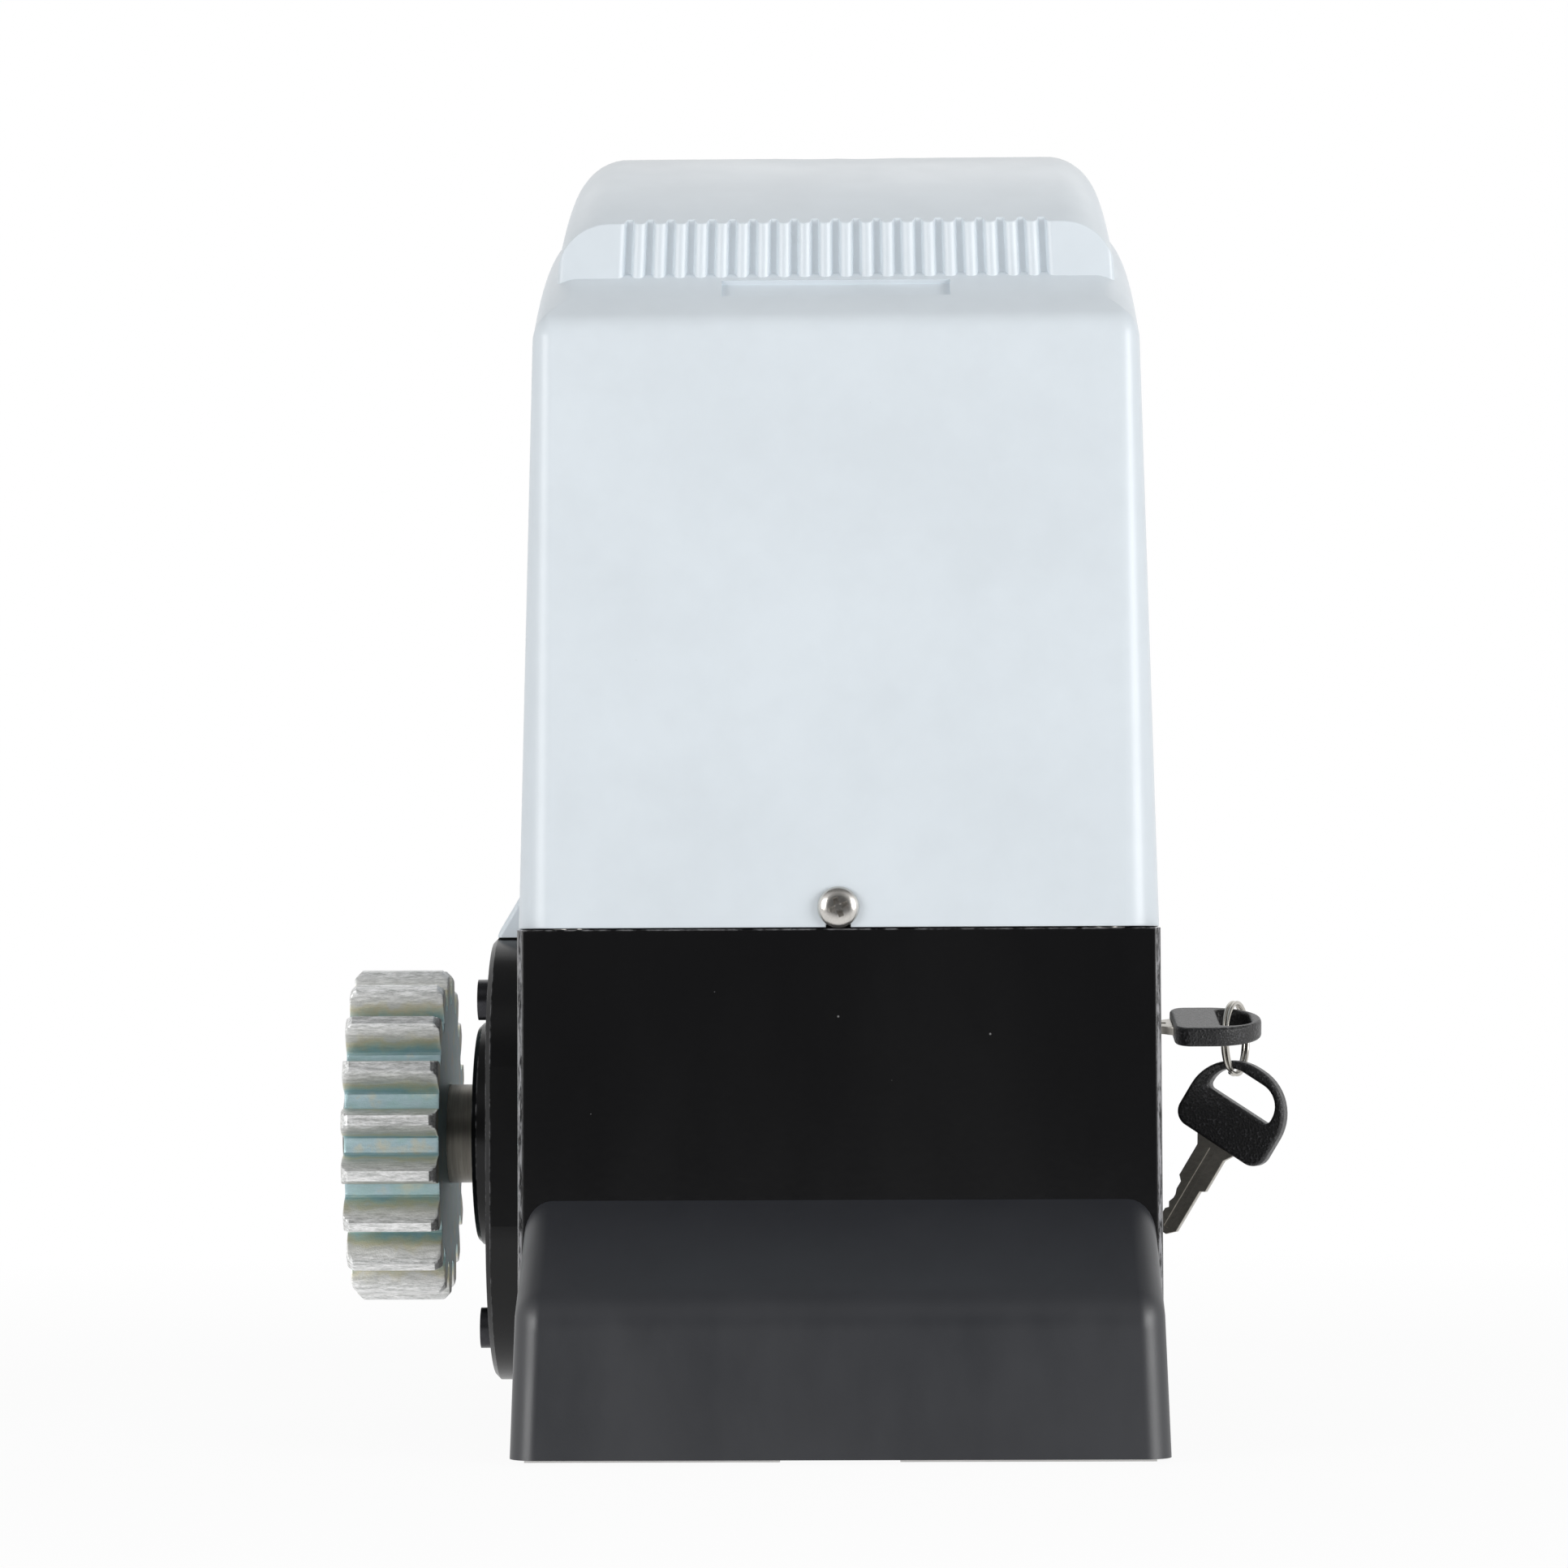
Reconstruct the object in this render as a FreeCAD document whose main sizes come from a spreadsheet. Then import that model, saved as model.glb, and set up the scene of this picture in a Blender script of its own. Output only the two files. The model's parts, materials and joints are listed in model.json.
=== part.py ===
import FreeCAD, Part
import Sketcher

# Sliding gate motor: a worm-geared gate drive in a cast casing under a moulded cover.
#
# Frame: +Z up, origin in the middle of the casing's base, on the face that stands on the
# foundation. The output shaft lies along X, with the pinion on the gate side at -X and the
# release lock on the yard side at +X. The two ends with the foot covers face -Y and +Y.
# Lengths are in millimetres.
#
# Every size is a named cell of the spreadsheet "size". Document objects are bound to those
# cells by expressions, and the few shapes made in code read the same cells.

import math
import os
import re

from FreeCAD import Placement, Rotation, Vector

DRIVING = (
    # casing
    ("casing_length", 224), ("casing_width", 149), ("gear_headroom", 10),
    ("casing_wall", 6), ("casing_floor", 8), ("casing_edge_radius", 2),
    ("rebate_wall", 3.5), ("cross_wall_y", -60), ("cross_wall_thickness", 6),
    ("foot_reach", 26), ("foot_width", 142), ("foot_thickness", 12), ("foot_notch", 27),
    ("anchor_spacing", 100), ("anchor_setout", 13), ("anchor_slot_width", 9),
    ("anchor_slot_length", 20), ("cable_hole_radius", 15), ("cable_y", -84),
    ("tab_width", 22), ("tab_height", 12), ("tab_root", 20), ("tab_thickness", 4),
    ("cover_screw_rise", 5), ("lid_column_radius", 6.5), ("lid_column_inset", 12),
    ("lid_middle_screw_x", 63),
    # lid of the gear chamber
    ("lid_thickness", 7), ("lid_setback", 1), ("seat_gap", 0.2), ("lid_gasket_thickness", 0.5),
    ("lid_boss_drop", 8), ("lid_slot_length", 34), ("lid_slot_width", 18), ("lid_bearing_lip", 1.5),
    ("lid_screw_radius", 2.5), ("lid_screw_head_radius", 4.25), ("lid_screw_head", 3),
    # output shaft line
    ("shaft_height", 70), ("shaft_radius", 12.5), ("shaft_end", -126.2),
    ("collar_radius", 17), ("collar_width", 5), ("hub_shaft_radius", 14),
    ("tail_radius", 10), ("running_gap", 0.05), ("clear_gap", 0.4),
    ("gate_bearing_radius", 26), ("gate_bearing_width", 15),
    ("yard_bearing_radius", 23.5), ("yard_bearing_width", 14), ("yard_bearing_face", 46),
    ("bearing_ring", 3.5), ("bearing_groove", 1),
    ("seal_radius", 20), ("seal_width", 6),
    # flange
    ("flange_thickness", 11.5), ("flange_gasket_thickness", 0.5), ("flange_half_width", 57),
    ("flange_drop", 61), ("flange_rise", 49.6), ("flange_top_radius", 32),
    ("flange_bottom_radius", 40), ("flange_edge", 1.2), ("boss_radius", 28.2),
    ("boss_height", 5.9), ("spigot_radius", 40.8), ("spigot_length", 10),
    ("flange_opening_radius", 41), ("bearing_shoulder", 2),
    ("flange_screw_top_y", 41), ("flange_screw_top_z", 34),
    ("flange_screw_low_y", 34), ("flange_screw_low_z", 47), ("flange_screw_radius", 3),
    ("flange_screw_head_radius", 5), ("flange_screw_head", 6), ("flange_screw_sink", 3.2),
    ("flange_screw_length", 26), ("screw_boss_radius", 7), ("screw_boss_length", 10),
    # pinion
    ("pinion_teeth", 19), ("pinion_module", 4), ("pressure_angle", 20), ("pinion_width", 23.7),
    ("pinion_face", -99.9), ("pinion_phase", 7.65),
    ("pinion_chamfer", 1.6), ("tooth_thinning", 0.14),
    ("key_width", 8), ("key_height", 7), ("key_depth", 4), ("circlip_thickness", 1.2),
    ("circlip_reach", 3), ("circlip_bite", 0.7), ("circlip_gap_width", 7),
    # worm gear
    ("wheel_teeth", 30), ("worm_module", 2.5), ("worm_pitch_radius", 11),
    ("wheel_width", 14), ("wheel_hub_width", 20), ("wheel_hub_radius", 25),
    ("mesh_gap", 0.32), ("worm_turns", 5), ("end_gap", 0.3),
    ("worm_shaft_radius", 8.5), ("worm_foot_radius", 7.5), ("worm_collar_radius", 9.5),
    ("worm_runout", 4),
    ("worm_bearing_radius", 20), ("worm_bearing_width", 12), ("foot_bearing_radius", 17.5),
    ("foot_bearing_width", 11), ("foot_bearing_height", 20), ("bearing_seat_wall", 5),
    # clutch
    ("dog_count", 4), ("dog_height", 4), ("dog_inner_radius", 16.5), ("dog_outer_radius", 23.5),
    ("dog_half_angle", 21), ("sleeve_length", 20), ("sleeve_flange_radius", 24),
    ("sleeve_groove_radius", 19), ("sleeve_groove_width", 8), ("sleeve_rim", 6),
    ("clutch_travel", 5), ("fork_thickness", 7.2), ("fork_outer_radius", 28.5),
    ("fork_collar_radius", 13), ("fork_arm_width", 12), ("follower_radius", 2),
    ("cam_radius", 8), ("cam_groove_depth", 3), ("cam_length", 26), ("cam_steps", 12), ("slide_gap", 0.1),
    # motor
    ("motor_radius", 50), ("motor_wall", 5), ("stator_length", 70), ("stator_height", 135),
    ("air_gap", 0.5), ("rotor_radius", 28), ("rotor_ring_length", 9), ("barrel_height", 100),
    ("fin_count", 28), ("fin_width", 2), ("fin_reach", 2.4),
    ("winding_height", 13), ("winding_inner", 31.5), ("winding_outer", 43),
    ("end_cap_thickness", 14), ("top_bearing_radius", 17.5), ("top_bearing_width", 11),
    ("top_journal_radius", 7.5), ("tie_bolt_radius", 1.9), ("tie_bolt_circle", 49.5),
    ("tie_bolt_head_radius", 3.5), ("tie_bolt_head", 3), ("tie_bolt_column", 4.4),
    ("slot_count", 24), ("slot_width", 3.2), ("wire_gap", 0.2), ("post_lug_radius", 8),
    ("post_radius", 3.4), ("post_thread_depth", 12),
    # electrics
    ("board_width", 118), ("board_height", 96), ("board_thickness", 1.6), ("bracket_y", -14),
    ("board_bottom", 134), ("bracket_thickness", 1.5), ("bracket_foot", 14),
    ("spacer_length", 8), ("spacer_radius", 3), ("spacer_inset", 7),
    ("terminal_pitch", 5), ("terminal_count", 14), ("terminal_depth", 9), ("terminal_height", 11),
    ("relay_width", 15), ("relay_height", 19), ("relay_depth", 16),
    ("fuse_length", 22), ("fuse_radius", 4),
    ("transformer_width", 44), ("transformer_depth", 22), ("transformer_height", 40),
    ("transformer_x", -34), ("transformer_y", -74), ("coil_reach", 9), ("core_limb", 8),
    ("core_middle_limb", 12),
    ("capacitor_radius", 19), ("capacitor_height", 84), ("capacitor_x", 38),
    ("capacitor_y", -74), ("clamp_thickness", 1.2), ("clamp_height", 12), ("clamp_level", 26),
    ("sensor_width", 12), ("sensor_depth", 26), ("sensor_height", 26), ("sensor_x", -61),
    ("sensor_y", -38),
    # cover
    ("cover_draft", 1.42), ("cover_wall", 3), ("cover_corner_radius", 8.5),
    ("cover_top_round", 7.5), ("parting_gap", 0.3), ("cover_inset", 0.4),
    ("shoulder_rise", 180.8), ("shoulder_arch_radius", 165),
    ("crown_rise", 16.4), ("crown_arch_radius", 155), ("crown_half_length", 91),
    ("crown_end_half_width", 65.8), ("crown_bulge", 4.2), ("crown_root", 20), ("crown_round", 10.5),
    ("rib_pitch", 4.95), ("groove_count", 21), ("groove_width", 1.9), ("groove_depth", 2.6),
    ("rib_wall_thickness", 6), ("panel_width", 54), ("panel_height", 8.2), ("panel_depth", 1.1),
    ("panel_slope", 34.5), ("panel_gap", 1.6), ("notch_width", 5.8),
    ("cover_screw_radius", 2), ("cover_screw_length", 9),
    ("cover_screw_head_radius", 4.85), ("cover_screw_head", 2.8),
    ("fairing_width", 62), ("fairing_reach", 11.4), ("fairing_height", 19),
    ("top_screw_head_radius", 4.2), ("top_screw_head", 2.2), ("top_screw_proud", 0.6),
    # foot covers
    ("foot_cover_reach", 30), ("foot_cover_top", 58), ("foot_cover_front", 36),
    ("foot_cover_wall", 2.4), ("foot_cover_draft", 1.9), ("foot_cover_lean", 2.4),
    ("foot_cover_radius", 6.5), ("foot_cover_lift", 0.8), ("foot_cover_overlap", 0.3),
    ("foot_cover_edge", 3),
    # release lock and keys
    ("lock_y", -40), ("lock_rise", 26.6), ("lock_radius", 11), ("lock_flange_radius", 13),
    ("lock_flange", 1.5), ("lock_length", 30), ("lock_nut_radius", 14.5), ("lock_nut_width", 4),
    ("plug_radius", 6), ("key_turn_at_rest", 11.5),
    ("blade_width", 8), ("blade_thickness", 2), ("blade_length", 26), ("blade_exposed", 7),
    ("blade_root_width", 11), ("blade_tip_width", 5.6), ("blade_step", 11.5),
    ("bow_width", 26), ("bow_height", 22), ("bow_thickness", 4.7), ("bow_corner_radius", 4), ("bow_far_radius", 12.4),
    ("bow_hole_radius", 6), ("bow_hole_corner", 1.2),
    ("bow_rim", 4), ("bow_far_rim", 3), ("bow_hole_floor", 11.5), ("bow_edge", 0.9), ("keyway_gap", 0.12),
    ("ring_outer_radius", 9.4), ("ring_wire", 0.55), ("ring_turn_pitch", 1),
    ("ring_seat_along", 16.4), ("ring_seat_across", 11), ("ring_gap", 0.7),
    ("ring_plane_turn", 21.5),
    ("spare_key_tilt", 32), ("spare_key_offset", 5.5),
    # small parts
    ("filler_radius", 7), ("filler_head", 5), ("filler_x", 56), ("filler_y", 75),
    ("earth_screw_y", 82), ("grommet_wall", 2),
    ("grommet_lip", 1.5),
)

DERIVED = (
    ("casing_half_width", "casing_width / 2"),
    ("casing_half_length", "casing_length / 2"),
    ("lid_half_width", "casing_half_width - rebate_wall - seat_gap"),
    ("lid_half_length", "casing_half_length - rebate_wall - seat_gap"),
    ("flange_inner_face", "0 - casing_half_width - flange_gasket_thickness"),
    ("flange_outer_face", "flange_inner_face - flange_thickness"),
    ("boss_face", "flange_outer_face - boss_height"),
    ("seal_face", "boss_face + 1"),
    ("seal_back", "seal_face + seal_width"),
    ("gate_bearing_face", "seal_back + bearing_shoulder"),
    ("gate_bearing_back", "gate_bearing_face + gate_bearing_width"),
    ("pinion_far_face", "pinion_face - pinion_width"),
    ("wheel_pitch_radius", "worm_module * wheel_teeth / 2"),
    ("wheel_tip_radius", "wheel_pitch_radius + worm_module"),
    ("wheel_root_radius", "wheel_pitch_radius - 1.28 * worm_module"),
    ("casing_height", "shaft_height + wheel_tip_radius + gear_headroom"),
    ("cover_screw_height", "casing_height + cover_screw_rise"),
    ("lock_height", "shaft_height + lock_rise"),
    ("lid_top", "casing_height - lid_setback"),
    ("lid_bottom", "lid_top - lid_thickness"),
    ("lid_seat", "lid_bottom - lid_gasket_thickness"),
    ("worm_y", "wheel_pitch_radius + worm_pitch_radius"),
    ("worm_tip_radius", "worm_pitch_radius + worm_module"),
    ("worm_root_radius", "worm_pitch_radius - 1.2 * worm_module"),
    ("worm_pitch", "3.14159265 * worm_module"),
    ("worm_bearing_height", "lid_bottom - lid_boss_drop"),
    ("hub_face", "wheel_hub_width / 2"),
    ("sleeve_face", "hub_face + dog_height + clear_gap"),
    ("sleeve_end", "sleeve_face + sleeve_length"),
    ("groove_middle", "sleeve_face + sleeve_rim + sleeve_groove_width / 2"),
    ("cam_end", "casing_half_width - lock_length"),
    ("cam_start", "cam_end - cam_length"),
    ("motor_base", "lid_top"),
    ("end_cap_height", "motor_base + barrel_height"),
    ("end_cap_top", "end_cap_height + end_cap_thickness"),
    ("cover_base", "casing_height + parting_gap"),
    ("cover_half_width", "casing_half_width - cover_inset"),
    ("cover_half_length", "casing_half_length - cover_inset"),
    ("shoulder_crest", "cover_base + shoulder_rise"),
    ("crown_height", "shoulder_crest + crown_rise"),
    ("shoulder_centre", "shoulder_crest - shoulder_arch_radius"),
    ("crown_centre", "crown_height - crown_arch_radius"),
    ("rib_foot", "shoulder_centre + sqrt(shoulder_arch_radius ^ 2 - crown_half_length ^ 2)"),
    ("worm_start", "shaft_height - 2.25 * worm_pitch"),
    ("worm_end", "worm_start + worm_turns * worm_pitch"),
    ("lid_column_x", "casing_half_width - lid_column_inset"),
    ("lid_column_y", "casing_half_length - lid_column_inset"),
    ("tab_face", "casing_half_length - cover_inset - cover_wall - parting_gap - 0.2"),
    ("board_back", "bracket_y - spacer_length"),
    ("board_face", "board_back - board_thickness"),
    ("lock_face", "casing_half_width"),
    ("bow_root", "lock_face + blade_exposed"),
    ("foot_cover_face", "casing_half_length + foot_cover_reach"),
    ("foot_cover_half_width", "cover_half_width + foot_cover_overlap"),
    ("cover_width_clear", "2 * cover_half_width + 20"),
    ("cover_length_clear", "2 * cover_half_length + 2"),
)

doc = FreeCAD.newDocument("sliding_gate_motor")
sheet = doc.addObject("Spreadsheet::Sheet", "size")
NAMES = set()
PARTS = {}
CUTS = []


def fill_sheet():
    """Writes each size into its own cell, with its name as the cell's alias."""
    cells = [(name, str(value)) for name, value in DRIVING]
    cells += [(name, "=" + formula) for name, formula in DERIVED]
    for row, (name, content) in enumerate(cells, 1):
        sheet.set("A%d" % row, name)
        sheet.set("B%d" % row, content)
        sheet.setAlias("B%d" % row, name)
        NAMES.add(name)
    doc.recompute()


def spelled(formula):
    """Puts the sheet's name before each size in a formula."""
    def with_sheet(word):
        return "size." + word.group() if word.group() in NAMES else word.group()
    return re.sub(r"[a-z][a-z_]*[a-z]", with_sheet, str(formula))


def number(formula):
    """The value of a formula over the sheet's sizes."""
    value = sheet.evalExpression(spelled(formula))
    return float(getattr(value, "Value", value))


def bind(item, prop, formula):
    item.setExpression(prop, spelled(formula))


def keep(node, item):
    """Makes an object the sub-part that is written to NODE.step."""
    item.Label = node
    PARTS[node] = item
    return item


# ---------------------------------------------------------------- sketches and features

def new_body(name):
    return doc.addObject("PartDesign::Body", name)


def new_sketch(body, role, level="0"):
    """A sketch on one of the body's origin planes, moved along that plane's own axis to level."""
    sketch = body.newObject("Sketcher::SketchObject", "outline")
    plane = next(item for item in body.Origin.OriginFeatures if item.Role == role)
    sketch.AttachmentSupport = [(plane, "")]
    sketch.MapMode = "FlatFace"
    sign = "-" if role == "XZ_Plane" else ""
    bind(sketch, "AttachmentOffset.Base.z", "%s(%s)" % (sign, level))
    return sketch


def set_size(sketch, constraints, formulas):
    """Adds constraints, the last of them bound to the formulas."""
    first = sketch.ConstraintCount
    sketch.addConstraint(constraints)
    start = first + len(constraints) - len(formulas)
    for step, formula in enumerate(formulas):
        bind(sketch, "Constraints[%d]" % (start + step), formula)


def draw_circle(sketch, x, y, radius):
    circle = sketch.addGeometry(
        Part.Circle(Vector(number(x), number(y), 0), Vector(0, 0, 1), number(radius)))
    set_size(sketch, [
        Sketcher.Constraint("DistanceX", -1, 1, circle, 3, number(x)),
        Sketcher.Constraint("DistanceY", -1, 1, circle, 3, number(y)),
        Sketcher.Constraint("Radius", circle, number(radius))], [x, y, radius])


def draw_outline(sketch, corners, radii=None):
    """A closed outline through the corners, walked anticlockwise, rounded where a radius is given."""
    points = [Vector(number(x), number(y), 0) for x, y in corners]
    count = len(points)
    radii = radii or [None] * count
    entries, exits, arcs = [], [], {}
    for place, here in enumerate(points):
        to_last = (points[place - 1] - here).normalize()
        to_next = (points[(place + 1) % count] - here).normalize()
        if not radii[place]:
            entries.append(here)
            exits.append(here)
            continue
        radius = number(radii[place])
        half_angle = to_last.getAngle(to_next) / 2
        reach = radius / math.tan(half_angle)
        entry, leave = here + to_last * reach, here + to_next * reach
        inward = (to_last + to_next).normalize()
        middle = here + inward * (radius / math.sin(half_angle) - radius)
        arcs[place] = sketch.addGeometry(Part.Arc(entry, middle, leave))
        entries.append(entry)
        exits.append(leave)
    lines = [sketch.addGeometry(Part.LineSegment(exits[place], entries[(place + 1) % count]))
             for place in range(count)]
    joins, places, formulas = [], [], []
    for place, (x, y) in enumerate(corners):
        before, after = lines[place - 1], lines[place]
        if place not in arcs:
            joins.append(Sketcher.Constraint("Coincident", before, 2, after, 1))
            marked = after
        else:
            arc = arcs[place]
            turn = (points[place] - points[place - 1]).cross(
                points[(place + 1) % count] - points[place]).z
            start, end = (1, 2) if turn > 0 else (2, 1)
            marked = sketch.addGeometry(Part.Point(points[place]), True)
            joins += [Sketcher.Constraint("PointOnObject", marked, 1, before),
                      Sketcher.Constraint("PointOnObject", marked, 1, after),
                      Sketcher.Constraint("Tangent", before, 2, arc, start),
                      Sketcher.Constraint("Tangent", arc, end, after, 1)]
            places.append(Sketcher.Constraint("Radius", arc, number(radii[place])))
            formulas.append(radii[place])
        places += [Sketcher.Constraint("DistanceX", -1, 1, marked, 1, points[place].x),
                   Sketcher.Constraint("DistanceY", -1, 1, marked, 1, points[place].y)]
        formulas += [x, y]
    set_size(sketch, joins + places, formulas)


def draw_rectangle(sketch, left, bottom, right, top, radius=None):
    draw_outline(sketch, [(left, bottom), (right, bottom), (right, top), (left, top)],
                 [radius] * 4)


def add_pad(body, sketch, length, symmetric=False, backward=False):
    pad = body.newObject("PartDesign::Pad", "pad")
    pad.Profile = sketch
    pad.SideType = "Symmetric" if symmetric else "One side"
    pad.Reversed = backward
    bind(pad, "Length", length)
    return pad


def add_pocket(body, sketch, depth=None, forward=False, symmetric=False):
    """Cuts against the sketch's normal, or along it where forward, all through without a depth."""
    pocket = body.newObject("PartDesign::Pocket", "pocket")
    pocket.Profile = sketch
    pocket.SideType = "Symmetric" if symmetric else "One side"
    pocket.Reversed = forward
    if depth is None:
        pocket.Type = "ThroughAll"
    else:
        bind(pocket, "Length", depth)
    CUTS.append(pocket)
    return pocket


def add_turning(body, corners, groove=False, radii=None):
    """Turns a half profile, given as pairs (along, out), about the body's X axis."""
    sketch = new_sketch(body, "XZ_Plane")
    draw_outline(sketch, corners, radii)
    kind = "PartDesign::Groove" if groove else "PartDesign::Revolution"
    turned = body.newObject(kind, "turning")
    turned.Profile = sketch
    turned.ReferenceAxis = (sketch, ["H_Axis"])
    turned.Angle = 360
    if groove:
        CUTS.append(turned)
    return turned


def stepped(steps):
    """The half profile of a stepped round bar: steps are (start, end, radius) along the axis."""
    corners = [(steps[0][0], "0"), (steps[-1][1], "0")]
    for start, end, radius in reversed(steps):
        corners += [(end, radius), (start, radius)]
    return corners


def round_edges(body, radius, test, chamfer=False):
    """Rounds, or chamfers, the edges of the body's present shape that pass the test."""
    doc.recompute()
    base = body.Tip
    edges = ["Edge%d" % (place + 1) for place, edge in enumerate(base.Shape.Edges) if test(edge)]
    kind, prop = ("Chamfer", "Size") if chamfer else ("Fillet", "Radius")
    rounded = body.newObject("PartDesign::" + kind, kind.lower())
    rounded.Base = (base, edges)
    bind(rounded, prop, radius)
    return rounded


def place(item, x="0", y="0", z="0", axis=None, angle=None):
    """Binds where an object stands, and turns it about an axis by an angle in degrees."""
    if axis is not None:
        item.Placement = Placement(Vector(), Rotation(axis, number(angle)))
        if angle in NAMES or not str(angle).lstrip("-").replace(".", "").isdigit():
            bind(item, "Placement.Rotation.Angle", angle)
    for direction, formula in zip("xyz", (x, y, z)):
        bind(item, "Placement.Base." + direction, formula)
    return item


# ---------------------------------------------------------------- primitives and booleans

def box(low, size):
    """A block from its lowest corner and its size."""
    item = doc.addObject("Part::Box", "block")
    for prop, formula in zip(("Length", "Width", "Height"), size):
        bind(item, prop, formula)
    return place(item, *low)


def rod(base, axis, length, radius, kind="Part::Cylinder"):
    """A round bar from the middle of its first face, along X, Y or Z."""
    item = doc.addObject(kind, "rod")
    bind(item, "Radius", radius)
    bind(item, "Height", length)
    turn = {"X": (Vector(0, 1, 0), 90), "Y": (Vector(1, 0, 0), -90), "Z": (Vector(0, 0, 1), 0)}
    item.Placement = Placement(Vector(), Rotation(*turn[axis]))
    for direction, formula in zip("xyz", base):
        bind(item, "Placement.Base." + direction, formula)
    return item


def hexagon(base, axis, length, radius):
    item = doc.addObject("Part::Prism", "hexagon")
    item.Polygon = 6
    bind(item, "Circumradius", radius)
    bind(item, "Height", length)
    turn = {"X": (Vector(0, 1, 0), 90), "Z": (Vector(0, 0, 1), 0)}
    item.Placement = Placement(Vector(), Rotation(*turn[axis]))
    for direction, formula in zip("xyz", base):
        bind(item, "Placement.Base." + direction, formula)
    return item


def joined(*items):
    if len(items) == 1:
        return items[0]
    union = doc.addObject("Part::MultiFuse", "union")
    union.Shapes = list(items)
    union.Refine = True
    return union


def cut(base, *tools):
    result = doc.addObject("Part::Cut", "cut")
    result.Base = base
    result.Tool = joined(*tools)
    return result


def common(first, second):
    result = doc.addObject("Part::Common", "common")
    result.Base, result.Tool = first, second
    return result


def group(items):
    """Several separate solids as one sub-part."""
    compound = doc.addObject("Part::Compound", "group")
    compound.Links = list(items)
    return compound


def tube(base, axis, length, outer, inner):
    """A pipe, bored right through."""
    step = dict(zip("XYZ", range(3)))[axis]
    inside = list(base)
    inside[step] = "(%s) - 1" % base[step]
    return cut(rod(base, axis, length, outer),
               rod(inside, axis, "(%s) + 2" % length, inner))


def shape_node(node, shape, placement=None):
    """A sub-part whose shape is made in code from the sheet's sizes."""
    item = doc.addObject("Part::Feature", node)
    item.Shape = shape
    item.Placement = placement or Placement()
    return keep(node, item)


# ---------------------------------------------------------------- casing and its lid

def draw_slot(sketch, x, low, high, radius, along="Y"):
    """A round-ended slot between two end centres, running along X or Y."""
    ends = [(x, low), (x, high)] if along == "Y" else [(low, x), (high, x)]
    first, second = (Vector(number(a), number(b), 0) for a, b in ends)
    reach = number(radius)
    run = (second - first).normalize()
    side = Vector(run.y, -run.x, 0) * reach
    near = sketch.addGeometry(Part.LineSegment(first + side, second + side))
    cap = sketch.addGeometry(Part.Arc(second + side, second + run * reach, second - side))
    far = sketch.addGeometry(Part.LineSegment(second - side, first - side))
    foot = sketch.addGeometry(Part.Arc(first - side, first - run * reach, first + side))
    joins = [Sketcher.Constraint("Tangent", near, 2, cap, 1),
             Sketcher.Constraint("Tangent", cap, 2, far, 1),
             Sketcher.Constraint("Tangent", far, 2, foot, 1),
             Sketcher.Constraint("Tangent", foot, 2, near, 1)]
    places, formulas = [Sketcher.Constraint("Radius", cap, reach)], [radius]
    for arc, centre, formula in ((foot, first, ends[0]), (cap, second, ends[1])):
        places += [Sketcher.Constraint("DistanceX", -1, 1, arc, 3, centre.x),
                   Sketcher.Constraint("DistanceY", -1, 1, arc, 3, centre.y)]
        formulas += list(formula)
    set_size(sketch, joins + places, formulas)


def flange_screw_places():
    return [(sign + "flange_screw_%s_y" % row, "shaft_height %s flange_screw_%s_z" % (up, row))
            for row, up in (("top", "+"), ("low", "-")) for sign in ("", "-")]


def lid_screw_places():
    corners = [(across + "lid_column_x", along + "lid_column_y")
               for across in ("", "-") for along in ("", "-")]
    return corners + [("lid_middle_screw_x", "cross_wall_y"), ("-lid_middle_screw_x", "cross_wall_y")]


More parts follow.
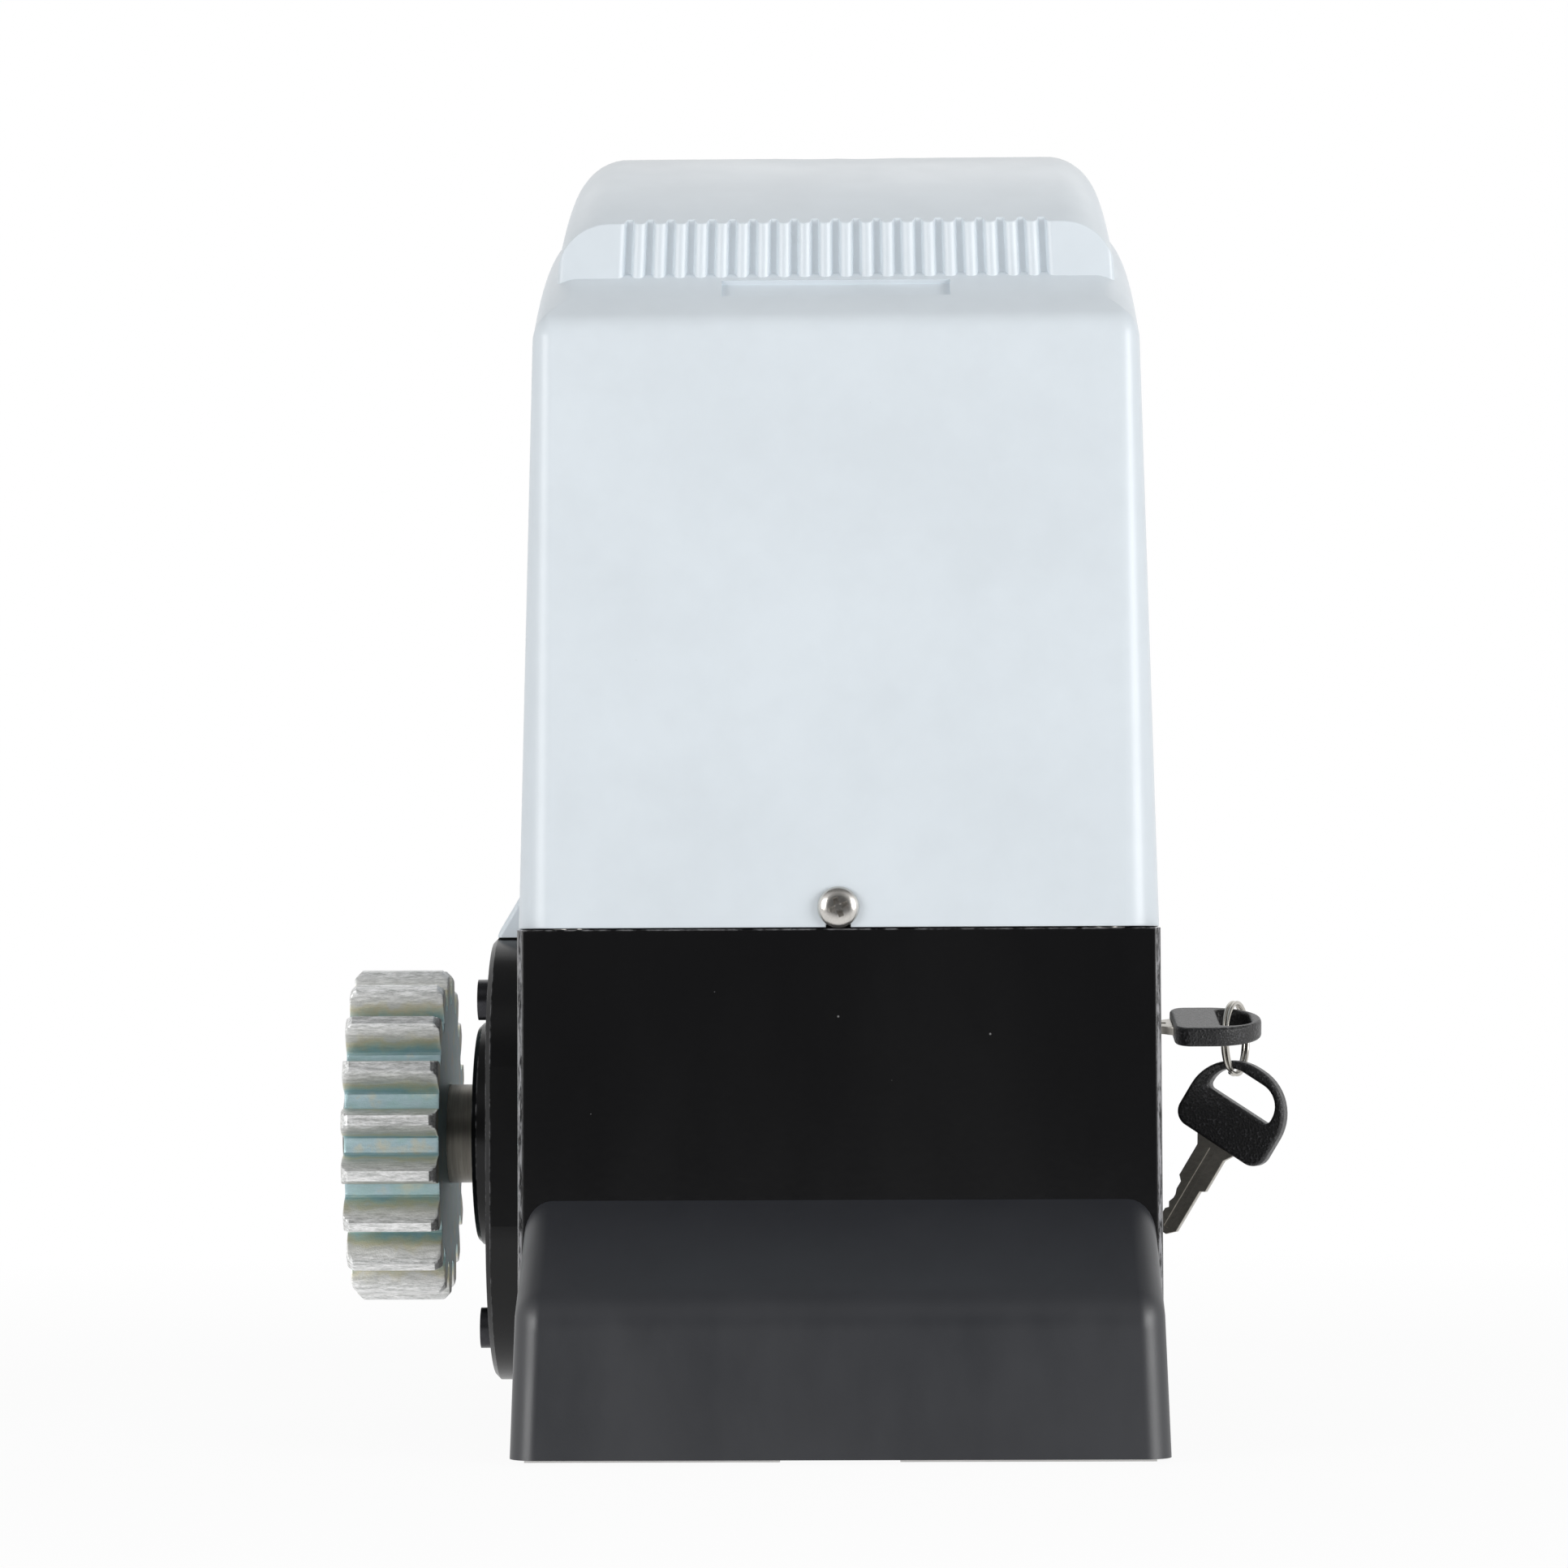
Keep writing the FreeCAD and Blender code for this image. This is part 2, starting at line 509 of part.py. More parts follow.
def make_casing():
    body = new_body("casing")
    block = new_sketch(body, "XY_Plane")
    draw_rectangle(block, "-casing_half_width", "-casing_half_length",
                   "casing_half_width", "casing_half_length", "casing_edge_radius")
    add_pad(body, block, "casing_height")
    feet = new_sketch(body, "XY_Plane")
    draw_rectangle(feet, "-foot_width / 2", "-(casing_half_length + foot_reach)",
                   "foot_width / 2", "casing_half_length + foot_reach")
    add_pad(body, feet, "foot_thickness")

    # gear chamber, dry chamber for the cables and the rebate that takes the lid
    chambers = new_sketch(body, "XY_Plane", "casing_height")
    side = "casing_half_width - casing_wall"
    end = "casing_half_length - casing_wall"
    draw_rectangle(chambers, "-(%s)" % side, "cross_wall_y + cross_wall_thickness / 2", side, end)
    draw_rectangle(chambers, "-(%s)" % side, "-(%s)" % end,
                   side, "cross_wall_y - cross_wall_thickness / 2")
    add_pocket(body, chambers, "casing_height - casing_floor")
    rebate = new_sketch(body, "XY_Plane", "casing_height")
    side = "casing_half_width - rebate_wall"
    end = "casing_half_length - rebate_wall"
    draw_rectangle(rebate, "-(%s)" % side, "-(%s)" % end, side, end)
    add_pocket(body, rebate, "casing_height - lid_seat")

    # columns for the lid screws, seats for the bearings and for the flange screws
    columns = new_sketch(body, "XY_Plane", "casing_floor / 2")
    for x, y in lid_screw_places()[:4]:
        draw_circle(columns, x, y, "lid_column_radius")
    add_pad(body, columns, "lid_seat - casing_floor / 2")
    seat = new_sketch(body, "XY_Plane", "casing_floor / 2")
    draw_circle(seat, "0", "worm_y", "foot_bearing_radius + bearing_seat_wall")
    add_pad(body, seat, "foot_bearing_height + foot_bearing_width + 1 - casing_floor / 2")
    boss = new_sketch(body, "YZ_Plane", "casing_half_width - casing_wall / 2")
    draw_circle(boss, "0", "shaft_height", "yard_bearing_radius + bearing_seat_wall")
    add_pad(body, boss, "casing_half_width - casing_wall / 2 - yard_bearing_face + 1", backward=True)
    bosses = new_sketch(body, "YZ_Plane", "-(casing_half_width - casing_wall / 2)")
    for y, z in flange_screw_places():
        draw_circle(bosses, y, z, "screw_boss_radius")
    add_pad(body, bosses, "casing_wall / 2 + screw_boss_length")

    # tabs that take the two lower cover screws
    tabs = new_sketch(body, "XY_Plane", "casing_height + tab_height")
    for low, high in (("-tab_face", "tab_thickness - tab_face"),
                      ("tab_face - tab_thickness", "tab_face")):
        draw_rectangle(tabs, "-tab_width / 2", low, "tab_width / 2", high)
    add_pad(body, tabs, "tab_height + tab_root", backward=True)

    # bores
    opening = new_sketch(body, "YZ_Plane", "-(casing_half_width + 1)")
    draw_circle(opening, "0", "shaft_height", "flange_opening_radius")
    add_pocket(body, opening, "casing_wall + 2", forward=True)
    tapped = new_sketch(body, "YZ_Plane", "-(casing_half_width + 1)")
    for y, z in flange_screw_places():
        draw_circle(tapped, y, z, "flange_screw_radius")
    add_pocket(body, tapped, "1 + casing_wall + screw_boss_length - 1", forward=True)
    bore = new_sketch(body, "YZ_Plane", "yard_bearing_face - 3")
    draw_circle(bore, "0", "shaft_height", "yard_bearing_radius")
    add_pocket(body, bore, "yard_bearing_width + 3", forward=True)
    bore = new_sketch(body, "XY_Plane", "foot_bearing_height")
    draw_circle(bore, "0", "worm_y", "foot_bearing_radius")
    add_pocket(body, bore, "foot_bearing_width + 2", forward=True)
    relief = new_sketch(body, "XY_Plane", "foot_bearing_height - 4")
    draw_circle(relief, "0", "worm_y", "foot_bearing_radius - bearing_ring")
    add_pocket(body, relief, "5", forward=True)
    lock_hole = new_sketch(body, "YZ_Plane", "casing_half_width + 1")
    draw_circle(lock_hole, "lock_y", "lock_height", "lock_radius + seat_gap / 2")
    add_pocket(body, lock_hole, "casing_wall + 2")
    lock_sink = new_sketch(body, "YZ_Plane", "casing_half_width + 1")
    draw_circle(lock_sink, "lock_y", "lock_height", "lock_flange_radius + seat_gap / 2")
    add_pocket(body, lock_sink, "lock_flange + 1")
    cable_hole = new_sketch(body, "XY_Plane", "-1")
    draw_circle(cable_hole, "0", "cable_y", "cable_hole_radius")
    add_pocket(body, cable_hole, "casing_floor + 2", forward=True)
    screws = new_sketch(body, "XY_Plane", "lid_seat + 1")
    for x, y in lid_screw_places():
        draw_circle(screws, x, y, "lid_screw_radius")
    add_pocket(body, screws, "17")
    tab_holes = new_sketch(body, "XZ_Plane", "0")
    draw_circle(tab_holes, "0", "cover_screw_height", "cover_screw_radius")
    add_pocket(body, tab_holes, "casing_length", symmetric=True)

    # anchor slots and the cable notch between the two lugs of each foot
    slots = new_sketch(body, "XY_Plane", "-1")
    half_run = "(anchor_slot_length - anchor_slot_width) / 2"
    for end in ("", "-"):
        for x in ("anchor_spacing / 2", "-anchor_spacing / 2"):
            draw_slot(slots, end + "(casing_half_length + anchor_setout)",
                      "%s - %s" % (x, half_run), "%s + %s" % (x, half_run),
                      "anchor_slot_width / 2", along="X")
    add_pocket(body, slots, "foot_thickness + 2", forward=True)
    notches = new_sketch(body, "XY_Plane", "-1")
    near, far = "casing_half_length + 1", "casing_half_length + foot_reach + 1"
    draw_rectangle(notches, "-foot_notch / 2", near, "foot_notch / 2", far)
    draw_rectangle(notches, "-foot_notch / 2", "-(%s)" % far, "foot_notch / 2", "-(%s)" % near)
    add_pocket(body, notches, "foot_thickness + 2", forward=True)
    keep("gearbox_casing", body)


def make_lid():
    body = new_body("lid")
    plate = new_sketch(body, "XY_Plane", "lid_bottom")
    draw_rectangle(plate, "-lid_half_width", "-lid_half_length", "lid_half_width", "lid_half_length")
    add_pad(body, plate, "lid_thickness")
    boss = new_sketch(body, "XY_Plane", "worm_bearing_height")
    draw_circle(boss, "0", "worm_y", "worm_bearing_radius + bearing_seat_wall - 1")
    add_pad(body, boss, "lid_boss_drop + 1")
    bore = new_sketch(body, "XY_Plane", "worm_bearing_height - 1")
    draw_circle(bore, "0", "worm_y", "worm_bearing_radius")
    add_pocket(body, bore, "worm_bearing_width + 1", forward=True)
    eye = new_sketch(body, "XY_Plane", "lid_top + 1")
    draw_circle(eye, "0", "worm_y", "worm_shaft_radius + lid_bearing_lip")
    add_pocket(body, eye)
    slot = new_sketch(body, "XY_Plane", "lid_top + 1")
    half_run = "(lid_slot_length - lid_slot_width) / 2"
    draw_slot(slot, "0", "cable_y - " + half_run, "cable_y + " + half_run, "lid_slot_width / 2")
    add_pocket(body, slot)
    screws = new_sketch(body, "XY_Plane", "lid_top + 1")
    for x, y in lid_screw_places():
        draw_circle(screws, x, y, "lid_screw_radius")
    add_pocket(body, screws)
    notches = new_sketch(body, "XY_Plane", "lid_top + 1")
    inner = "tab_face - tab_thickness - seat_gap"
    outer = "lid_half_length + 1"
    across = "tab_width / 2 + seat_gap"
    draw_rectangle(notches, "-(%s)" % across, inner, across, outer)
    draw_rectangle(notches, "-(%s)" % across, "-(%s)" % outer, across, "-(%s)" % inner)
    add_pocket(body, notches)
    small_holes = new_sketch(body, "XY_Plane", "lid_top + 1")
    for x, y in tie_bolt_places():
        draw_circle(small_holes, x, "worm_y + " + y, "tie_bolt_radius")
    draw_circle(small_holes, "filler_x", "filler_y", "filler_radius")
    draw_circle(small_holes, "-filler_x", "earth_screw_y", "lid_screw_radius")
    add_pocket(body, small_holes)
    keep("gearbox_lid", body)

    seal = new_body("lid_seal")
    ledge = new_sketch(seal, "XY_Plane", "lid_seat")
    draw_rectangle(ledge, "-lid_half_width", "-lid_half_length", "lid_half_width", "lid_half_length")
    add_pad(seal, ledge, "lid_gasket_thickness")
    holes = new_sketch(seal, "XY_Plane", "lid_bottom + 1")
    side = "casing_half_width - casing_wall"
    end = "lid_column_y - lid_column_radius"
    draw_rectangle(holes, "-(%s)" % side, "cross_wall_y + cross_wall_thickness / 2", side, end)
    draw_rectangle(holes, "-(%s)" % side, "-(%s)" % end,
                   side, "cross_wall_y - cross_wall_thickness / 2")
    add_pocket(seal, holes)
    screws = new_sketch(seal, "XY_Plane", "lid_bottom + 1")
    for x, y in lid_screw_places():
        draw_circle(screws, x, y, "lid_screw_radius")
    add_pocket(seal, screws)
    notches = new_sketch(seal, "XY_Plane", "lid_bottom + 1")
    draw_rectangle(notches, "-(%s)" % across, inner, across, outer)
    draw_rectangle(notches, "-(%s)" % across, "-(%s)" % outer, across, "-(%s)" % inner)
    add_pocket(seal, notches)
    keep("lid_gasket", seal)

    keep("lid_screws", group([
        cut(joined(rod((x, y, "lid_top"), "Z", "lid_screw_head", "lid_screw_head_radius"),
                   rod((x, y, "lid_seat - 14"), "Z", "lid_top - lid_seat + 14.5", "lid_screw_radius")),
            hexagon((x, y, "lid_top + lid_screw_head / 2"), "Z", "lid_screw_head", "lid_screw_radius"))
        for x, y in lid_screw_places()]))


def make_grommet():
    body = new_body("grommet")
    half_run = "(lid_slot_length - lid_slot_width) / 2"
    ends = ("0", "cable_y - " + half_run, "cable_y + " + half_run)
    sleeve = new_sketch(body, "XY_Plane", "lid_bottom")
    draw_slot(sleeve, *ends, "lid_slot_width / 2")
    add_pad(body, sleeve, "lid_thickness")
    lip = new_sketch(body, "XY_Plane", "lid_top")
    draw_slot(lip, *ends, "lid_slot_width / 2 + grommet_wall")
    add_pad(body, lip, "grommet_lip")
    eye = new_sketch(body, "XY_Plane", "lid_top + grommet_lip + 1")
    draw_slot(eye, *ends, "lid_slot_width / 2 - grommet_wall")
    add_pocket(body, eye)
    keep("cable_grommet", body)


# ---------------------------------------------------------------- output flange and bearings

def make_flange():
    outline = [("-flange_half_width", "shaft_height - flange_drop"),
               ("flange_half_width", "shaft_height - flange_drop"),
               ("flange_half_width", "shaft_height + flange_rise"),
               ("-flange_half_width", "shaft_height + flange_rise")]
    radii = ["flange_bottom_radius"] * 2 + ["flange_top_radius"] * 2
    body = new_body("flange")
    plate = new_sketch(body, "YZ_Plane", "flange_outer_face")
    draw_outline(plate, outline, radii)
    add_pad(body, plate, "flange_thickness")
    face = number("flange_outer_face")
    round_edges(body, "flange_edge", lambda edge: edge.BoundBox.XMax < face + 0.01, chamfer=True)
    boss = new_sketch(body, "YZ_Plane", "boss_face")
    draw_circle(boss, "0", "shaft_height", "boss_radius")
    add_pad(body, boss, "boss_height + 1")
    boss_face = number("boss_face")
    round_edges(body, "flange_edge", lambda edge: edge.BoundBox.XMax < boss_face + 0.01, chamfer=True)
    spigot = new_sketch(body, "YZ_Plane", "flange_inner_face - 1")
    draw_circle(spigot, "0", "shaft_height", "spigot_radius")
    add_pad(body, spigot, "spigot_length + 1")
    bore = new_sketch(body, "YZ_Plane", "gate_bearing_face")
    draw_circle(bore, "0", "shaft_height", "gate_bearing_radius")
    add_pocket(body, bore, "gate_bearing_width + spigot_length", forward=True)
    seat = new_sketch(body, "YZ_Plane", "boss_face - 1")
    draw_circle(seat, "0", "shaft_height", "seal_radius")
    add_pocket(body, seat, "seal_back - boss_face + 1", forward=True)
    eye = new_sketch(body, "YZ_Plane", "boss_face - 1")
    draw_circle(eye, "0", "shaft_height", "gate_bearing_radius - bearing_ring - bearing_shoulder")
    add_pocket(body, eye, forward=True)
    holes = new_sketch(body, "YZ_Plane", "flange_outer_face - 1")
    for y, z in flange_screw_places():
        draw_circle(holes, y, z, "flange_screw_radius + seat_gap / 2")
    add_pocket(body, holes, forward=True)
    sinks = new_sketch(body, "YZ_Plane", "flange_outer_face - 1")
    for y, z in flange_screw_places():
        draw_circle(sinks, y, z, "flange_screw_head_radius + clear_gap")
    add_pocket(body, sinks, "flange_screw_sink + 1", forward=True)
    keep("output_flange", body)

    gasket = new_body("gasket")
    sheet_outline = new_sketch(gasket, "YZ_Plane", "flange_inner_face")
    draw_outline(sheet_outline, outline, radii)
    add_pad(gasket, sheet_outline, "flange_gasket_thickness")
    openings = new_sketch(gasket, "YZ_Plane", "flange_inner_face - 1")
    draw_circle(openings, "0", "shaft_height", "flange_opening_radius")
    for y, z in flange_screw_places():
        draw_circle(openings, y, z, "flange_screw_radius + seat_gap / 2")
    add_pocket(gasket, openings, forward=True)
    keep("flange_gasket", gasket)

    seat_face = "flange_outer_face + flange_screw_sink"
    keep("flange_screws", group([
        cut(joined(rod((seat_face + " - flange_screw_head", y, z), "X",
                       "flange_screw_head", "flange_screw_head_radius"),
                   rod((seat_face + " - 0.5", y, z), "X", "flange_screw_length - 3",
                       "flange_screw_radius")),
            hexagon((seat_face + " - flange_screw_head - 0.5", y, z), "X",
                    "flange_screw_head / 2 + 0.5", "flange_screw_radius - 0.1"))
        for y, z in flange_screw_places()]))


def make_bearing(node, base, axis, width, outer, inner):
    """A shielded ball bearing: two rings with sunk shields between them on both faces."""
    step = dict(zip("XYZ", range(3)))[axis]
    bore = inner + " + running_gap"
    races = (outer + " - bearing_ring", inner + " + bearing_ring")

    def shield(level):
        start = list(base)
        start[step] = level
        return tube(start, axis, "bearing_groove + 1", *races)
    front = shield("(%s) - 1" % base[step])
    back = shield("(%s) + %s - bearing_groove" % (base[step], width))
    keep(node, cut(tube(base, axis, width, outer, bore), front, back))


def make_bearings():
    make_bearing("output_bearing_gate", ("gate_bearing_face", "0", "shaft_height"), "X",
                 "gate_bearing_width", "gate_bearing_radius", "shaft_radius")
    make_bearing("output_bearing_yard", ("yard_bearing_face", "0", "shaft_height"), "X",
                 "yard_bearing_width", "yard_bearing_radius", "tail_radius")
    make_bearing("worm_bearing_lower", ("0", "worm_y", "foot_bearing_height"), "Z",
                 "foot_bearing_width", "foot_bearing_radius", "worm_foot_radius")
    make_bearing("worm_bearing_upper", ("0", "worm_y", "worm_bearing_height"), "Z",
                 "worm_bearing_width", "worm_bearing_radius", "worm_shaft_radius")
    make_bearing("rotor_bearing_top", ("0", "worm_y", "end_cap_height"), "Z",
                 "top_bearing_width", "top_bearing_radius", "top_journal_radius")
    keep("shaft_seal", cut(
        tube(("seal_face", "0", "shaft_height"), "X", "seal_width", "seal_radius",
             "shaft_radius + running_gap"),
        tube(("seal_face - 1", "0", "shaft_height"), "X", "bearing_groove + 1",
             "seal_radius - bearing_ring / 2", "shaft_radius + bearing_ring / 2")))


# ---------------------------------------------------------------- output shaft and gears

def make_output_shaft():
    body = new_body("shaft")
    far = "pinion_far_face - circlip_thickness"
    add_turning(body, stepped([
        ("shaft_end", far, "shaft_radius"),
        (far, "pinion_far_face", "shaft_radius - circlip_bite"),
        ("pinion_far_face", "gate_bearing_back + end_gap", "shaft_radius"),
        ("gate_bearing_back + end_gap", "gate_bearing_back + end_gap + collar_width",
         "collar_radius"),
        ("gate_bearing_back + end_gap + collar_width", "yard_bearing_face - end_gap",
         "hub_shaft_radius"),
        ("yard_bearing_face - end_gap", "yard_bearing_face + yard_bearing_width - end_gap",
         "tail_radius")]))
    for start, end, radius in (("pinion_far_face + 1", "pinion_face - 1", "shaft_radius"),
                               ("sleeve_face + 2", "sleeve_end + clutch_travel - 1",
                                "hub_shaft_radius")):
        keyway = new_sketch(body, "XY_Plane", radius + " - key_depth")
        draw_rectangle(keyway, start, "-key_width / 2", end, "key_width / 2")
        add_pocket(body, keyway, "key_depth + 1", forward=True)
    bind(body, "Placement.Base.z", "shaft_height")
    keep("output_shaft", body)
    for node, start, end, radius in (
            ("pinion_key", "pinion_far_face + 1", "pinion_face - 1", "shaft_radius"),
            ("sleeve_key", "sleeve_face + 2", "sleeve_end + clutch_travel - 1",
             "hub_shaft_radius")):
        keep(node, box((start, "-key_width / 2", "shaft_height + %s - key_depth" % radius),
                       ("(%s) - (%s)" % (end, start), "key_width", "key_height")))
    ring = tube(("pinion_far_face - circlip_thickness", "0", "shaft_height"), "X",
                "circlip_thickness", "shaft_radius + circlip_reach", "shaft_radius - circlip_bite")
    gap = box(("pinion_far_face - circlip_thickness - 1", "-circlip_gap_width / 2",
               "shaft_height - shaft_radius - circlip_reach - 1"),
              ("circlip_thickness + 2", "circlip_gap_width", "shaft_radius"))
    keep("pinion_circlip", cut(ring, gap))


def involute(angle):
    return math.tan(angle) - angle


def gear_outline(teeth, module, thinning, root_radius, turn):
    """The closed outline of an involute gear about Z, with a tooth centred at turn (radians)."""
    pressure = math.radians(number("pressure_angle"))
    pitch_radius = module * teeth / 2
    base_radius = pitch_radius * math.cos(pressure)
    tip_radius = pitch_radius + module
    half_at_pitch = math.pi / (2 * teeth) - thinning / (2 * pitch_radius)

    def half_angle(radius):
        here = math.acos(min(1, base_radius / radius))
        return half_at_pitch + involute(pressure) - involute(here)

    def point(radius, angle):
        return Vector(radius * math.cos(angle), radius * math.sin(angle), 0)
    flank_start = max(base_radius, root_radius)
    flank_middle = (flank_start + tip_radius) / 2
    edges = []
    for tooth in range(teeth):
        centre = turn + 2 * math.pi * tooth / teeth
        following = centre + 2 * math.pi / teeth
        low, middle, high = (half_angle(r) for r in (flank_start, flank_middle, tip_radius))
        if flank_start > root_radius:
            edges.append(Part.LineSegment(point(root_radius, centre - low),
                                          point(flank_start, centre - low)))
        edges.append(Part.Arc(point(flank_start, centre - low),
                              point(flank_middle, centre - middle),
                              point(tip_radius, centre - high)))
        edges.append(Part.Arc(point(tip_radius, centre - high), point(tip_radius, centre),
                              point(tip_radius, centre + high)))
        edges.append(Part.Arc(point(tip_radius, centre + high),
                              point(flank_middle, centre + middle),
                              point(flank_start, centre + low)))
        if flank_start > root_radius:
            edges.append(Part.LineSegment(point(flank_start, centre + low),
                                          point(root_radius, centre + low)))
        edges.append(Part.Arc(point(root_radius, centre + low),
                              point(root_radius, (centre + following) / 2),
                              point(root_radius, following - low)))
    return Part.Wire([edge.toShape() for edge in edges])


def along_x(start, height):
    """The placement that stands a shape made about Z along X, from start, at a height."""
    return Placement(Vector(start, 0, height), Rotation(Vector(0, 1, 0), 90))


def make_pinion():
    module, width = number("pinion_module"), number("pinion_width")
    teeth = int(number("pinion_teeth"))
    tip_radius = module * teeth / 2 + module
    turn = math.pi + math.radians(number("pinion_phase"))
    outline = gear_outline(teeth, module, number("tooth_thinning"),
                           module * teeth / 2 - 1.25 * module, turn)
    prism = Part.Face(outline).extrude(Vector(0, 0, width))
    blank = Part.makeCylinder(tip_radius, width)
    rims = [edge for edge in blank.Edges if isinstance(edge.Curve, Part.Circle)]
    shape = prism.common(blank.makeChamfer(number("pinion_chamfer"), rims))
    shape = shape.cut(Part.makeCylinder(number("shaft_radius"), width))
    key_top = number("shaft_radius - key_depth + key_height + seat_gap")
    half_key = number("key_width") / 2
    keyway = Part.makeBox(key_top, 2 * half_key, width, Vector(-key_top, -half_key, 0))
    shape_node("pinion", shape.cut(keyway),
               along_x(number("pinion_far_face"), number("shaft_height")))


def ring_sector(inner, outer, half_angle, height, centre):
    """A sector of a ring about Z, centred at an angle in degrees."""
    wedge = Part.makeCylinder(outer, height, Vector(), Vector(0, 0, 1), 2 * half_angle)
    wedge.rotate(Vector(), Vector(0, 0, 1), centre - half_angle)
    return wedge.cut(Part.makeCylinder(inner, height))


def make_worm_wheel():
    module, width = number("worm_module"), number("wheel_width")
    teeth = int(number("wheel_teeth"))
    lead = math.atan(module / (2 * number("worm_pitch_radius")))
    twist = width / 2 * math.tan(lead) / number("wheel_pitch_radius")
    ends = []
    for level, turn in ((-width / 2, -twist), (width / 2, twist)):
        wire = gear_outline(teeth, module, number("mesh_gap"), number("wheel_root_radius"),
                            math.pi / 2 + turn)
        wire.translate(Vector(0, 0, level))
        ends.append(wire)
    rim = Part.makeLoft(ends, True, True)
    hub_width, hub_radius = number("wheel_hub_width"), number("wheel_hub_radius")
    hub = Part.makeCylinder(hub_radius, hub_width, Vector(0, 0, -hub_width / 2))
    dogs = []
    for step in range(int(number("dog_count"))):
        dog = ring_sector(number("dog_inner_radius"), number("dog_outer_radius"),
                          number("dog_half_angle"), number("dog_height + 1"),
                          360 / number("dog_count") * step)
        dog.translate(Vector(0, 0, number("hub_face - 1")))
        dogs.append(dog)
    shape = rim.multiFuse([hub] + dogs)
    bore = Part.makeCylinder(number("hub_shaft_radius"), 2 * hub_width, Vector(0, 0, -hub_width))
    shape_node("worm_wheel", shape.cut(bore), along_x(0, number("shaft_height")))


def make_worm_shaft():
    """The rotor's shaft, with the worm cut on its lower end, turned about Z from its foot up."""
    steps = [("foot_bearing_height - 2", "foot_bearing_height + foot_bearing_width + end_gap",
              "worm_foot_radius"),
             ("foot_bearing_height + foot_bearing_width + end_gap", "worm_start - worm_runout",
              "worm_collar_radius"),
             ("worm_start - worm_runout", "worm_end + worm_runout", "worm_root_radius"),
             ("worm_end + worm_runout", "worm_bearing_height - end_gap", "worm_collar_radius"),
             ("worm_bearing_height - end_gap", "end_cap_height - 4", "worm_shaft_radius"),
             ("end_cap_height - 4", "end_cap_height + top_bearing_width", "top_journal_radius")]
    shape = None
    for start, end, radius in steps:
        piece = Part.makeCylinder(number(radius), number("%s - (%s)" % (end, start)),
                                  Vector(0, 0, number(start)))
        shape = piece if shape is None else shape.fuse(piece)
    pitch, root = number("worm_pitch"), number("worm_root_radius")
    tip, middle = number("worm_tip_radius"), number("worm_pitch_radius")
    slope = math.tan(math.radians(number("pressure_angle")))
    half_at_pitch = pitch / 4 - number("mesh_gap") / 2
    sunk = root - 0.5
    low, high = (half_at_pitch + (middle - radius) * slope for radius in (sunk, tip))
    start = number("worm_start")
    corners = [Vector(sunk, 0, start - low), Vector(tip, 0, start - high),
               Vector(tip, 0, start + high), Vector(sunk, 0, start + low)]
    profile = Part.makePolygon(corners + corners[:1])
    helix = Part.makeHelix(pitch, pitch * number("worm_turns"), middle)
    helix.translate(Vector(0, 0, start))
    thread = Part.Wire(helix.Edges).makePipeShell([profile], True, True)
    shape_node("worm_shaft", shape.fuse(thread).removeSplitter(),
               Placement(Vector(0, number("worm_y"), 0), Rotation()))


def make_clutch():
    body = new_body("sleeve")
    rim, groove, face = "sleeve_face + sleeve_rim", "sleeve_rim + sleeve_groove_width", "sleeve_face"
    add_turning(body, stepped([
        (face, rim, "sleeve_flange_radius"),
        (rim, "%s + %s" % (face, groove), "sleeve_groove_radius"),
        ("%s + %s" % (face, groove), "sleeve_end", "sleeve_flange_radius")]))
    bore = new_sketch(body, "YZ_Plane", face + " - 1")
    draw_circle(bore, "0", "0", "hub_shaft_radius + running_gap")
    add_pocket(body, bore, forward=True)
    keyway = new_sketch(body, "YZ_Plane", face + " - 1")
    draw_rectangle(keyway, "-(key_width / 2 + slide_gap)", "0", "key_width / 2 + slide_gap",
                   "hub_shaft_radius - key_depth + key_height + slide_gap")
    add_pocket(body, keyway, forward=True)
    bind(body, "Placement.Base.z", "shaft_height")
    dogs = []
    for step in range(int(number("dog_count"))):
        dog = ring_sector(number("dog_inner_radius"), number("dog_outer_radius"),
                          number("dog_half_angle"), number("dog_height + 1"),
                          360 / number("dog_count") * (step + 0.5))
        dogs.append(dog)
    dog_ring = doc.addObject("Part::Feature", "sleeve_dogs")
    dog_ring.Shape = Part.makeCompound(dogs)
    dog_ring.Placement = along_x(number("sleeve_face - dog_height"), number("shaft_height"))
    keep("clutch_sleeve", joined(body, dog_ring))


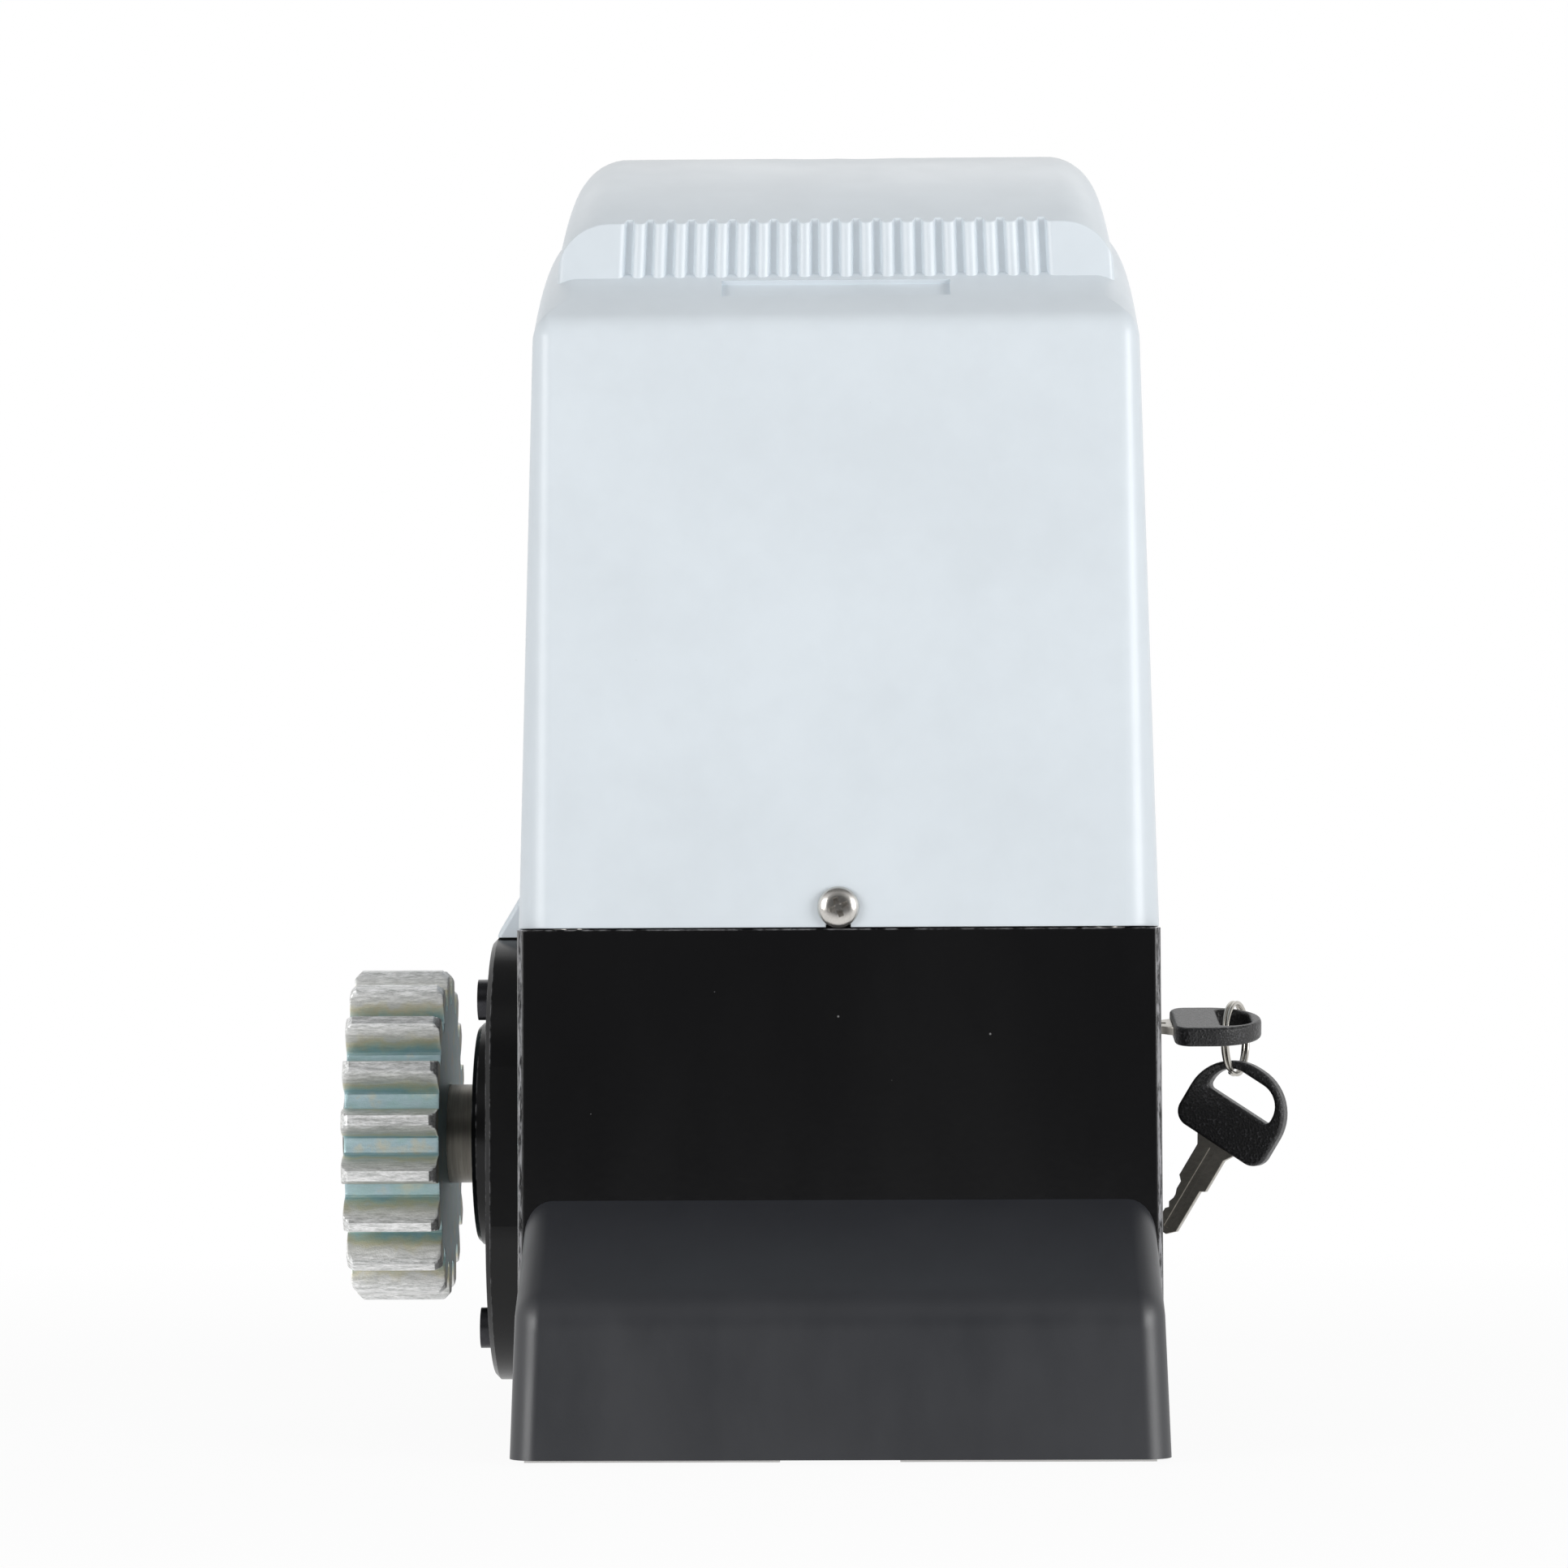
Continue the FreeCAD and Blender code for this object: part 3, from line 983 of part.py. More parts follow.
def make_fork():
    """The fork that shifts the sleeve: a yoke in its groove and a collar round the cam drum."""
    left = "groove_middle - fork_thickness / 2"
    towards = math.degrees(math.atan2(number("lock_height - shaft_height"), number("lock_y")))
    yoke = tube((left, "0", "shaft_height"), "X", "fork_thickness", "fork_outer_radius",
                "sleeve_groove_radius + clear_gap")
    mouth = doc.addObject("Part::Box", "mouth")
    bind(mouth, "Length", "fork_thickness + 2")
    bind(mouth, "Width", "3 * fork_outer_radius")
    bind(mouth, "Height", "2 * fork_outer_radius")
    centre = Placement(Vector(number(left + " - 1"), 0, number("shaft_height")),
                       Rotation(Vector(1, 0, 0), towards + 90))
    mouth.Placement = centre.multiply(
        Placement(Vector(0, -number("1.5 * fork_outer_radius"), 2), Rotation()))
    arm = doc.addObject("Part::Box", "arm")
    bind(arm, "Length", "fork_thickness")
    bind(arm, "Width", "sqrt(lock_y ^ 2 + (lock_height - shaft_height) ^ 2)")
    bind(arm, "Height", "fork_arm_width")
    arm.Placement = Placement(Vector(number(left), 0, number("shaft_height")),
                              Rotation(Vector(1, 0, 0), towards)).multiply(
        Placement(Vector(0, 0, -number("fork_arm_width") / 2), Rotation()))
    arm_trimmed = cut(arm, rod((left + " - 1", "0", "shaft_height"), "X", "fork_thickness + 2",
                               "sleeve_groove_radius + clear_gap"),
                      rod((left + " - 1", "lock_y", "lock_height"), "X", "fork_thickness + 2",
                          "cam_radius + slide_gap"))
    collar = tube((left, "lock_y", "lock_height"), "X", "fork_thickness", "fork_collar_radius",
                  "cam_radius + slide_gap")
    follower = rod(("groove_middle", "lock_y", "lock_height + cam_radius - cam_groove_depth + end_gap"),
                   "Z", "cam_groove_depth + 2", "follower_radius")
    keep("release_fork", joined(cut(yoke, mouth), arm_trimmed, collar, follower))


# ---------------------------------------------------------------- release lock and keys

def make_lock():
    body = new_body("lock")
    add_turning(body, stepped([("cam_end", "lock_face - lock_flange", "lock_radius"),
                               ("lock_face - lock_flange", "lock_face", "lock_flange_radius")]))
    bore = new_sketch(body, "YZ_Plane", "cam_end - 1")
    draw_circle(bore, "0", "0", "plug_radius + running_gap")
    add_pocket(body, bore, forward=True)
    bind(body, "Placement.Base.y", "lock_y")
    bind(body, "Placement.Base.z", "lock_height")
    keep("lock_body", body)
    nut_face = "casing_half_width - casing_wall - lock_nut_width"
    keep("lock_nut", cut(
        hexagon((nut_face, "lock_y", "lock_height"), "X", "lock_nut_width", "lock_nut_radius"),
        rod((nut_face + " - 1", "lock_y", "lock_height"), "X", "lock_nut_width + 2", "lock_radius")))

    plug = new_body("plug")
    add_turning(plug, stepped([("cam_end - end_gap", "lock_face", "plug_radius")]))
    keyway = new_sketch(plug, "YZ_Plane", "lock_face + 1")
    draw_rectangle(keyway, "-(blade_width / 2 + keyway_gap)", "-(blade_thickness / 2 + keyway_gap)",
                   "blade_width / 2 + keyway_gap", "blade_thickness / 2 + keyway_gap")
    add_pocket(plug, keyway, "blade_length - blade_exposed + 2")
    place(plug, "0", "lock_y", "lock_height", Vector(1, 0, 0), "key_turn_at_rest")
    keep("lock_plug", plug)


def make_cam():
    """The drum on the plug's tail: turning the key drives its helical groove past the fork's pin."""
    start, radius = number("cam_start"), number("cam_radius")
    drum = Part.makeCylinder(radius, number("cam_length - end_gap"), Vector(start, 0, 0),
                             Vector(1, 0, 0))
    steps = int(number("cam_steps"))
    cutters = []
    for step in range(steps + 1):
        share = step / steps
        cutter = Part.makeCylinder(number("follower_radius + end_gap"), 2 * radius,
                                   Vector(number("groove_middle + clutch_travel * %s" % share), 0,
                                          radius - number("cam_groove_depth")))
        cutter.rotate(Vector(), Vector(1, 0, 0), -90 * share)
        cutters.append(cutter)
    shape_node("release_cam", drum.cut(cutters[0].multiFuse(cutters[1:])),
               Placement(Vector(0, number("lock_y"), number("lock_height")), Rotation()))


def make_key(prefix, placement):
    """A key along X, its bow root at the origin, its width along Y: a steel blade and a bow."""
    blade = new_body("blade")
    sketch = new_sketch(blade, "XY_Plane")
    edge, tip = "blade_width / 2", "blade_tip_width / 2"
    draw_outline(sketch, [
        ("0", "blade_root_width / 2"), ("-2.5", edge), ("-blade_step", edge),
        ("-blade_step - 0.8", tip), ("2 - blade_length", tip), ("-blade_length", "0.8"),
        ("-blade_length", "-0.8"), ("2.4 - blade_length", "-" + tip),
        ("5.4 - blade_length", "-" + tip), ("6.2 - blade_length", "0.7 - " + tip),
        ("7.4 - blade_length", "-" + tip), ("-blade_step - 1.2", "-" + tip),
        ("-blade_step", "-" + edge), ("-2.5", "-" + edge), ("0", "-blade_root_width / 2")])
    add_pad(blade, sketch, "blade_thickness", symmetric=True)
    blade.Placement = placement
    keep(prefix + "_blade", blade)

    bow = new_body("bow")
    sketch = new_sketch(bow, "XY_Plane")
    draw_outline(sketch, [("0", "-bow_width / 2"), ("bow_height", "-bow_width / 2"),
                          ("bow_height", "bow_width / 2"), ("0", "bow_width / 2")],
                 ["bow_corner_radius", "bow_far_radius", "bow_far_radius", "bow_corner_radius"])
    side, far = "bow_width / 2 - bow_rim", "bow_height - bow_far_rim"
    draw_outline(sketch, [("bow_hole_floor", "-(%s)" % side), (far, "-(%s)" % side),
                          (far, side), ("bow_hole_floor", side)],
                 ["bow_hole_corner", "bow_hole_radius", "bow_hole_radius", "bow_hole_corner"])
    add_pad(bow, sketch, "bow_thickness", symmetric=True)
    faces_apart = number("bow_thickness") - 0.01
    round_edges(bow, "bow_edge", lambda edge: abs(edge.BoundBox.ZMin + edge.BoundBox.ZMax)
                > faces_apart, chamfer=True)
    bow.Placement = placement
    keep(prefix + "_bow", bow)


def release_key_placement():
    return Placement(Vector(number("bow_root"), number("lock_y"), number("lock_height")),
                     Rotation(Vector(1, 0, 0), number("key_turn_at_rest")))


def ring_frame():
    """Where the ring hangs on the release key's bow, and its flat direction and normal."""
    seat = release_key_placement().multVec(
        Vector(number("ring_seat_along"), number("ring_seat_across"), 0))
    turn = math.radians(number("ring_plane_turn"))
    flat = Vector(math.sin(turn), math.cos(turn), 0)
    normal = Vector(math.cos(turn), -math.sin(turn), 0)
    tilt = math.radians(number("key_turn_at_rest"))
    top = seat.z + number("bow_thickness") / 2 / math.cos(tilt) + number("ring_gap")
    inner_radius = number("ring_outer_radius - 2 * ring_wire")
    return seat, flat, normal, Vector(seat.x, seat.y, top - inner_radius)


def make_ring():
    seat, flat, normal, centre = ring_frame()
    turns = []
    for side in (-1, 1):
        middle = centre + normal * (side * number("ring_turn_pitch") / 2)
        turns.append(Part.makeTorus(number("ring_outer_radius - ring_wire"), number("ring_wire"),
                                    middle, normal))
    shape_node("key_ring", turns[0].fuse(turns[1]))


def spare_key_placement():
    """The spare key hangs by its bow's rim on the lowest point of the ring."""
    seat, flat, normal, centre = ring_frame()
    tilt = math.radians(number("spare_key_tilt"))
    up = Vector(0, 0, 1)
    along = up * math.cos(tilt) + normal * math.sin(tilt)
    across = normal * math.cos(tilt) - up * math.sin(tilt)
    rotation = Rotation(along, across, along.cross(across), "XYZ")
    hang = centre - up * (number("ring_outer_radius - 2 * ring_wire") - number("ring_gap"))
    beside = "(spare_key_offset - bow_width / 2 + bow_rim + bow_hole_radius)"
    point = Vector(number("bow_height - bow_far_rim - bow_hole_radius"
                          " + sqrt(bow_hole_radius ^ 2 - %s ^ 2)" % beside),
                   -number("spare_key_offset"), 0)
    return Placement(hang - rotation.multVec(point), rotation)


def make_keys():
    make_key("release_key", release_key_placement())
    make_key("spare_key", spare_key_placement())
    make_ring()


# ---------------------------------------------------------------- motor

def ring_places(count, radius, start):
    """Places evenly spaced on a circle round the body's axis, the first at start degrees."""
    return [("%s * cos(%s)" % (radius, start + 360 / count * step),
             "%s * sin(%s)" % (radius, start + 360 / count * step)) for step in range(count)]


def tie_bolt_places():
    return ring_places(4, "tie_bolt_circle", 45)


def make_motor():
    barrel = new_body("barrel")
    wall = new_sketch(barrel, "XY_Plane", "motor_base")
    draw_circle(wall, "0", "0", "motor_radius")
    add_pad(barrel, wall, "barrel_height")
    fin = new_sketch(barrel, "XY_Plane", "motor_base")
    draw_rectangle(fin, "motor_radius - motor_wall / 2", "-fin_width / 2",
                   "motor_radius + fin_reach", "fin_width / 2")
    fin_pad = add_pad(barrel, fin, "barrel_height")
    fins = barrel.newObject("PartDesign::PolarPattern", "fins")
    fins.Originals = [fin_pad]
    fins.Axis = (fin, ["N_Axis"])
    fins.Angle = 360
    bind(fins, "Occurrences", "fin_count")
    barrel.Tip = fins
    columns = new_sketch(barrel, "XY_Plane", "motor_base")
    for x, y in tie_bolt_places():
        draw_circle(columns, x, y, "tie_bolt_column")
    add_pad(barrel, columns, "barrel_height")
    bore = new_sketch(barrel, "XY_Plane", "motor_base - 1")
    draw_circle(bore, "0", "0", "motor_radius - motor_wall")
    add_pocket(barrel, bore, forward=True)
    holes = new_sketch(barrel, "XY_Plane", "motor_base - 1")
    for x, y in tie_bolt_places():
        draw_circle(holes, x, y, "tie_bolt_radius + seat_gap / 2")
    add_pocket(barrel, holes, forward=True)
    bind(barrel, "Placement.Base.y", "worm_y")
    keep("motor_barrel", barrel)

    cap = new_body("cap")
    disc = new_sketch(cap, "XY_Plane", "end_cap_height")
    draw_circle(disc, "0", "0", "motor_radius + fin_reach")
    add_pad(cap, disc, "end_cap_thickness")
    lugs = new_sketch(cap, "XY_Plane", "end_cap_height")
    draw_circle(lugs, "0", "-worm_y", "post_lug_radius")
    add_pad(cap, lugs, "end_cap_thickness")
    seat = new_sketch(cap, "XY_Plane", "end_cap_height - 1")
    draw_circle(seat, "0", "0", "top_bearing_radius")
    add_pocket(cap, seat, "top_bearing_width + 1", forward=True)
    holes = new_sketch(cap, "XY_Plane", "end_cap_height - 1")
    for x, y in tie_bolt_places():
        draw_circle(holes, x, y, "tie_bolt_radius + seat_gap / 2")
    add_pocket(cap, holes, forward=True)
    thread = new_sketch(cap, "XY_Plane", "end_cap_top + 1")
    draw_circle(thread, "0", "-worm_y", "post_radius")
    add_pocket(cap, thread, "post_thread_depth + 1")
    bind(cap, "Placement.Base.y", "worm_y")
    keep("motor_end_cap", cap)

    bolts = []
    for x, y in tie_bolt_places():
        y = "worm_y + " + y
        bolts.append(joined(
            rod((x, y, "end_cap_top"), "Z", "tie_bolt_head", "tie_bolt_head_radius"),
            rod((x, y, "lid_bottom"), "Z", "end_cap_top - lid_bottom + 1", "tie_bolt_radius")))
    keep("motor_tie_bolts", group(bolts))
    keep("cover_post", cut(
        rod(("0", "0", "end_cap_top - post_thread_depth"), "Z",
            "crown_height - cover_wall - seat_gap - end_cap_top + post_thread_depth",
            "post_radius"),
        rod(("0", "0", "crown_height - cover_wall - 14"), "Z", "15", "cover_screw_radius")))

    stator = new_body("stator")
    ring = new_sketch(stator, "XY_Plane", "stator_height")
    draw_circle(ring, "0", "0", "motor_radius - motor_wall")
    draw_circle(ring, "0", "0", "rotor_radius + air_gap")
    add_pad(stator, ring, "stator_length")
    slot = new_sketch(stator, "XY_Plane", "stator_height - 1")
    draw_rectangle(slot, "rotor_radius", "-slot_width / 2", "winding_outer - 1", "slot_width / 2")
    slot_cut = add_pocket(stator, slot, forward=True)
    slots = stator.newObject("PartDesign::PolarPattern", "slots")
    slots.Originals = [slot_cut]
    slots.Axis = (slot, ["N_Axis"])
    slots.Angle = 360
    bind(slots, "Occurrences", "slot_count")
    stator.Tip = slots
    bind(stator, "Placement.Base.y", "worm_y")
    keep("stator_core", stator)

    windings = new_body("windings")
    for level in ("stator_height - winding_height", "stator_height + stator_length"):
        turn = new_sketch(windings, "XY_Plane", level)
        draw_circle(turn, "0", "0", "winding_outer")
        draw_circle(turn, "0", "0", "winding_inner")
        if level.endswith("stator_length"):
            bar = new_sketch(windings, "XY_Plane", "stator_height - winding_height / 2")
            draw_rectangle(bar, "winding_inner + wire_gap", "wire_gap - slot_width / 2",
                           "winding_outer - 1 - wire_gap", "slot_width / 2 - wire_gap")
            bar_pad = add_pad(windings, bar, "stator_length + winding_height")
            bars = windings.newObject("PartDesign::PolarPattern", "bars")
            bars.Originals = [bar_pad]
            bars.Axis = (bar, ["N_Axis"])
            bars.Angle = 360
            bind(bars, "Occurrences", "slot_count")
            windings.Tip = bars
        add_pad(windings, turn, "winding_height")
    bind(windings, "Placement.Base.y", "worm_y")
    keep("stator_windings", windings)

    keep("rotor_core", tube(("0", "worm_y", "stator_height"), "Z", "stator_length",
                            "rotor_radius", "worm_shaft_radius"))
    keep("rotor_end_rings", group([
        tube(("0", "worm_y", level), "Z", "rotor_ring_length", "rotor_radius - 2",
             "worm_shaft_radius + 8")
        for level in ("stator_height - rotor_ring_length", "stator_height + stator_length")]))


# ---------------------------------------------------------------- electrics

def make_transformer():
    body = new_body("core")
    plate = new_sketch(body, "XZ_Plane", "transformer_y")
    bottom, top = "lid_top", "lid_top + transformer_height"
    side = "transformer_width / 2"
    draw_rectangle(plate, "transformer_x - " + side, bottom, "transformer_x + " + side, top)
    add_pad(body, plate, "transformer_depth", symmetric=True)
    windows = new_sketch(body, "XZ_Plane", "transformer_y")
    low, high = bottom + " + core_limb", top + " - core_limb"
    draw_rectangle(windows, "transformer_x - %s + core_limb" % side, low,
                   "transformer_x - core_middle_limb / 2", high)
    draw_rectangle(windows, "transformer_x + core_middle_limb / 2", low,
                   "transformer_x + %s - core_limb" % side, high)
    add_pocket(body, windows, "transformer_depth + 2", symmetric=True)
    keep("transformer_core", body)
    reach = "transformer_width / 2 - core_limb - wire_gap"
    depth = "transformer_depth / 2 + coil_reach"
    height = "transformer_height - 2 * core_limb - 2 * wire_gap"
    coil = box(("transformer_x - (%s)" % reach, "transformer_y - (%s)" % depth,
                low + " + wire_gap"), ("2 * (%s)" % reach, "2 * (%s)" % depth, height))
    limb = box(("transformer_x - core_middle_limb / 2 - wire_gap",
                "transformer_y - transformer_depth / 2 - wire_gap", low),
               ("core_middle_limb + 2 * wire_gap", "transformer_depth + 2 * wire_gap",
                "transformer_height"))
    keep("transformer_coil", cut(coil, limb))


def make_capacitor():
    keep("capacitor", joined(
        rod(("capacitor_x", "capacitor_y", "lid_top"), "Z", "capacitor_height",
            "capacitor_radius"),
        *[box(("capacitor_x %s 6 - 0.4" % sign, "capacitor_y - 3", "lid_top + capacitor_height"),
              ("0.8", "6", "8")) for sign in ("-", "+")]))
    level = "lid_top + clamp_level"
    outer = "capacitor_radius + clamp_thickness"
    strip = "capacitor_y - capacitor_radius - clamp_thickness"
    keep("capacitor_clamp", joined(
        tube(("capacitor_x", "capacitor_y", level), "Z", "clamp_height", outer, "capacitor_radius"),
        box(("capacitor_x - clamp_height / 2", strip, "lid_top"),
            ("clamp_height", "clamp_thickness", "clamp_level + clamp_height")),
        box(("capacitor_x - clamp_height / 2", strip + " - 8", "lid_top"),
            ("clamp_height", "8 + clamp_thickness", "clamp_thickness"))))


def make_board():
    bottom, half = "board_bottom", "board_width / 2"
    keep("board_bracket", joined(
        box(("-" + half, "bracket_y", "lid_top"),
            ("board_width", "bracket_thickness", "board_bottom + board_height - lid_top")),
        *[box((x, "bracket_y", "lid_top"),
              ("clamp_height + 8", "bracket_foot", "bracket_thickness"))
          for x in ("-%s + 2" % half, "%s - clamp_height - 10" % half)]))
    places = [(sign + "(board_width / 2 - spacer_inset)", level)
              for sign in ("-", "")
              for level in ("board_bottom + spacer_inset",
                            "board_bottom + board_height - spacer_inset")]
    keep("board_spacers", group([
        rod((x, "board_back", z), "Y", "spacer_length", "spacer_radius") for x, z in places]))
    keep("control_board", box(("-" + half, "board_face", bottom),
                              ("board_width", "board_thickness", "board_height")))
    start = "-terminal_count * terminal_pitch / 2"
    block = box((start, "board_face - terminal_depth", "board_bottom + 2"),
                ("terminal_count * terminal_pitch", "terminal_depth", "terminal_height"))
    ports = [box(("%s + terminal_pitch * %s + 1" % (start, step), "board_face - terminal_depth - 1",
                  "board_bottom + 4"), ("terminal_pitch - 2", "5", "4"))
             for step in range(int(number("terminal_count")))]
    keep("board_terminals", cut(block, *ports))
    keep("board_relays", group([
        box(("-board_width / 2 + %s" % x, "board_face - relay_depth",
             "board_bottom + board_height - relay_height - 10"),
            ("relay_width", "relay_depth", "relay_height")) for x in ("18", "24 + relay_width")]))
    fuse = ("board_width / 2 - fuse_length - 16", "board_face - fuse_radius - 3",
            "board_bottom + board_height - 24")
    keep("board_fuse", joined(
        rod(fuse, "X", "fuse_length", "fuse_radius"),
        *[box((x, "board_face - fuse_radius - 3", fuse[2] + " - 2"),
              ("3", "fuse_radius + 3", "4"))
          for x in (fuse[0], "board_width / 2 - 19")]))
    keep("limit_sensor", box(
        ("sensor_x - sensor_width / 2", "sensor_y - sensor_depth / 2", "lid_top"),
        ("sensor_width", "sensor_depth", "sensor_height")))


# ---------------------------------------------------------------- cover

def draw_arch_cut(sketch, radius, centre, reach, top):
    """The region above an arch about the sketch's upright axis, out to +-reach and up to top."""
    span, crest = number(reach), number("%s + %s" % (centre, radius))
    foot = number("%s + sqrt((%s) ^ 2 - (%s) ^ 2)" % (centre, radius, reach))
    ceiling = number(top)
    arch = sketch.addGeometry(Part.Arc(Vector(span, foot, 0), Vector(0, crest, 0),
                                       Vector(-span, foot, 0)))
    near = sketch.addGeometry(Part.LineSegment(Vector(-span, foot, 0), Vector(-span, ceiling, 0)))
    roof = sketch.addGeometry(Part.LineSegment(Vector(-span, ceiling, 0), Vector(span, ceiling, 0)))
    far = sketch.addGeometry(Part.LineSegment(Vector(span, ceiling, 0), Vector(span, foot, 0)))
    joins = [Sketcher.Constraint("Coincident", one, 2, two, 1)
             for one, two in ((arch, near), (near, roof), (roof, far), (far, arch))]
    joins += [Sketcher.Constraint("Vertical", near), Sketcher.Constraint("Vertical", far),
              Sketcher.Constraint("Horizontal", roof),
              Sketcher.Constraint("DistanceX", -1, 1, arch, 3, 0)]
    set_size(sketch, joins + [
        Sketcher.Constraint("Radius", arch, number(radius)),
        Sketcher.Constraint("DistanceY", -1, 1, arch, 3, number(centre)),
        Sketcher.Constraint("DistanceX", -1, 1, roof, 2, span),
        Sketcher.Constraint("DistanceY", -1, 1, roof, 2, ceiling)], [radius, centre, reach, top])


def draw_crown(sketch, half_width, half_length, bulge):
    """The crown's plan: straight ends joined by two sides that bow outwards."""
    wide, long_half = number(half_width), number(half_length)
    belly = number("%s + %s" % (half_width, bulge))
    corners = [Vector(-wide, -long_half, 0), Vector(wide, -long_half, 0),
               Vector(wide, long_half, 0), Vector(-wide, long_half, 0)]
    near = sketch.addGeometry(Part.LineSegment(corners[0], corners[1]))
    right = sketch.addGeometry(Part.Arc(corners[1], Vector(belly, 0, 0), corners[2]))
    far = sketch.addGeometry(Part.LineSegment(corners[2], corners[3]))
    left = sketch.addGeometry(Part.Arc(corners[3], Vector(-belly, 0, 0), corners[0]))
    joins = [Sketcher.Constraint("Coincident", one, 2, two, 1)
             for one, two in ((near, right), (right, far), (far, left), (left, near))]
    radius = "((%s) ^ 2 + (%s) ^ 2) / (2 * (%s))" % (half_length, bulge, bulge)
    places, formulas = [], []
    for line, x, y in ((near, "-(%s)" % half_width, "-(%s)" % half_length),
                       (near, half_width, "-(%s)" % half_length),
                       (far, half_width, half_length), (far, "-(%s)" % half_width, half_length)):
        end = 1 if len(places) in (0, 4) else 2
        places += [Sketcher.Constraint("DistanceX", -1, 1, line, end, number(x)),
                   Sketcher.Constraint("DistanceY", -1, 1, line, end, number(y))]
        formulas += [x, y]
    for arc in (right, left):
        places.append(Sketcher.Constraint("Radius", arc, number(radius)))
        formulas.append(radius)
    set_size(sketch, joins + places, formulas)


def make_hulls(name, inset, wall, foot):
    """The two hulls of the cover, a shoulder and a crown, taken in by inset from the outside.

    The crown's ribbed end walls are taken in by wall, and both hulls start at foot.
    """
    shoulder = new_body(name + "_shoulder")
    plan = new_sketch(shoulder, "XY_Plane", foot)
    lean = "(cover_base - (%s)) * tan(cover_draft)" % foot
    side = "cover_half_width - (%s) + %s" % (inset, lean)
    end = "cover_half_length - (%s) + %s" % (inset, lean)
    draw_rectangle(plan, "-(%s)" % side, "-(%s)" % end, side, end,
                   "cover_corner_radius")
    hull = add_pad(shoulder, plan, "shoulder_crest + 5 - (%s)" % foot)
    bind(hull, "TaperAngle", "-cover_draft")
    arch = new_sketch(shoulder, "YZ_Plane")
    draw_arch_cut(arch, "shoulder_arch_radius - (%s)" % inset, "shoulder_centre",
                  "cover_half_length + 5", "crown_height + 20")
    add_pocket(shoulder, arch, "cover_width_clear", symmetric=True)
    low = number("shoulder_centre + sqrt(shoulder_arch_radius ^ 2 - cover_half_length ^ 2) - 12")
    round_edges(shoulder, "cover_top_round - (%s)" % inset,
                lambda edge: edge.BoundBox.ZMin > low)

    crown = new_body(name + "_crown")
    root = "rib_foot - crown_root"
    plan = new_sketch(crown, "XY_Plane", root)
    lean = "crown_root * tan(cover_draft)"
    draw_crown(plan, "crown_end_half_width - (%s) + %s" % (inset, lean),
               "crown_half_length - (%s) + %s" % (wall, lean), "crown_bulge")
    hull = add_pad(crown, plan, "crown_height + 5 - (%s)" % root)
    bind(hull, "TaperAngle", "-cover_draft")
    arch = new_sketch(crown, "YZ_Plane")
    draw_arch_cut(arch, "crown_arch_radius - (%s)" % inset, "crown_centre",
                  "crown_half_length + 8", "crown_height + 20")
    add_pocket(crown, arch, "cover_width_clear", symmetric=True)
    low, length = number("rib_foot"), number("crown_half_length")
    round_edges(crown, "crown_round - (%s)" % inset,
                lambda edge: edge.BoundBox.ZMin > low and edge.BoundBox.YLength > length)
    return shoulder, crown


def cut_ribs(crown):
    """Cuts the row of upright grooves into both end walls of the crown."""
    groove = new_sketch(crown, "XY_Plane", "rib_foot")
    left = "-(groove_count - 1) / 2 * rib_pitch - groove_width / 2"
    right = "-(groove_count - 1) / 2 * rib_pitch + groove_width / 2"
    bottom, outside = "crown_half_length - groove_depth", "crown_half_length + 3"
    draw_rectangle(groove, left, "-(%s)" % outside, right, "-(%s)" % bottom)
    draw_rectangle(groove, left, bottom, right, outside)
    groove_cut = add_pocket(crown, groove, forward=True)
    ribs = crown.newObject("PartDesign::LinearPattern", "ribs")
    ribs.Originals = [groove_cut]
    ribs.Direction = (groove, ["H_Axis"])
    bind(ribs, "Length", "(groove_count - 1) * rib_pitch")
    bind(ribs, "Occurrences", "groove_count")
    crown.Tip = ribs


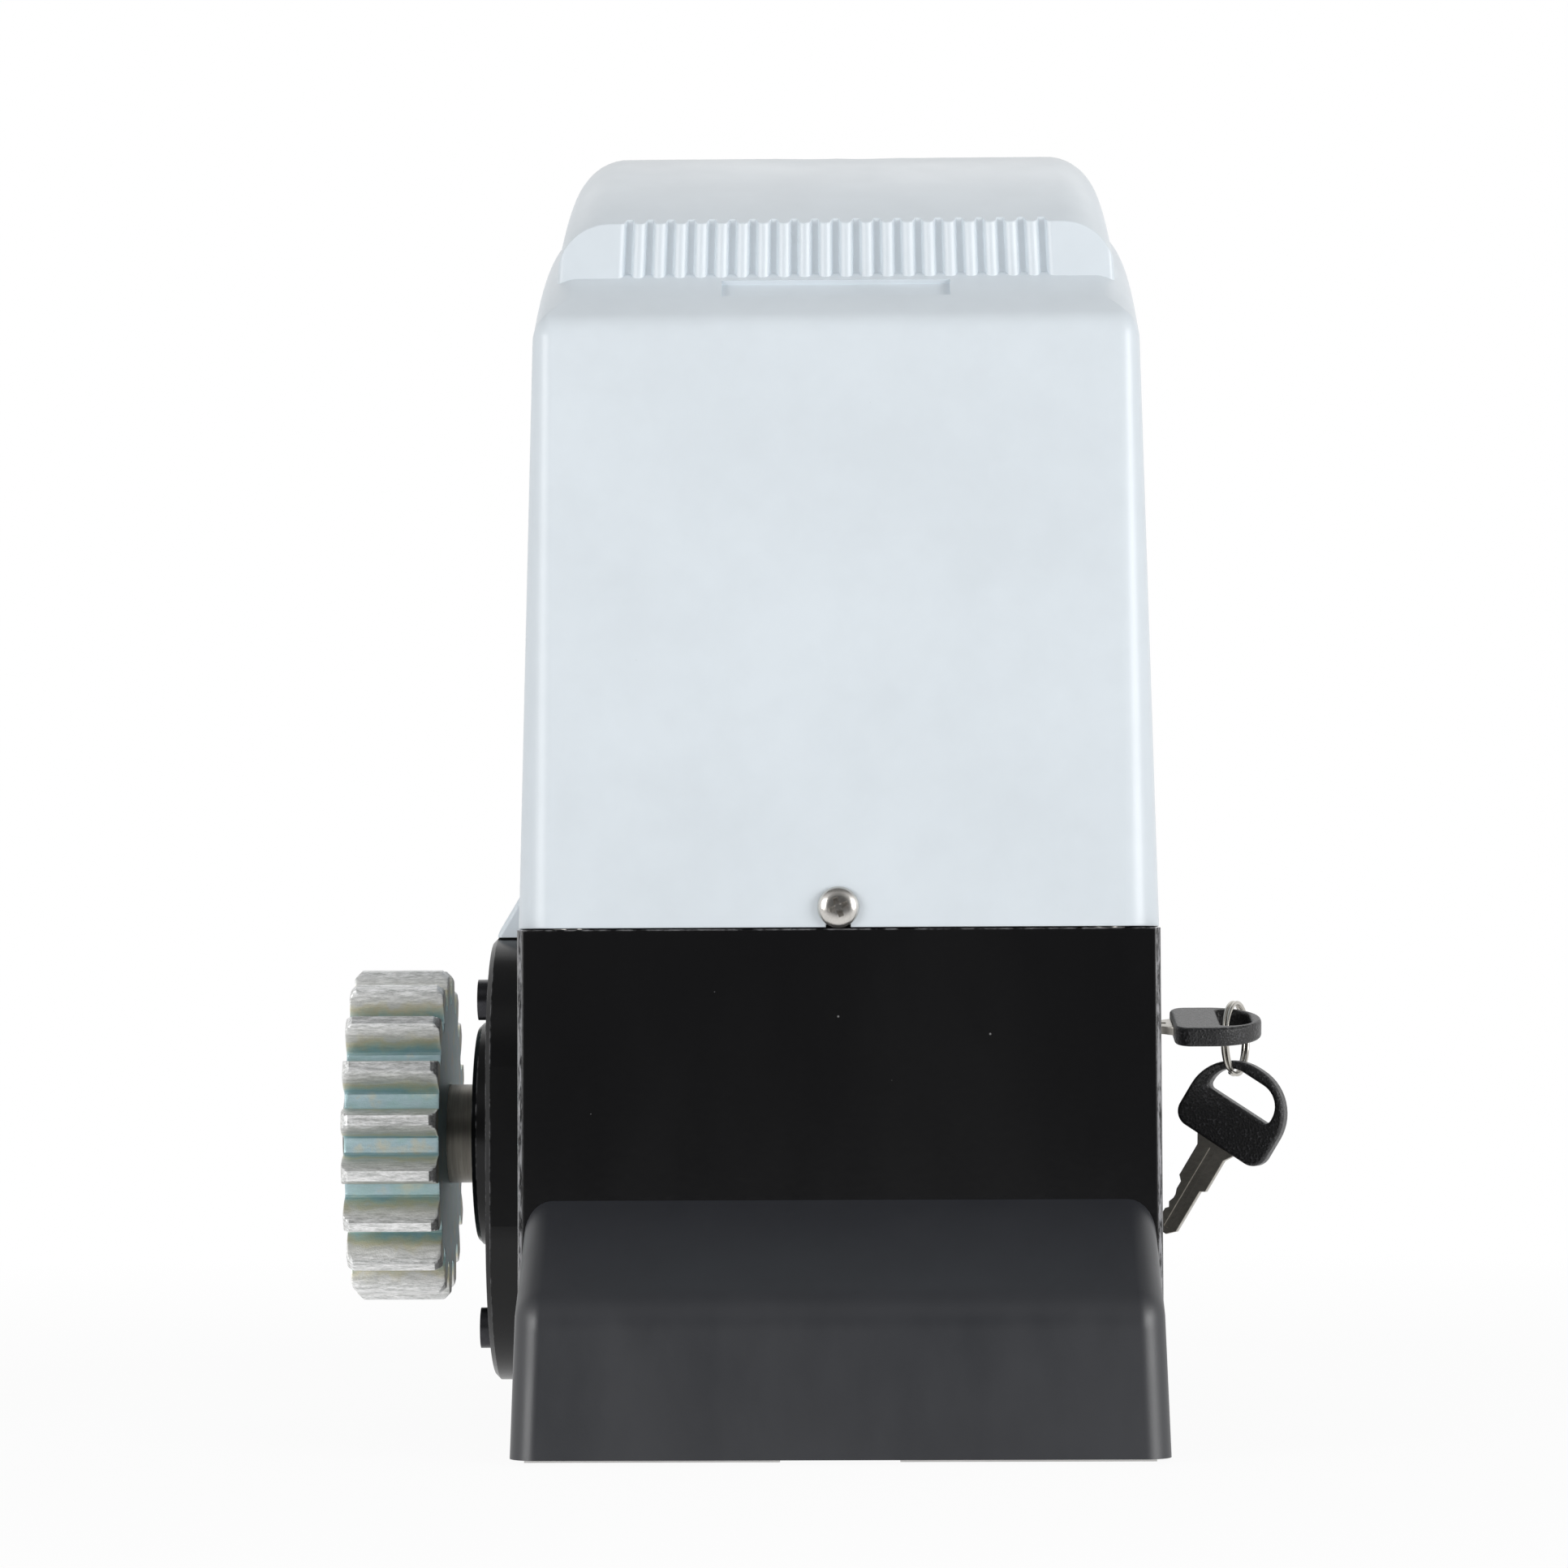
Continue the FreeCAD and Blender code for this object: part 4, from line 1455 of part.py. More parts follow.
def make_cover():
    shoulder, crown = make_hulls("outer", "0", "0", "cover_base")
    cut_ribs(crown)
    fairing = new_body("fairing")
    wedge = new_sketch(fairing, "XZ_Plane")
    side = "cover_half_width"
    draw_outline(wedge, [("-(%s + fairing_reach)" % side, "cover_base"),
                         ("-(%s - cover_wall)" % side, "cover_base"),
                         ("-(%s - cover_wall)" % side, "cover_base + fairing_height"),
                         ("-(%s)" % side, "cover_base + fairing_height")])
    add_pad(fairing, wedge, "fairing_width", symmetric=True)
    edge_at, fairing_half = -number("cover_half_width") - 0.01, number("fairing_height") / 2
    round_edges(fairing, "cover_wall / 2",
                lambda edge: edge.BoundBox.XMin < edge_at and edge.BoundBox.YLength < 1
                and edge.BoundBox.ZLength > fairing_half)

    core_shoulder, core_crown = make_hulls("inner", "cover_wall", "rib_wall_thickness",
                                           "cover_base - 5")
    hollow = new_body("fairing_hollow")
    wedge = new_sketch(hollow, "XZ_Plane")
    draw_outline(wedge, [("-(%s + fairing_reach) + cover_wall + 1" % side, "cover_base - 1"),
                         ("-(%s - cover_wall - 2)" % side, "cover_base - 1"),
                         ("-(%s - cover_wall - 2)" % side, "cover_base + fairing_height - 6")])
    add_pad(hollow, wedge, "fairing_width - 2 * cover_wall", symmetric=True)

    ends = ("-(cover_half_length + 1)", "cover_length_clear")
    notch = box(("-notch_width / 2", ends[0], "cover_base - 1"),
                ("notch_width", ends[1], "cover_screw_height - cover_base + 1"))
    screw_hole = rod(("0", ends[0], "cover_screw_height"), "Y", ends[1], "notch_width / 2")
    top_hole = rod(("0", "0", "crown_height - cover_wall - 1"), "Z", "cover_wall + 2",
                   "cover_screw_radius + seat_gap")
    top_sink = rod(("0", "0", "crown_height - top_screw_head + top_screw_proud"), "Z",
                   "cover_wall", "top_screw_head_radius + seat_gap")
    panels = []
    for turn in (0, 180):
        panel = doc.addObject("Part::Box", "panel")
        bind(panel, "Length", "panel_width")
        bind(panel, "Width", "panel_height")
        bind(panel, "Height", "panel_depth + 4")
        top_y = "crown_half_length + panel_gap"
        top_z = number("shoulder_centre + sqrt(shoulder_arch_radius ^ 2 - (%s) ^ 2)" % top_y)
        slope = number("panel_slope")
        corner = Placement(Vector(0, -number(top_y), top_z), Rotation(Vector(1, 0, 0), slope))
        inset = Placement(Vector(-number("panel_width / 2"), -number("panel_height"),
                                 -number("panel_depth")), Rotation())
        panel.Placement = Placement(Vector(), Rotation(Vector(0, 0, 1), turn)).multiply(
            corner).multiply(inset)
        panels.append(panel)
    shell = cut(joined(shoulder, crown, fairing), core_shoulder, core_crown, hollow)
    keep("top_cover", cut(shell, notch, screw_hole, top_hole, top_sink, *panels))

    screws = []
    for side in ("-", ""):
        start = "-cover_half_length - cover_screw_head" if side else "cover_half_length"
        tip = "-cover_half_length" if side else "cover_half_length - cover_screw_length"
        head = rod(("0", start, "cover_screw_height"), "Y", "cover_screw_head",
                   "cover_screw_head_radius")
        dome = doc.addObject("Part::Sphere", "dome")
        bind(dome, "Radius", "2 * cover_screw_head_radius")
        bind(dome, "Placement.Base.z", "cover_screw_height")
        reach = "cover_half_length + cover_screw_head - 2 * cover_screw_head_radius"
        bind(dome, "Placement.Base.y", "-(%s)" % reach if side else reach)
        shank = rod(("0", tip, "cover_screw_height"), "Y", "cover_screw_length",
                    "cover_screw_radius")
        screws.append(joined(common(head, dome), shank))
    keep("cover_screws", group(screws))
    head_bottom = "crown_height - top_screw_head + top_screw_proud"
    keep("cover_top_screw", cut(
        joined(rod(("0", "0", head_bottom), "Z", "top_screw_head", "top_screw_head_radius"),
               rod(("0", "0", head_bottom + " - 12"), "Z", "12.5", "cover_screw_radius")),
        hexagon(("0", "0", "crown_height + top_screw_proud - 1.2"), "Z", "2",
                "cover_screw_radius")))


# ---------------------------------------------------------------- foot covers

def make_foot_form(name, inset, back, foot):
    body = new_body(name)
    front = new_sketch(body, "XZ_Plane", back)
    side, rise = "foot_cover_half_width - (%s)" % inset, "(foot_cover_top - (%s))" % foot
    lean = rise + " * tan(foot_cover_draft)"
    top = "foot_cover_top - (%s)" % inset
    draw_outline(front, [("-(%s)" % side, foot), (side, foot),
                         ("%s - %s" % (side, lean), top), ("-(%s - %s)" % (side, lean), top)],
                 [None, None, "foot_cover_radius - (%s)" % inset,
                  "foot_cover_radius - (%s)" % inset])
    depth = "foot_cover_face - (%s) + (%s)" % (inset, back)
    add_pad(body, front, depth)
    slope = new_sketch(body, "YZ_Plane")
    face = "-(foot_cover_face - (%s))" % inset
    draw_outline(slope, [(face + " - 5", foot + " - 1"), (face, foot + " - 1"),
                         (face + " + foot_cover_lean", "foot_cover_front - (%s)" % inset),
                         ("-cover_half_length", top), ("-cover_half_length", top + " + 9"),
                         (face + " - 5", top + " + 9")])
    add_pocket(body, slope, "2 * foot_cover_half_width + 20", symmetric=True)
    rear = number(back) - 0.5
    round_edges(body, "foot_cover_edge - (%s) / 2" % inset,
                lambda edge: edge.BoundBox.YMax < rear + 0.5 - 0.3 and edge.BoundBox.ZMax >
                number(foot) + 1 and not (edge.BoundBox.YLength > 2 and
                                          edge.BoundBox.XLength > 1))
    return body


def make_foot_covers():
    for node, turn in (("foot_cover_front", 0), ("foot_cover_rear", 180)):
        outside = make_foot_form("foot_cover", "0", "-(casing_half_length + seat_gap)",
                                 "foot_cover_lift")
        inside = make_foot_form("foot_core", "foot_cover_wall", "-(casing_half_length - 3)",
                                "foot_cover_lift - 5")
        cover = cut(outside, inside)
        cover.Placement = Placement(Vector(), Rotation(Vector(0, 0, 1), turn))
        keep(node, cover)


# ---------------------------------------------------------------- small parts

def make_small_parts():
    keep("filler_plug", joined(
        hexagon(("filler_x", "filler_y", "lid_top"), "Z", "filler_head", "filler_radius + 2"),
        rod(("filler_x", "filler_y", "lid_bottom"), "Z", "lid_thickness + 1", "filler_radius")))
    keep("earth_screw", cut(
        joined(rod(("-filler_x", "earth_screw_y", "lid_top"), "Z", "lid_screw_head",
                   "lid_screw_head_radius"),
               rod(("-filler_x", "earth_screw_y", "lid_bottom + 1"), "Z", "lid_thickness",
                   "lid_screw_radius")),
        box(("-filler_x - lid_screw_head_radius", "earth_screw_y - 0.5",
             "lid_top + lid_screw_head / 2"), ("2 * lid_screw_head_radius", "1",
                                               "lid_screw_head"))))


def faults():
    """Every failed object, cut that takes nothing away and sub-part without a valid solid."""
    found = ["%s (%s) failed" % (item.Name, item.Label) for item in doc.Objects
             if "Invalid" in item.State or "Error" in item.State]
    if found:
        return found
    for step in CUTS:
        if step.Shape.Volume > step.BaseFeature.Shape.Volume - 0.01:
            found.append("%s of %s cuts nothing" % (step.Name, step.getParent().Label))
    for node, item in PARTS.items():
        shape = item.Shape
        if shape.isNull() or not shape.isValid() or not shape.Solids:
            found.append("%s has no valid solid" % node)
    return found


def write_parts():
    """Writes each sub-part to its own file, once every one of them is sound."""
    doc.recompute()
    problems = faults()
    if problems:
        raise RuntimeError("; ".join(problems))
    os.makedirs("parts", exist_ok=True)
    for node, item in PARTS.items():
        item.Shape.exportStep("parts/%s.step" % node)


fill_sheet()
make_casing()
make_lid()
make_grommet()
make_flange()
make_bearings()
make_output_shaft()
make_pinion()
make_worm_wheel()
make_worm_shaft()
make_clutch()
make_fork()
make_lock()
make_cam()
make_keys()
make_motor()
make_transformer()
make_capacitor()
make_board()
make_cover()
make_foot_covers()
make_small_parts()
write_parts()
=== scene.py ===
import json
import math

import bmesh
import bpy
from mathutils import Matrix, Vector


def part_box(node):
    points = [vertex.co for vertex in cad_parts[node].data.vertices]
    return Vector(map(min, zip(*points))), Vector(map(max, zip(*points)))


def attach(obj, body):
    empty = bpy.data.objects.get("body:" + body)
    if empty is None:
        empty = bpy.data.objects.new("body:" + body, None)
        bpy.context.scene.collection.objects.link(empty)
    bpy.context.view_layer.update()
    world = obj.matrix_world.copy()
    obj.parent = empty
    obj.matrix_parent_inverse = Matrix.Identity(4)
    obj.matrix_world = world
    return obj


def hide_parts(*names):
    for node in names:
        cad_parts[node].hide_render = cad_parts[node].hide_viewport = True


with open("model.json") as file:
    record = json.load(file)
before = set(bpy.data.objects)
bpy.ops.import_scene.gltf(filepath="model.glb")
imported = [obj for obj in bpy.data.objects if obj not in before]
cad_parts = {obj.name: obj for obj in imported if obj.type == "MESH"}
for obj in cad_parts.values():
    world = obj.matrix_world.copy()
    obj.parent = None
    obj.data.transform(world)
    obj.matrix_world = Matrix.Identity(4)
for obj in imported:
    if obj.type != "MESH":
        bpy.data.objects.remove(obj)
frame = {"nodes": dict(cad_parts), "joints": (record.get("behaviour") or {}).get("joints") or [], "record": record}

bl_info = {
    "name": "Sliding gate motor",
    "version": (1, 0, 0),
    "blender": (4, 5, 0),
    "location": "View3D > Sidebar > Gate motor",
    "description": "Builds the dressed pieces of a sliding gate motor over its packed solids",
    "category": "Object",
}

MM = 0.001
# Each solid's lowest and highest corner, in millimetres.
BOXES = {name: [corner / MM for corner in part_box(name)] for name in frame["nodes"]}
CASING_STEP = 0.4     # the casing stands out past the cover all round


def in_mm(metres):
    """A size in the meshes' own unit; dress() scales them back to metres."""
    return metres / MM


# ---------------------------------------------------------------- sizes and colours a user would change

def length(name, description, default, lowest=0.0):
    return bpy.props.FloatProperty(name=name, description=description, default=default * MM,
                                   min=lowest * MM, unit="LENGTH", subtype="DISTANCE", precision=5)


def angle(name, description, default):
    return bpy.props.FloatProperty(name=name, description=description,
                                   default=math.radians(default), unit="ROTATION", subtype="ANGLE")


def colour(name, description, default):
    return bpy.props.FloatVectorProperty(name=name, description=description, size=3, min=0.0,
                                         max=1.0, default=default, subtype="COLOR")


def amount(name, description, default):
    return bpy.props.FloatProperty(name=name, description=description, default=default, min=0.0,
                                   max=1.0, subtype="FACTOR")


def power(name, description, default):
    return bpy.props.FloatProperty(name=name, description=description, default=default, min=0.0,
                                   unit="POWER")


class CoverSettings(bpy.types.PropertyGroup):
    """The moulded cover over the motor."""

    draft: angle("Draft", "How far the side walls lean in", 1.42)
    corner: length("Corner radius", "Radius of the upright corners at the parting line", 8.5)
    top_round: length("Shoulder rounding", "Radius between the end walls and the shoulder", 7.5)
    side_round: length("Side rounding", "Radius along the shoulder's sides, at their middle", 16)
    shoulder_radius: length("Shoulder arch", "Radius of the shoulder's arch", 165)
    shoulder_crest: length("Shoulder crest", "Height of the shoulder's arch above the base", 302.3)
    crown_radius: length("Crown arch", "Radius of the crown's arch", 155)
    crown_length: length("Crown half length", "From the middle to the ribbed wall", 91)
    crown_width: length("Crown half width", "Beside the foot of the ribbed wall", 66.2)
    crown_draft: angle("Crown draft", "How far the crown's sides lean in", 3.4)
    crown_round: length("Crown rounding", "Radius along the crown's long edges", 11.5)
    rib_pitch: length("Rib pitch", "From one groove to the next", 4.95)
    rib_depth: length("Rib depth", "Depth of the grooves between the ribs", 1.9)
    rib_count: bpy.props.IntProperty(name="Grooves", description="Grooves in each ribbed wall",
                                     default=21, min=1)
    wall: length("Wall", "Thickness of the moulding", 3)
    tone: colour("Plastic", "Colour of the cover's plastic", (0.70, 0.758, 0.804))


class CasingSettings(bpy.types.PropertyGroup):
    """The cast gearbox casing, its flange and the foot covers."""

    paint: colour("Paint", "Colour of the gloss black paint", (0.0045, 0.0045, 0.005))
    peel: amount("Orange peel", "Height of the paint's orange peel", 0.35)
    bare_height: length("Bare foot", "Height of the machined strip at the feet", 0.9)
    cover_tone: colour("Foot covers", "Colour of the foot covers' plastic", (0.014, 0.0155, 0.020))
    cover_round: length("Foot cover rounding", "Radius of the foot covers' edges", 6.2)


class DriveSettings(bpy.types.PropertyGroup):
    """The output pinion."""

    module: length("Module", "Size of the teeth", 4)
    teeth: bpy.props.IntProperty(name="Teeth", description="Teeth of the pinion", default=19, min=8)
    chamfer: length("Chamfer", "Chamfer at the ends of the teeth", 1.6)
    phase: angle("Phase", "Turn of the teeth from upright", 11.0)
    zinc: colour("Zinc", "Colour of the zinc plating", (0.84, 0.86, 0.84))
    bloom: amount("Bloom", "Strength of the plating's rainbow bloom", 0.8)


class KeySettings(bpy.types.PropertyGroup):
    """The lock, the keys and their ring."""

    bow_tone: colour("Bow", "Colour of the bows' plastic", (0.012, 0.012, 0.013))
    bow_edge: length("Bow edge", "Rounding of the bows' edges", 0.95)
    blade_tone: colour("Blade", "Colour of the blades' nickel", (0.42, 0.40, 0.36))
    wire: length("Ring wire", "Radius of the ring's wire", 0.52)


class StageSettings(bpy.types.PropertyGroup):
    """The floor, the lamps and the camera."""

    floor_tone: colour("Floor", "Colour of the floor", (0.9, 0.9, 0.9))
    top_power: power("Top lamp", "Power of the lamp above and behind", 3.0)
    left_power: power("Left lamp", "Power of the left lamp", 10.6)
    right_power: power("Right lamp", "Power of the right lamp", 13.4)
    lens: bpy.props.FloatProperty(name="Lens", description="Focal length of the camera",
                                  default=105.65, min=1.0, unit="CAMERA")


# ---------------------------------------------------------------- making meshes, in millimetres

def link_mesh(name, points, faces):
    """A new piece from points and faces, with its faces turned outwards."""
    mesh = bpy.data.meshes.new(name)
    mesh.from_pydata([tuple(point) for point in points], [], faces)
    piece = bpy.data.objects.new(name, mesh)
    bpy.context.scene.collection.objects.link(piece)
    tidy_mesh(piece)
    return piece


def tidy_mesh(piece, gap=1e-4):
    """Joins points closer than a gap and turns every face outwards."""
    form = bmesh.new()
    form.from_mesh(piece.data)
    bmesh.ops.remove_doubles(form, verts=form.verts, dist=gap)
    bmesh.ops.dissolve_degenerate(form, edges=form.edges, dist=gap)
    bmesh.ops.recalc_face_normals(form, faces=form.faces)
    form.to_mesh(piece.data)
    form.free()


def settle(piece):
    """Makes a piece's modifiers part of its mesh."""
    evaluated = piece.evaluated_get(bpy.context.evaluated_depsgraph_get())
    settled = bpy.data.meshes.new_from_object(evaluated)
    old = piece.data
    piece.modifiers.clear()
    piece.data = settled
    bpy.data.meshes.remove(old)
    return piece


def combine(piece, tool, way="DIFFERENCE"):
    """Cuts a tool from a piece or joins it on, and removes the tool."""
    modifier = piece.modifiers.new("combine", "BOOLEAN")
    modifier.operation, modifier.object, modifier.solver = way, tool, "EXACT"
    settle(piece)
    bpy.data.objects.remove(tool)
    if not piece.data.polygons:
        raise RuntimeError("nothing is left of " + piece.name)
    return piece


def soften(piece, width, steps=2, least=30):
    """Rounds every edge sharper than an angle."""
    modifier = piece.modifiers.new("soften", "BEVEL")
    modifier.width, modifier.segments = width, steps
    modifier.limit_method, modifier.angle_limit = "ANGLE", math.radians(least)
    modifier.use_clamp_overlap, modifier.miter_outer = True, "MITER_ARC"
    return settle(piece)


def dress(piece, finish, body, nodes=(), crease=35):
    """Brings a piece to metres, shades it, and gives it its finish, its body and what it replaces.

    An edge stays sharp where its faces meet at more than the crease, in degrees.
    """
    piece.data.transform(Matrix.Scale(MM, 4))
    piece.data.shade_smooth()
    piece.data.set_sharp_from_angle(angle=math.radians(crease))
    weights = piece.modifiers.new("weights", "WEIGHTED_NORMAL")
    weights.keep_sharp = True
    settle(piece)
    piece.data.materials.clear()
    piece.data.materials.append(finish)
    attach(piece, body)
    if nodes:
        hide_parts(*nodes)
    return piece


def wrap(rows, close_rows=False):
    """Points and faces through rows of equal length, each row a closed loop.

    The first and last rows are capped, or joined where close_rows is true.
    """
    count, points, faces = len(rows[0]), [point for row in rows for point in row], []
    pairs = list(zip(range(len(rows) - 1), range(1, len(rows))))
    if close_rows:
        pairs.append((len(rows) - 1, 0))
    for low, high in pairs:
        for step in range(count):
            after = (step + 1) % count
            faces.append((low * count + step, low * count + after,
                          high * count + after, high * count + step))
    if not close_rows:
        faces.append(tuple(range(count))[::-1])
        faces.append(tuple(range((len(rows) - 1) * count, len(rows) * count)))
    return points, faces


def block(name, low, high):
    """A plain block, used as a cutting tool or to be shaped further."""
    corners = [(x, y, z) for z in (low[2], high[2])
               for x, y in ((low[0], low[1]), (high[0], low[1]), (high[0], high[1]), (low[0], high[1]))]
    faces = [(3, 2, 1, 0), (4, 5, 6, 7), (0, 1, 5, 4), (1, 2, 6, 5), (2, 3, 7, 6), (3, 0, 4, 7)]
    return link_mesh(name, corners, faces)


def prism(name, outline, start, end):
    """An outline in X and Z drawn out along Y."""
    return link_mesh(name, *wrap([[(x, y, z) for x, z in outline] for y in (start, end)]))


def lathe(name, profile, steps=72):
    """A profile of height and radius turned about the local Z axis."""
    rows = []
    for height, radius in profile:
        rows.append([(radius * math.cos(math.tau * step / steps),
                      radius * math.sin(math.tau * step / steps), height) for step in range(steps)])
    return link_mesh(name, *wrap(rows))


def eased(points, radii, steps):
    """A flat closed outline with each corner rounded to its own radius."""
    made = []
    for here, radius in enumerate(radii):
        corner = Vector(points[here])
        back = Vector(points[here - 1]) - corner
        on = Vector(points[(here + 1) % len(points)]) - corner
        half = back.angle(on) / 2
        reach = radius / math.tan(half)
        centre = corner + (back.normalized() + on.normalized()).normalized() * radius / math.sin(half)
        first = corner + back.normalized() * reach - centre
        last = corner + on.normalized() * reach - centre
        turn = first.angle_signed(last)
        for step in range(steps + 1):
            made.append(tuple(centre + Matrix.Rotation(-turn * step / steps, 2) @ first))
    return made


def solid_curve(name, curve, gap, place=Matrix.Identity(4)):
    """A new piece from a curve that has a thickness; the curve is removed."""
    holder = bpy.data.objects.new(name + "_curve", curve)
    bpy.context.scene.collection.objects.link(holder)
    bpy.context.view_layer.update()
    mesh = bpy.data.meshes.new_from_object(
        holder.evaluated_get(bpy.context.evaluated_depsgraph_get()))
    bpy.data.objects.remove(holder)
    bpy.data.curves.remove(curve)
    mesh.transform(place)
    piece = bpy.data.objects.new(name, mesh)
    bpy.context.scene.collection.objects.link(piece)
    tidy_mesh(piece, gap)
    return piece


def plate(name, outlines, thickness, edge, edge_steps, place=Matrix.Identity(4)):
    """A flat outline with its holes as a plate with rounded edges, its middle on the local XY plane."""
    curve = bpy.data.curves.new(name, "CURVE")
    curve.dimensions, curve.fill_mode = "2D", "BOTH"
    curve.extrude, curve.bevel_depth = thickness / 2 - edge, edge
    curve.bevel_resolution, curve.offset = edge_steps, -edge
    for outline in outlines:
        spline = curve.splines.new("POLY")
        spline.points.add(len(outline) - 1)
        for point, (x, y) in zip(spline.points, outline):
            point.co = (x, y, 0, 1)
        spline.use_cyclic_u = True
    return solid_curve(name, curve, 1e-3, place)


# ---------------------------------------------------------------- shader groups

class Graph:
    """A node tree, with short ways to add nodes and to feed their inputs."""

    def __init__(self, tree):
        self.tree = tree
        tree.nodes.clear()

    def add(self, kind, feeds=None, **settings):
        node = self.tree.nodes.new("ShaderNode" + kind)
        for name, value in settings.items():
            setattr(node, name, value)
        for name, value in (feeds or {}).items():
            self.feed(node.inputs[name], value)
        return node

    def feed(self, socket, value):
        if isinstance(value, bpy.types.NodeSocket):
            self.tree.links.new(value, socket)
        else:
            socket.default_value = value

    def math(self, way, first, second=0.0):
        return self.add("Math", {0: first, 1: second}, operation=way).outputs[0]

    def times(self, first, second):
        return self.math("MULTIPLY", first, second)

    def plus(self, first, second):
        return self.math("ADD", first, second)

    def minus(self, first, second):
        return self.math("SUBTRACT", first, second)

    def one_over(self, value, over=1.0):
        return self.math("DIVIDE", over, value)

    def vector(self, way, first, second=(0, 0, 0)):
        node = self.add("VectorMath", {0: first, 1: second}, operation=way)
        return node.outputs["Value" if way in ("DOT_PRODUCT", "LENGTH") else "Vector"]

    def span(self, value, low, high, to_low=0.0, to_high=1.0):
        feeds = {"Value": value, "From Min": low, "From Max": high, "To Min": to_low, "To Max": to_high}
        return self.add("MapRange", feeds).outputs["Result"]

    def noise(self, where, scale, detail=2.0, rough=0.5):
        feeds = {"Vector": where, "Scale": scale, "Detail": detail, "Roughness": rough}
        return self.add("TexNoise", feeds).outputs["Fac"]

    def mix(self, share, first, second):
        node = self.add("Mix", {0: share, 6: first, 7: second}, data_type="RGBA")
        return node.outputs[2]

    def scaled(self, where, factor):
        node = self.add("VectorMath", {0: where, "Scale": factor}, operation="SCALE")
        return node.outputs["Vector"]

    def millimetres(self):
        """The piece's own coordinates in millimetres."""
        return self.scaled(self.add("TexCoord").outputs["Object"], 1 / MM)

    def parts(self, where):
        """A vector's X, Y and Z."""
        return self.add("SeparateXYZ", {"Vector": where}).outputs

    def use(self, group, feeds=None):
        node = self.add("Group", node_tree=bpy.data.node_groups[group])
        for name, value in (feeds or {}).items():
            self.feed(node.inputs[name], value)
        return node.outputs


def start_group(name, inputs, outputs):
    """A new shader group with its sockets, its graph, and the ends inside it."""
    tree = bpy.data.node_groups.new(name, "ShaderNodeTree")
    for label, default in inputs.items():
        kind = "NodeSocketVector" if isinstance(default, tuple) else "NodeSocketFloat"
        tree.interface.new_socket(name=label, in_out="INPUT", socket_type=kind).default_value = default
    for label, kind in outputs.items():
        tree.interface.new_socket(name=label, in_out="OUTPUT", socket_type="NodeSocket" + kind)
    graph = Graph(tree)
    entry, leave = tree.nodes.new("NodeGroupInput"), tree.nodes.new("NodeGroupOutput")
    return graph, entry.outputs, leave.inputs


def make_orange_peel():
    """Sprayed paint: soft dimples, with a slower wave under them."""
    graph, given, made = start_group("Orange peel", {"Size": 1.0}, {"Height": "Float"})
    where = graph.millimetres()
    fine = graph.noise(where, graph.one_over(given["Size"]), 1.0)
    slow = graph.noise(where, graph.one_over(given["Size"], 0.22), 1.0)
    graph.feed(made["Height"], graph.plus(fine, graph.times(slow, 0.8)))


def make_specks():
    """Small scattered specks, each with its own size."""
    graph, given, made = start_group("Specks", {"Spacing": 4.0, "Size": 0.12}, {"Mask": "Float"})
    where = graph.scaled(graph.millimetres(), graph.one_over(given["Spacing"]))
    cells = graph.add("TexVoronoi", {"Vector": where, "Scale": 1.0})
    size = graph.add("SeparateColor", {"Color": cells.outputs["Color"]}).outputs[0]
    reach = graph.times(graph.math("POWER", size, 4.0), given["Size"])
    graph.feed(made["Mask"], graph.span(cells.outputs["Distance"], reach, graph.times(reach, 0.6)))


def make_edge_wear_and_highlight():
    """Where an edge is rubbed, broken up along its length; the black paint also uses it to place painted
    highlight.
    """
    graph, given, made = start_group("Edge wear and highlight", {"Reach": 0.5, "Breakup": 0.5}, {"Mask": "Float"})
    reach = graph.times(given["Reach"], MM)
    rounded = graph.add("Bevel", {"Radius": reach}, samples=4).outputs["Normal"]
    flat = graph.add("NewGeometry").outputs["Normal"]
    bend = graph.minus(1.0, graph.vector("DOT_PRODUCT", rounded, flat))
    edge = graph.span(bend, 0.03, 0.22)
    patches = graph.noise(graph.millimetres(), 0.35, 4.0, 0.65)
    worn_and_highlit = graph.span(patches, graph.minus(given["Breakup"], 0.08), graph.plus(given["Breakup"], 0.08))
    graph.feed(made["Mask"], graph.times(edge, worn_and_highlit))


def make_moulded_skin():
    """Moulded plastic: a faint cloudy tint and a spark-eroded grain."""
    graph, given, made = start_group("Moulded skin", {"Grain": 0.35, "Cloud": 40.0},
                                     {"Tint": "Float", "Height": "Float"})
    where = graph.millimetres()
    cloud = graph.noise(where, graph.one_over(given["Cloud"]), 3.0, 0.6)
    patch = graph.noise(where, graph.one_over(given["Cloud"], 6.0), 2.0, 0.6)
    graph.feed(made["Tint"], graph.plus(graph.times(cloud, 0.7), graph.times(patch, 0.3)))
    graph.feed(made["Height"], graph.noise(where, graph.one_over(given["Grain"]), 2.0, 0.6))


def make_tool_marks():
    """Fine lines left by a tool, stretched along one direction."""
    graph, given, made = start_group("Tool marks", {"Lines": (8.0, 0.2, 0.2)},
                                     {"Height": "Float", "Streak": "Float"})
    where = graph.vector("MULTIPLY", graph.millimetres(), given["Lines"])
    fine = graph.noise(where, 1.0, 4.0, 0.7)
    broad = graph.noise(graph.scaled(where, 0.25), 1.0, 2.0, 0.5)
    graph.feed(made["Height"], fine)
    graph.feed(made["Streak"], graph.times(graph.plus(fine, broad), 0.5))


def make_handling():
    """Faint smears from handling, which change how dull a surface is."""
    graph, given, made = start_group("Handling", {"Size": 25.0}, {"Smear": "Float"})
    where = graph.millimetres()
    bent = graph.vector("MULTIPLY", where, (1.0, 1.0, 0.35))
    smear = graph.noise(bent, graph.one_over(given["Size"]), 4.0, 0.65)
    graph.feed(made["Smear"], graph.span(smear, 0.35, 0.68))


